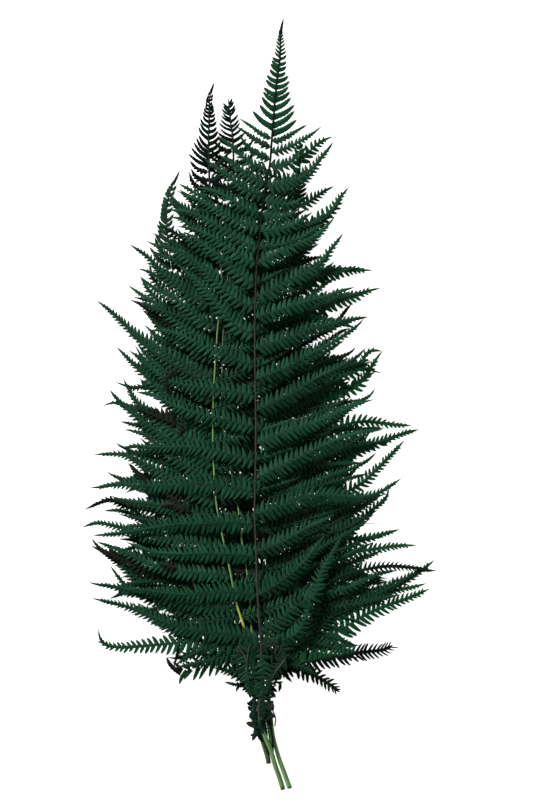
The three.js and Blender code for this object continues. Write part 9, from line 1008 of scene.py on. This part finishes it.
def leaf_material(name, deep, light, vivid):
    m, nodes, links, shader = material(name)
    rnd, cross, along = attributes(nodes, links, "leaf")
    bright, dark, brown = attributes(nodes, links, "tone")
    place = nodes.new("ShaderNodeTexCoord").outputs["Object"]
    coarse = noise(nodes, links, place, 90.0, 3.0)
    fine = noise(nodes, links, place, 900.0, 3.0, 0.65)
    grain = noise(nodes, links, place, 3400.0, 2.0, 0.6)
    # blend of two greens by pinnule and by patches
    f = maths(nodes, links, "MULTIPLY_ADD", rnd, 0.45)
    nodes[-1].inputs[2].default_value = 0.0
    f = maths(nodes, links, "ADD", f, ramp(nodes, links, coarse, 0.32, 0.68, 0.0, 0.45))
    f = maths(nodes, links, "ADD", f, ramp(nodes, links, fine, 0.3, 0.7, -0.12, 0.16))
    colour = mix(nodes, links, f, deep, light)
    colour = mix(nodes, links, bright, colour, vivid)
    # near-black and brown-black pinnae, in patches
    spot = ramp(nodes, links, coarse, 0.42, 0.6, -0.2, 0.25)
    dk = maths(nodes, links, "ADD", dark, maths(nodes, links, "MULTIPLY", spot, dark))
    colour = mix(nodes, links, dk, colour, rgb(5, 9, 8))
    colour = mix(nodes, links, maths(nodes, links, "ADD", brown, maths(nodes, links, "MULTIPLY", spot, brown)), colour, rgb(26, 22, 22))
    # vein and margins: a darker line down the middle, a paler rim
    top = ramp(nodes, links, cross, 0.0, 0.22, 1.0, 0.0)
    colour = mix(nodes, links, maths(nodes, links, "MULTIPLY", top, 0.4), colour, rgb(3, 16, 10))
    rim = maths(nodes, links, "MULTIPLY", ramp(nodes, links, cross, 0.62, 0.98, 0.0, 1.0), ramp(nodes, links, cross, 1.3, 1.6, 1.0, 0.0))
    colour = mix(nodes, links, maths(nodes, links, "MULTIPLY", rim, 0.2), colour, rgb(28, 76, 52))
    # bases sit in the shade of the midrib and are darker
    base = ramp(nodes, links, along, 0.0, 0.25, 0.3, 0.0)
    colour = mix(nodes, links, base, colour, rgb(2, 12, 8))
    # paler matt underside
    under = ramp(nodes, links, cross, 1.4, 2.0, 0.0, 1.0)
    colour = mix(nodes, links, maths(nodes, links, "MULTIPLY", under, 0.45), colour, rgb(44, 70, 52))
    links.new(colour, shader.inputs["Base Color"])
    links.new(ramp(nodes, links, fine, 0.25, 0.75, 0.5, 0.72), shader.inputs["Roughness"])
    links.new(ramp(nodes, links, dark, 0.1, 0.9, 0.1, 0.012), shader.inputs["Specular IOR Level"])
    bump = nodes.new("ShaderNodeBump")
    bump.inputs["Strength"].default_value = 0.35
    bump.inputs["Distance"].default_value = 0.00012
    height = maths(nodes, links, "ADD", maths(nodes, links, "MULTIPLY", fine, 0.7), maths(nodes, links, "MULTIPLY", grain, 0.4))
    links.new(height, bump.inputs["Height"])
    links.new(bump.outputs[0], shader.inputs["Normal"])
    # a thin leaf lets some light through, a dark one hardly any
    through = nodes.new("ShaderNodeBsdfTranslucent")
    shade = maths(nodes, links, "MAXIMUM", dark, brown)
    links.new(mix(nodes, links, shade, mix(nodes, links, bright, (0.0, 0.026, 0.006, 1), (0.0, 0.075, 0.016, 1)), (0.001, 0.003, 0.002, 1)), through.inputs["Color"])
    both = nodes.new("ShaderNodeAddShader")
    links.new(shader.outputs["BSDF"], both.inputs[0])
    links.new(through.outputs["BSDF"], both.inputs[1])
    links.new(both.outputs[0], nodes["out"].inputs["Surface"])
    return m


def stalk_material(name, low, high, painted_highlight_green, dark=rgb(56, 47, 49)):
    """A stalk or rib: fine lengthwise streaks, green at the cut end, brown above where tone says so, with painted shade
    down both sides and, on the green stalk, a painted highlight line.
    """
    m, nodes, links, shader = material(name)
    rnd, around, along = attributes(nodes, links, "leaf")
    bright, black, brown = attributes(nodes, links, "tone")
    join = nodes.new("ShaderNodeCombineXYZ")
    links.new(maths(nodes, links, "MULTIPLY", along, 1.6), join.inputs[0])
    wrap = maths(nodes, links, "SINE", maths(nodes, links, "MULTIPLY", around, 2 * math.pi))
    wrap2 = maths(nodes, links, "COSINE", maths(nodes, links, "MULTIPLY", around, 2 * math.pi))
    links.new(maths(nodes, links, "MULTIPLY", wrap, 2.2), join.inputs[1])
    links.new(maths(nodes, links, "MULTIPLY", wrap2, 2.2), join.inputs[2])
    streak = noise(nodes, links, join.outputs[0], 3.2, 4.0, 0.6)
    place = nodes.new("ShaderNodeTexCoord").outputs["Object"]
    patch = noise(nodes, links, place, 160.0, 3.0)
    speck = noise(nodes, links, place, 1400.0, 2.0)
    colour = mix(nodes, links, ramp(nodes, links, streak, 0.36, 0.64, 0.0, 1.0), low, high)
    # painted shade: both sides of the stalk are darkened as if turned away from the light, dark green on the green
    # stalk and grey on the grey rib
    painted_side_shade = maths(nodes, links, "ABSOLUTE", wrap2)
    colour = mix(nodes, links, ramp(nodes, links, painted_side_shade, 0.62, 0.98, 0.0, 0.75), colour, rgb(22, 58, 22) if painted_highlight_green else rgb(24, 30, 26))
    # painted highlight: a pale line along the stalk a little left of its top, as if lit from the upper left; its
    # strength is the painted highlight argument, which is zero on the grey rib
    line = maths(nodes, links, "ABSOLUTE", maths(nodes, links, "SUBTRACT", around, 0.33))
    colour = mix(nodes, links, maths(nodes, links, "MULTIPLY", ramp(nodes, links, line, 0.0, 0.075, painted_highlight_green, 0.0), ramp(nodes, links, streak, 0.3, 0.6, 0.4, 1.0)), colour, rgb(176, 212, 148))
    colour = mix(nodes, links, bright, colour, rgb(172, 186, 66))
    if painted_highlight_green:
        colour = mix(nodes, links, ramp(nodes, links, patch, 0.55, 0.8, 0.0, 0.5), colour, rgb(48, 104, 54))
    shade = maths(nodes, links, "ADD", brown, ramp(nodes, links, patch, 0.35, 0.65, -0.08, 0.08))
    colour = mix(nodes, links, shade, colour, dark)
    colour = mix(nodes, links, maths(nodes, links, "MULTIPLY", ramp(nodes, links, speck, 0.6, 0.75, 0.0, 1.0), 0.3), colour, rgb(26, 24, 22))
    colour = mix(nodes, links, maths(nodes, links, "MULTIPLY", black, 0.92), colour, rgb(8, 24, 16))
    links.new(colour, shader.inputs["Base Color"])
    links.new(ramp(nodes, links, streak, 0.2, 0.8, 0.42, 0.62), shader.inputs["Roughness"])
    links.new(ramp(nodes, links, black, 0.0, 1.0, 0.26, 0.03), shader.inputs["Specular IOR Level"])
    bump = nodes.new("ShaderNodeBump")
    bump.inputs["Strength"].default_value = 0.5
    bump.inputs["Distance"].default_value = 0.0002
    links.new(maths(nodes, links, "ADD", streak, maths(nodes, links, "MULTIPLY", speck, 0.3)), bump.inputs["Height"])
    links.new(bump.outputs[0], shader.inputs["Normal"])
    return m


def pith_material():
    m, nodes, links, shader = material("pith")
    place = nodes.new("ShaderNodeTexCoord").outputs["Object"]
    dots = nodes.new("ShaderNodeTexVoronoi")
    dots.inputs["Scale"].default_value = 1500.0
    links.new(place, dots.inputs["Vector"])
    cloud = noise(nodes, links, place, 900.0, 3.0)
    colour = mix(nodes, links, ramp(nodes, links, dots.outputs["Distance"], 0.1, 0.6), rgb(150, 132, 84), rgb(206, 208, 152))
    colour = mix(nodes, links, ramp(nodes, links, cloud, 0.4, 0.7, 0.0, 0.6), colour, rgb(104, 128, 66))
    links.new(colour, shader.inputs["Base Color"])
    links.new(ramp(nodes, links, cloud, 0.3, 0.7, 0.75, 0.95), shader.inputs["Roughness"])
    bump = nodes.new("ShaderNodeBump")
    bump.inputs["Strength"].default_value = 0.7
    bump.inputs["Distance"].default_value = 0.0003
    links.new(dots.outputs["Distance"], bump.inputs["Height"])
    links.new(bump.outputs[0], shader.inputs["Normal"])
    return m


def cord_material():
    m, nodes, links, shader = material("cord")
    rnd, around, along = attributes(nodes, links, "leaf")
    place = nodes.new("ShaderNodeTexCoord").outputs["Object"]
    fibre = noise(nodes, links, place, 2600.0, 4.0, 0.7)
    cloud = noise(nodes, links, place, 260.0, 2.0)
    colour = mix(nodes, links, ramp(nodes, links, fibre, 0.3, 0.7), rgb(20, 19, 20), rgb(66, 62, 64))
    colour = mix(nodes, links, ramp(nodes, links, cloud, 0.45, 0.75, 0.0, 0.5), colour, rgb(84, 80, 82))
    links.new(colour, shader.inputs["Base Color"])
    links.new(ramp(nodes, links, fibre, 0.2, 0.8, 0.7, 0.95), shader.inputs["Roughness"])
    shader.inputs["Sheen Weight"].default_value = 0.15
    bump = nodes.new("ShaderNodeBump")
    bump.inputs["Strength"].default_value = 0.8
    bump.inputs["Distance"].default_value = 0.00015
    links.new(fibre, bump.inputs["Height"])
    links.new(bump.outputs[0], shader.inputs["Normal"])
    return m


def rib_material():
    """A pinna's midrib: brown-grey beside the stalk, the leaf's own dark green further out."""
    m, nodes, links, shader = material("midrib")
    rnd, around, along = attributes(nodes, links, "leaf")
    green, black, brown = attributes(nodes, links, "tone")
    place = nodes.new("ShaderNodeTexCoord").outputs["Object"]
    patch = noise(nodes, links, place, 240.0, 3.0)
    speck = noise(nodes, links, place, 1800.0, 3.0, 0.65)
    colour = mix(nodes, links, ramp(nodes, links, speck, 0.3, 0.7), rgb(24, 30, 26), rgb(44, 50, 45))
    leafy = mix(nodes, links, ramp(nodes, links, patch, 0.35, 0.65), rgb(8, 34, 22), rgb(20, 52, 36))
    colour = mix(nodes, links, maths(nodes, links, "ADD", green, ramp(nodes, links, patch, 0.35, 0.65, -0.15, 0.15)), colour, leafy)
    colour = mix(nodes, links, maths(nodes, links, "MULTIPLY", black, 0.85), colour, rgb(6, 10, 9))
    links.new(colour, shader.inputs["Base Color"])
    links.new(ramp(nodes, links, speck, 0.25, 0.75, 0.5, 0.7), shader.inputs["Roughness"])
    shader.inputs["Specular IOR Level"].default_value = 0.2
    bump = nodes.new("ShaderNodeBump")
    bump.inputs["Strength"].default_value = 0.4
    bump.inputs["Distance"].default_value = 0.0001
    links.new(speck, bump.inputs["Height"])
    links.new(bump.outputs[0], shader.inputs["Normal"])
    return m


RIB = rib_material()
LEAF = {
    "frond_front": leaf_material("leaf_front", rgb(7, 45, 28), rgb(29, 82, 56), rgb(5, 64, 33)),
    "frond_upper_left": leaf_material("leaf_upper_left", rgb(6, 43, 26), rgb(26, 76, 51), rgb(5, 62, 32)),
    "frond_middle": leaf_material("leaf_middle", rgb(6, 44, 26), rgb(25, 75, 50), rgb(5, 64, 33)),
    "frond_right": leaf_material("leaf_right", rgb(6, 45, 27), rgb(24, 76, 49), rgb(5, 64, 33)),
    "frond_lower_left": leaf_material("leaf_lower_left", rgb(6, 43, 27), rgb(26, 75, 51), rgb(5, 62, 32)),
}
STEM_GREEN = stalk_material("stalk_green", rgb(35, 78, 32), rgb(117, 166, 90), 0.45)
GREY_RIB = stalk_material("rib_grey", rgb(32, 41, 35), rgb(64, 71, 63), 0.0)
PITH = pith_material()
CORD = cord_material()
STALK_SLIM = {"frond_front": [(-300, 0.97), (-230, 0.95), (-150, 0.78), (-50, 0.68), (140, 0.72), (170, 0.95), (210, 1.15), (240, 1.35), (300, 1.5)]}
STALK_SLIM_OTHER = [(-300, 0.97), (-200, 0.95), (-150, 0.9), (120, 0.9), (160, 1.5), (300, 1.7)]
# where a stalk is yellow, by y in mm
STALK_YELLOW = {"frond_upper_left": [(-176, 0.0), (-168, 1.0), (-160, 0.7), (-150, 0.25), (-140, 0.0)]}
# how brown the stalk is, by y in mm: brown to black above, fresh green at the cut end
STALK_BROWN = {
    "frond_front": [(-300, 0.0), (-255.5, 0.0), (-253.5, 0.35), (-232, 0.5), (-215, 1.0), (300, 1.0)],
    "frond_upper_left": [(-300, 0.0), (-180, 0.0), (60, 0.05), (140, 0.8), (300, 1.0)],
    "frond_middle": [(-300, 0.1), (-230, 0.1), (-180, 0.0), (40, 0.05), (140, 0.8), (300, 1.0)],
    "frond_right": [(-300, 0.0), (-60, 0.05), (20, 0.3), (120, 0.9), (300, 1.0)],
    "frond_lower_left": [(-300, 0.1), (-240, 0.15), (-200, 0.8), (300, 1.0)],
}
STALK_BLACK = {
    "frond_front": [(-300, 0.0), (-255.5, 0.0), (-253.5, 0.35), (-230, 0.45), (-200, 0.2), (60, 0.25), (120, 0.8), (150, 1.0), (300, 1.0)],
    "frond_upper_left": [(-300, 0.2), (-255, 0.25), (-235, 0.0), (80, 0.1), (160, 0.9), (300, 1.0)],
    "frond_middle": [(-300, 0.62), (-240, 0.55), (-225, 0.0), (80, 0.1), (160, 0.9), (300, 1.0)],
    "frond_right": [(-300, 0.0), (60, 0.3), (140, 0.9), (300, 1.0)],
    "frond_lower_left": [(-300, 0.6), (-200, 0.6), (300, 0.9)],
}


# ---- the fronds ---------------------------------------------------------------
def stalk(name, data):
    line = list(reversed(data["stalk"]))
    curve = Curve([q[:3] for q in line], per=12)
    knots = Curve([(q[0], q[1], q[2], q[3]) for q in line], per=12)
    solid = Solid()
    sides, steps = 14, 170
    t = np.linspace(0, 1, steps + 1)
    s = t * curve.length
    p = curve.at(s)
    radius = np.maximum(knots.at(t * knots.length)[:, 3], 0.12) * lookup(STALK_SLIM.get(name, STALK_SLIM_OTHER), p[:, 1])
    d = curve.tangent(s, 1.5)
    side = unit(np.cross(d, np.array([0, 0, 1.0])))
    up = np.cross(side, d)
    a = np.arange(sides) / sides * 2 * math.pi
    off = (a - math.pi / 2 + math.pi) % (2 * math.pi) - math.pi
    rim = 1 - 0.2 * np.exp(-(off / 0.42) ** 2)
    wob = 1 + 0.02 * np.sin(s / 7.0)[:, None] + 0.015 * np.sin(3 * a[None, :] + s[:, None] / 11.0)
    r = radius[:, None] * rim[None, :] * wob
    rings = p[:, None, :] + (r * np.cos(a))[:, :, None] * side[:, None, :] + (r * np.sin(a))[:, :, None] * up[:, None, :]
    leaf = np.empty((steps + 1, sides, 3))
    leaf[:, :, 0] = 0.5
    leaf[:, :, 1] = a[None, :] / (2 * math.pi)
    leaf[:, :, 2] = t[:, None] * 6
    y = p[:, 1]
    tone = np.zeros((steps + 1, sides, 3))
    tone[:, :, 0] = lookup(STALK_YELLOW.get(name, [(0, 0.0)]), y)[:, None]
    tone[:, :, 1] = lookup(STALK_BLACK[name], y)[:, None]
    tone[:, :, 2] = lookup(STALK_BROWN[name], y)[:, None]
    solid.loft(rings[:, ::-1], leaf[:, ::-1], tone, 0, cap_mat=1, flat_caps=True)
    obj = solid.object(name + "_stalk", [STEM_GREEN, PITH])
    return obj


for number, (name, data) in enumerate(FRONDS.items()):
    halves = {"L": Solid(), "R": Solid()}
    centre = Curve([q[:3] for q in reversed(data["stalk"])], per=12)
    centre = centre.at(np.linspace(0, centre.length, 900))
    for place, (side, kind, size, code, line, *bare) in enumerate(data["blades"]):
        rng = np.random.default_rng([SEED, number, place])
        if line[0][1] < -205 and kind in "ns" and code == "g":
            code = "m"
        if kind in "scph" and line[0][1] > -185:
            away = np.hypot(centre[:, 0] - line[0][0], centre[:, 1] - line[0][1])
            if away.min() < 4:
                line = [tuple(centre[away.argmin()])] + list(line[1:])
        curve = Curve(line)
        if kind == "s":
            leaflet(halves[side], curve, size, code, rng)
        elif kind == "r":
            tube(halves[side], curve, lambda x: 0.55 * (1 - 0.7 * x), 7, 14, np.array([0, 0.3, 1.0]), 1)
        elif kind == "k":
            tube(halves[side], curve, lambda x: 0.42 * size * math.sin(math.pi * (0.12 + 0.8 * x)) ** 0.6, 9, 16, np.array([0, 0.1 if code == "g" else 0.5, 0]), 3)
        else:
            divided(halves[side], curve, size, code, name, rng, kind, *bare)
    made = [stalk(name, data)]
    for side, word in (("L", "left"), ("R", "right")):
        made.append(halves[side].object(f"{name}_pinnae_{word}", [LEAF[name], RIB, STEM_GREEN, GREY_RIB]))
    for obj in made:
        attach(obj, "root")
        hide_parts(name)

# ---- the binding cord -----------------------------------------------------------
turn = np.linspace(0.0, TIE_TURNS - 0.02, 60 * TIE_TURNS)
ang = turn * 2 * math.pi
x = TIE_HALF[0] * np.cos(ang)
path = np.stack([
    TIE_CENTRE[0] + x,
    TIE_CENTRE[1] + (turn - TIE_TURNS / 2 + 0.0) * TIE_PITCH + TIE_SLANT * x,
    TIE_CENTRE[2] + TIE_HALF[1] * np.sin(ang)], axis=1)
first = path[0]
tail_curve = Curve([(first[0] - 0.2, first[1] + 1.4, first[2] - 1.6), tuple(first), *TIE_TAIL], per=16)
tail_pts = tail_curve.at(np.linspace(tail_curve.length, 1.8, 40))
path = np.vstack([tail_pts, path[1:]])
rope = Curve(path, per=3)
solid = Solid()
steps = 420
s = np.linspace(0, rope.length, steps + 1)
p = rope.at(s)
d = rope.tangent(s, 0.5)
ref = unit(p - np.array([TIE_CENTRE[0], 0, TIE_CENTRE[2]]) * np.array([1, 0, 1]) - np.stack([0 * s, p[:, 1], 0 * s], axis=1))
n1 = unit(ref - (ref * d).sum(1, keepdims=True) * d)
n2 = np.cross(d, n1)
for strand in range(3):
    phase = strand * 2 * math.pi / 3 + s / 2.6 * 2 * math.pi
    centre = p + 0.26 * (np.cos(phase)[:, None] * n1 + np.sin(phase)[:, None] * n2)
    a = np.arange(7) / 7 * 2 * math.pi
    rings = centre[:, None, :] + 0.3 * (np.cos(a)[None, :, None] * n1[:, None, :] + np.sin(a)[None, :, None] * n2[:, None, :])
    leaf = np.empty((steps + 1, 7, 3))
    leaf[:, :, 0] = strand / 3
    leaf[:, :, 1] = a[None, :] / (2 * math.pi)
    leaf[:, :, 2] = (s / rope.length)[:, None]
    solid.loft(rings, leaf, np.zeros(3), 0)
cord = solid.object("binding_cord_twisted", [CORD])
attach(cord, "root")
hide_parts("binding_cord")

# ---- floor, light and camera ------------------------------------------------------
floor_mesh = bpy.data.meshes.new("floor")
floor_mesh.from_pydata([(-4, -4, 0), (4, -4, 0), (4, 4, 0), (-4, 4, 0)], [], [(0, 1, 2, 3)])
floor = bpy.data.objects.new("floor", floor_mesh)
bpy.context.scene.collection.objects.link(floor)
m, nodes, links, shader = material("floor")
shader.inputs["Base Color"].default_value = (0.5, 0.5, 0.5, 1)
shader.inputs["Roughness"].default_value = 0.9
shader.inputs["Specular IOR Level"].default_value = 0.0
shader.inputs["Emission Color"].default_value = (1, 1, 1, 1)
shader.inputs["Emission Strength"].default_value = 0.95
floor_mesh.materials.append(m)

world = bpy.data.worlds.new("studio")
world.use_nodes = True
world.node_tree.nodes["Background"].inputs[0].default_value = (1, 1, 1, 1)
world.node_tree.nodes["Background"].inputs[1].default_value = 0.07
bpy.context.scene.world = world


def softbox(name, place, aim, size, power):
    data = bpy.data.lights.new(name, "AREA")
    data.shape = "DISK"
    data.size = size
    data.energy = power
    light = bpy.data.objects.new(name, data)
    from mathutils import Vector
    light.location = place
    light.rotation_mode = "QUATERNION"
    light.rotation_quaternion = (Vector(aim) - Vector(place)).to_track_quat("-Z", "Y")
    bpy.context.scene.collection.objects.link(light)


softbox("key", (-1.75, 2.1, 2.1), (0, 0, 0), 0.95, 190)
softbox("fill", (1.2, -0.3, 1.2), (0, 0, 0), 1.0, 6)

camera_data = bpy.data.cameras.new("camera")
camera_data.type = "PERSP"
camera_data.lens = 100
camera_data.sensor_width = 36
camera_data.clip_start = 0.05
camera_data.clip_end = 50
camera = bpy.data.objects.new("camera", camera_data)
camera.location = (0.00794, 0.0, 0.012 + 100 / 36 * 0.62775)
camera.rotation_euler = (0, 0, 0)
bpy.context.scene.collection.objects.link(camera)
bpy.context.scene.camera = camera
bpy.context.scene.view_settings.view_transform = "Standard"
bpy.context.scene.view_settings.look = "None"
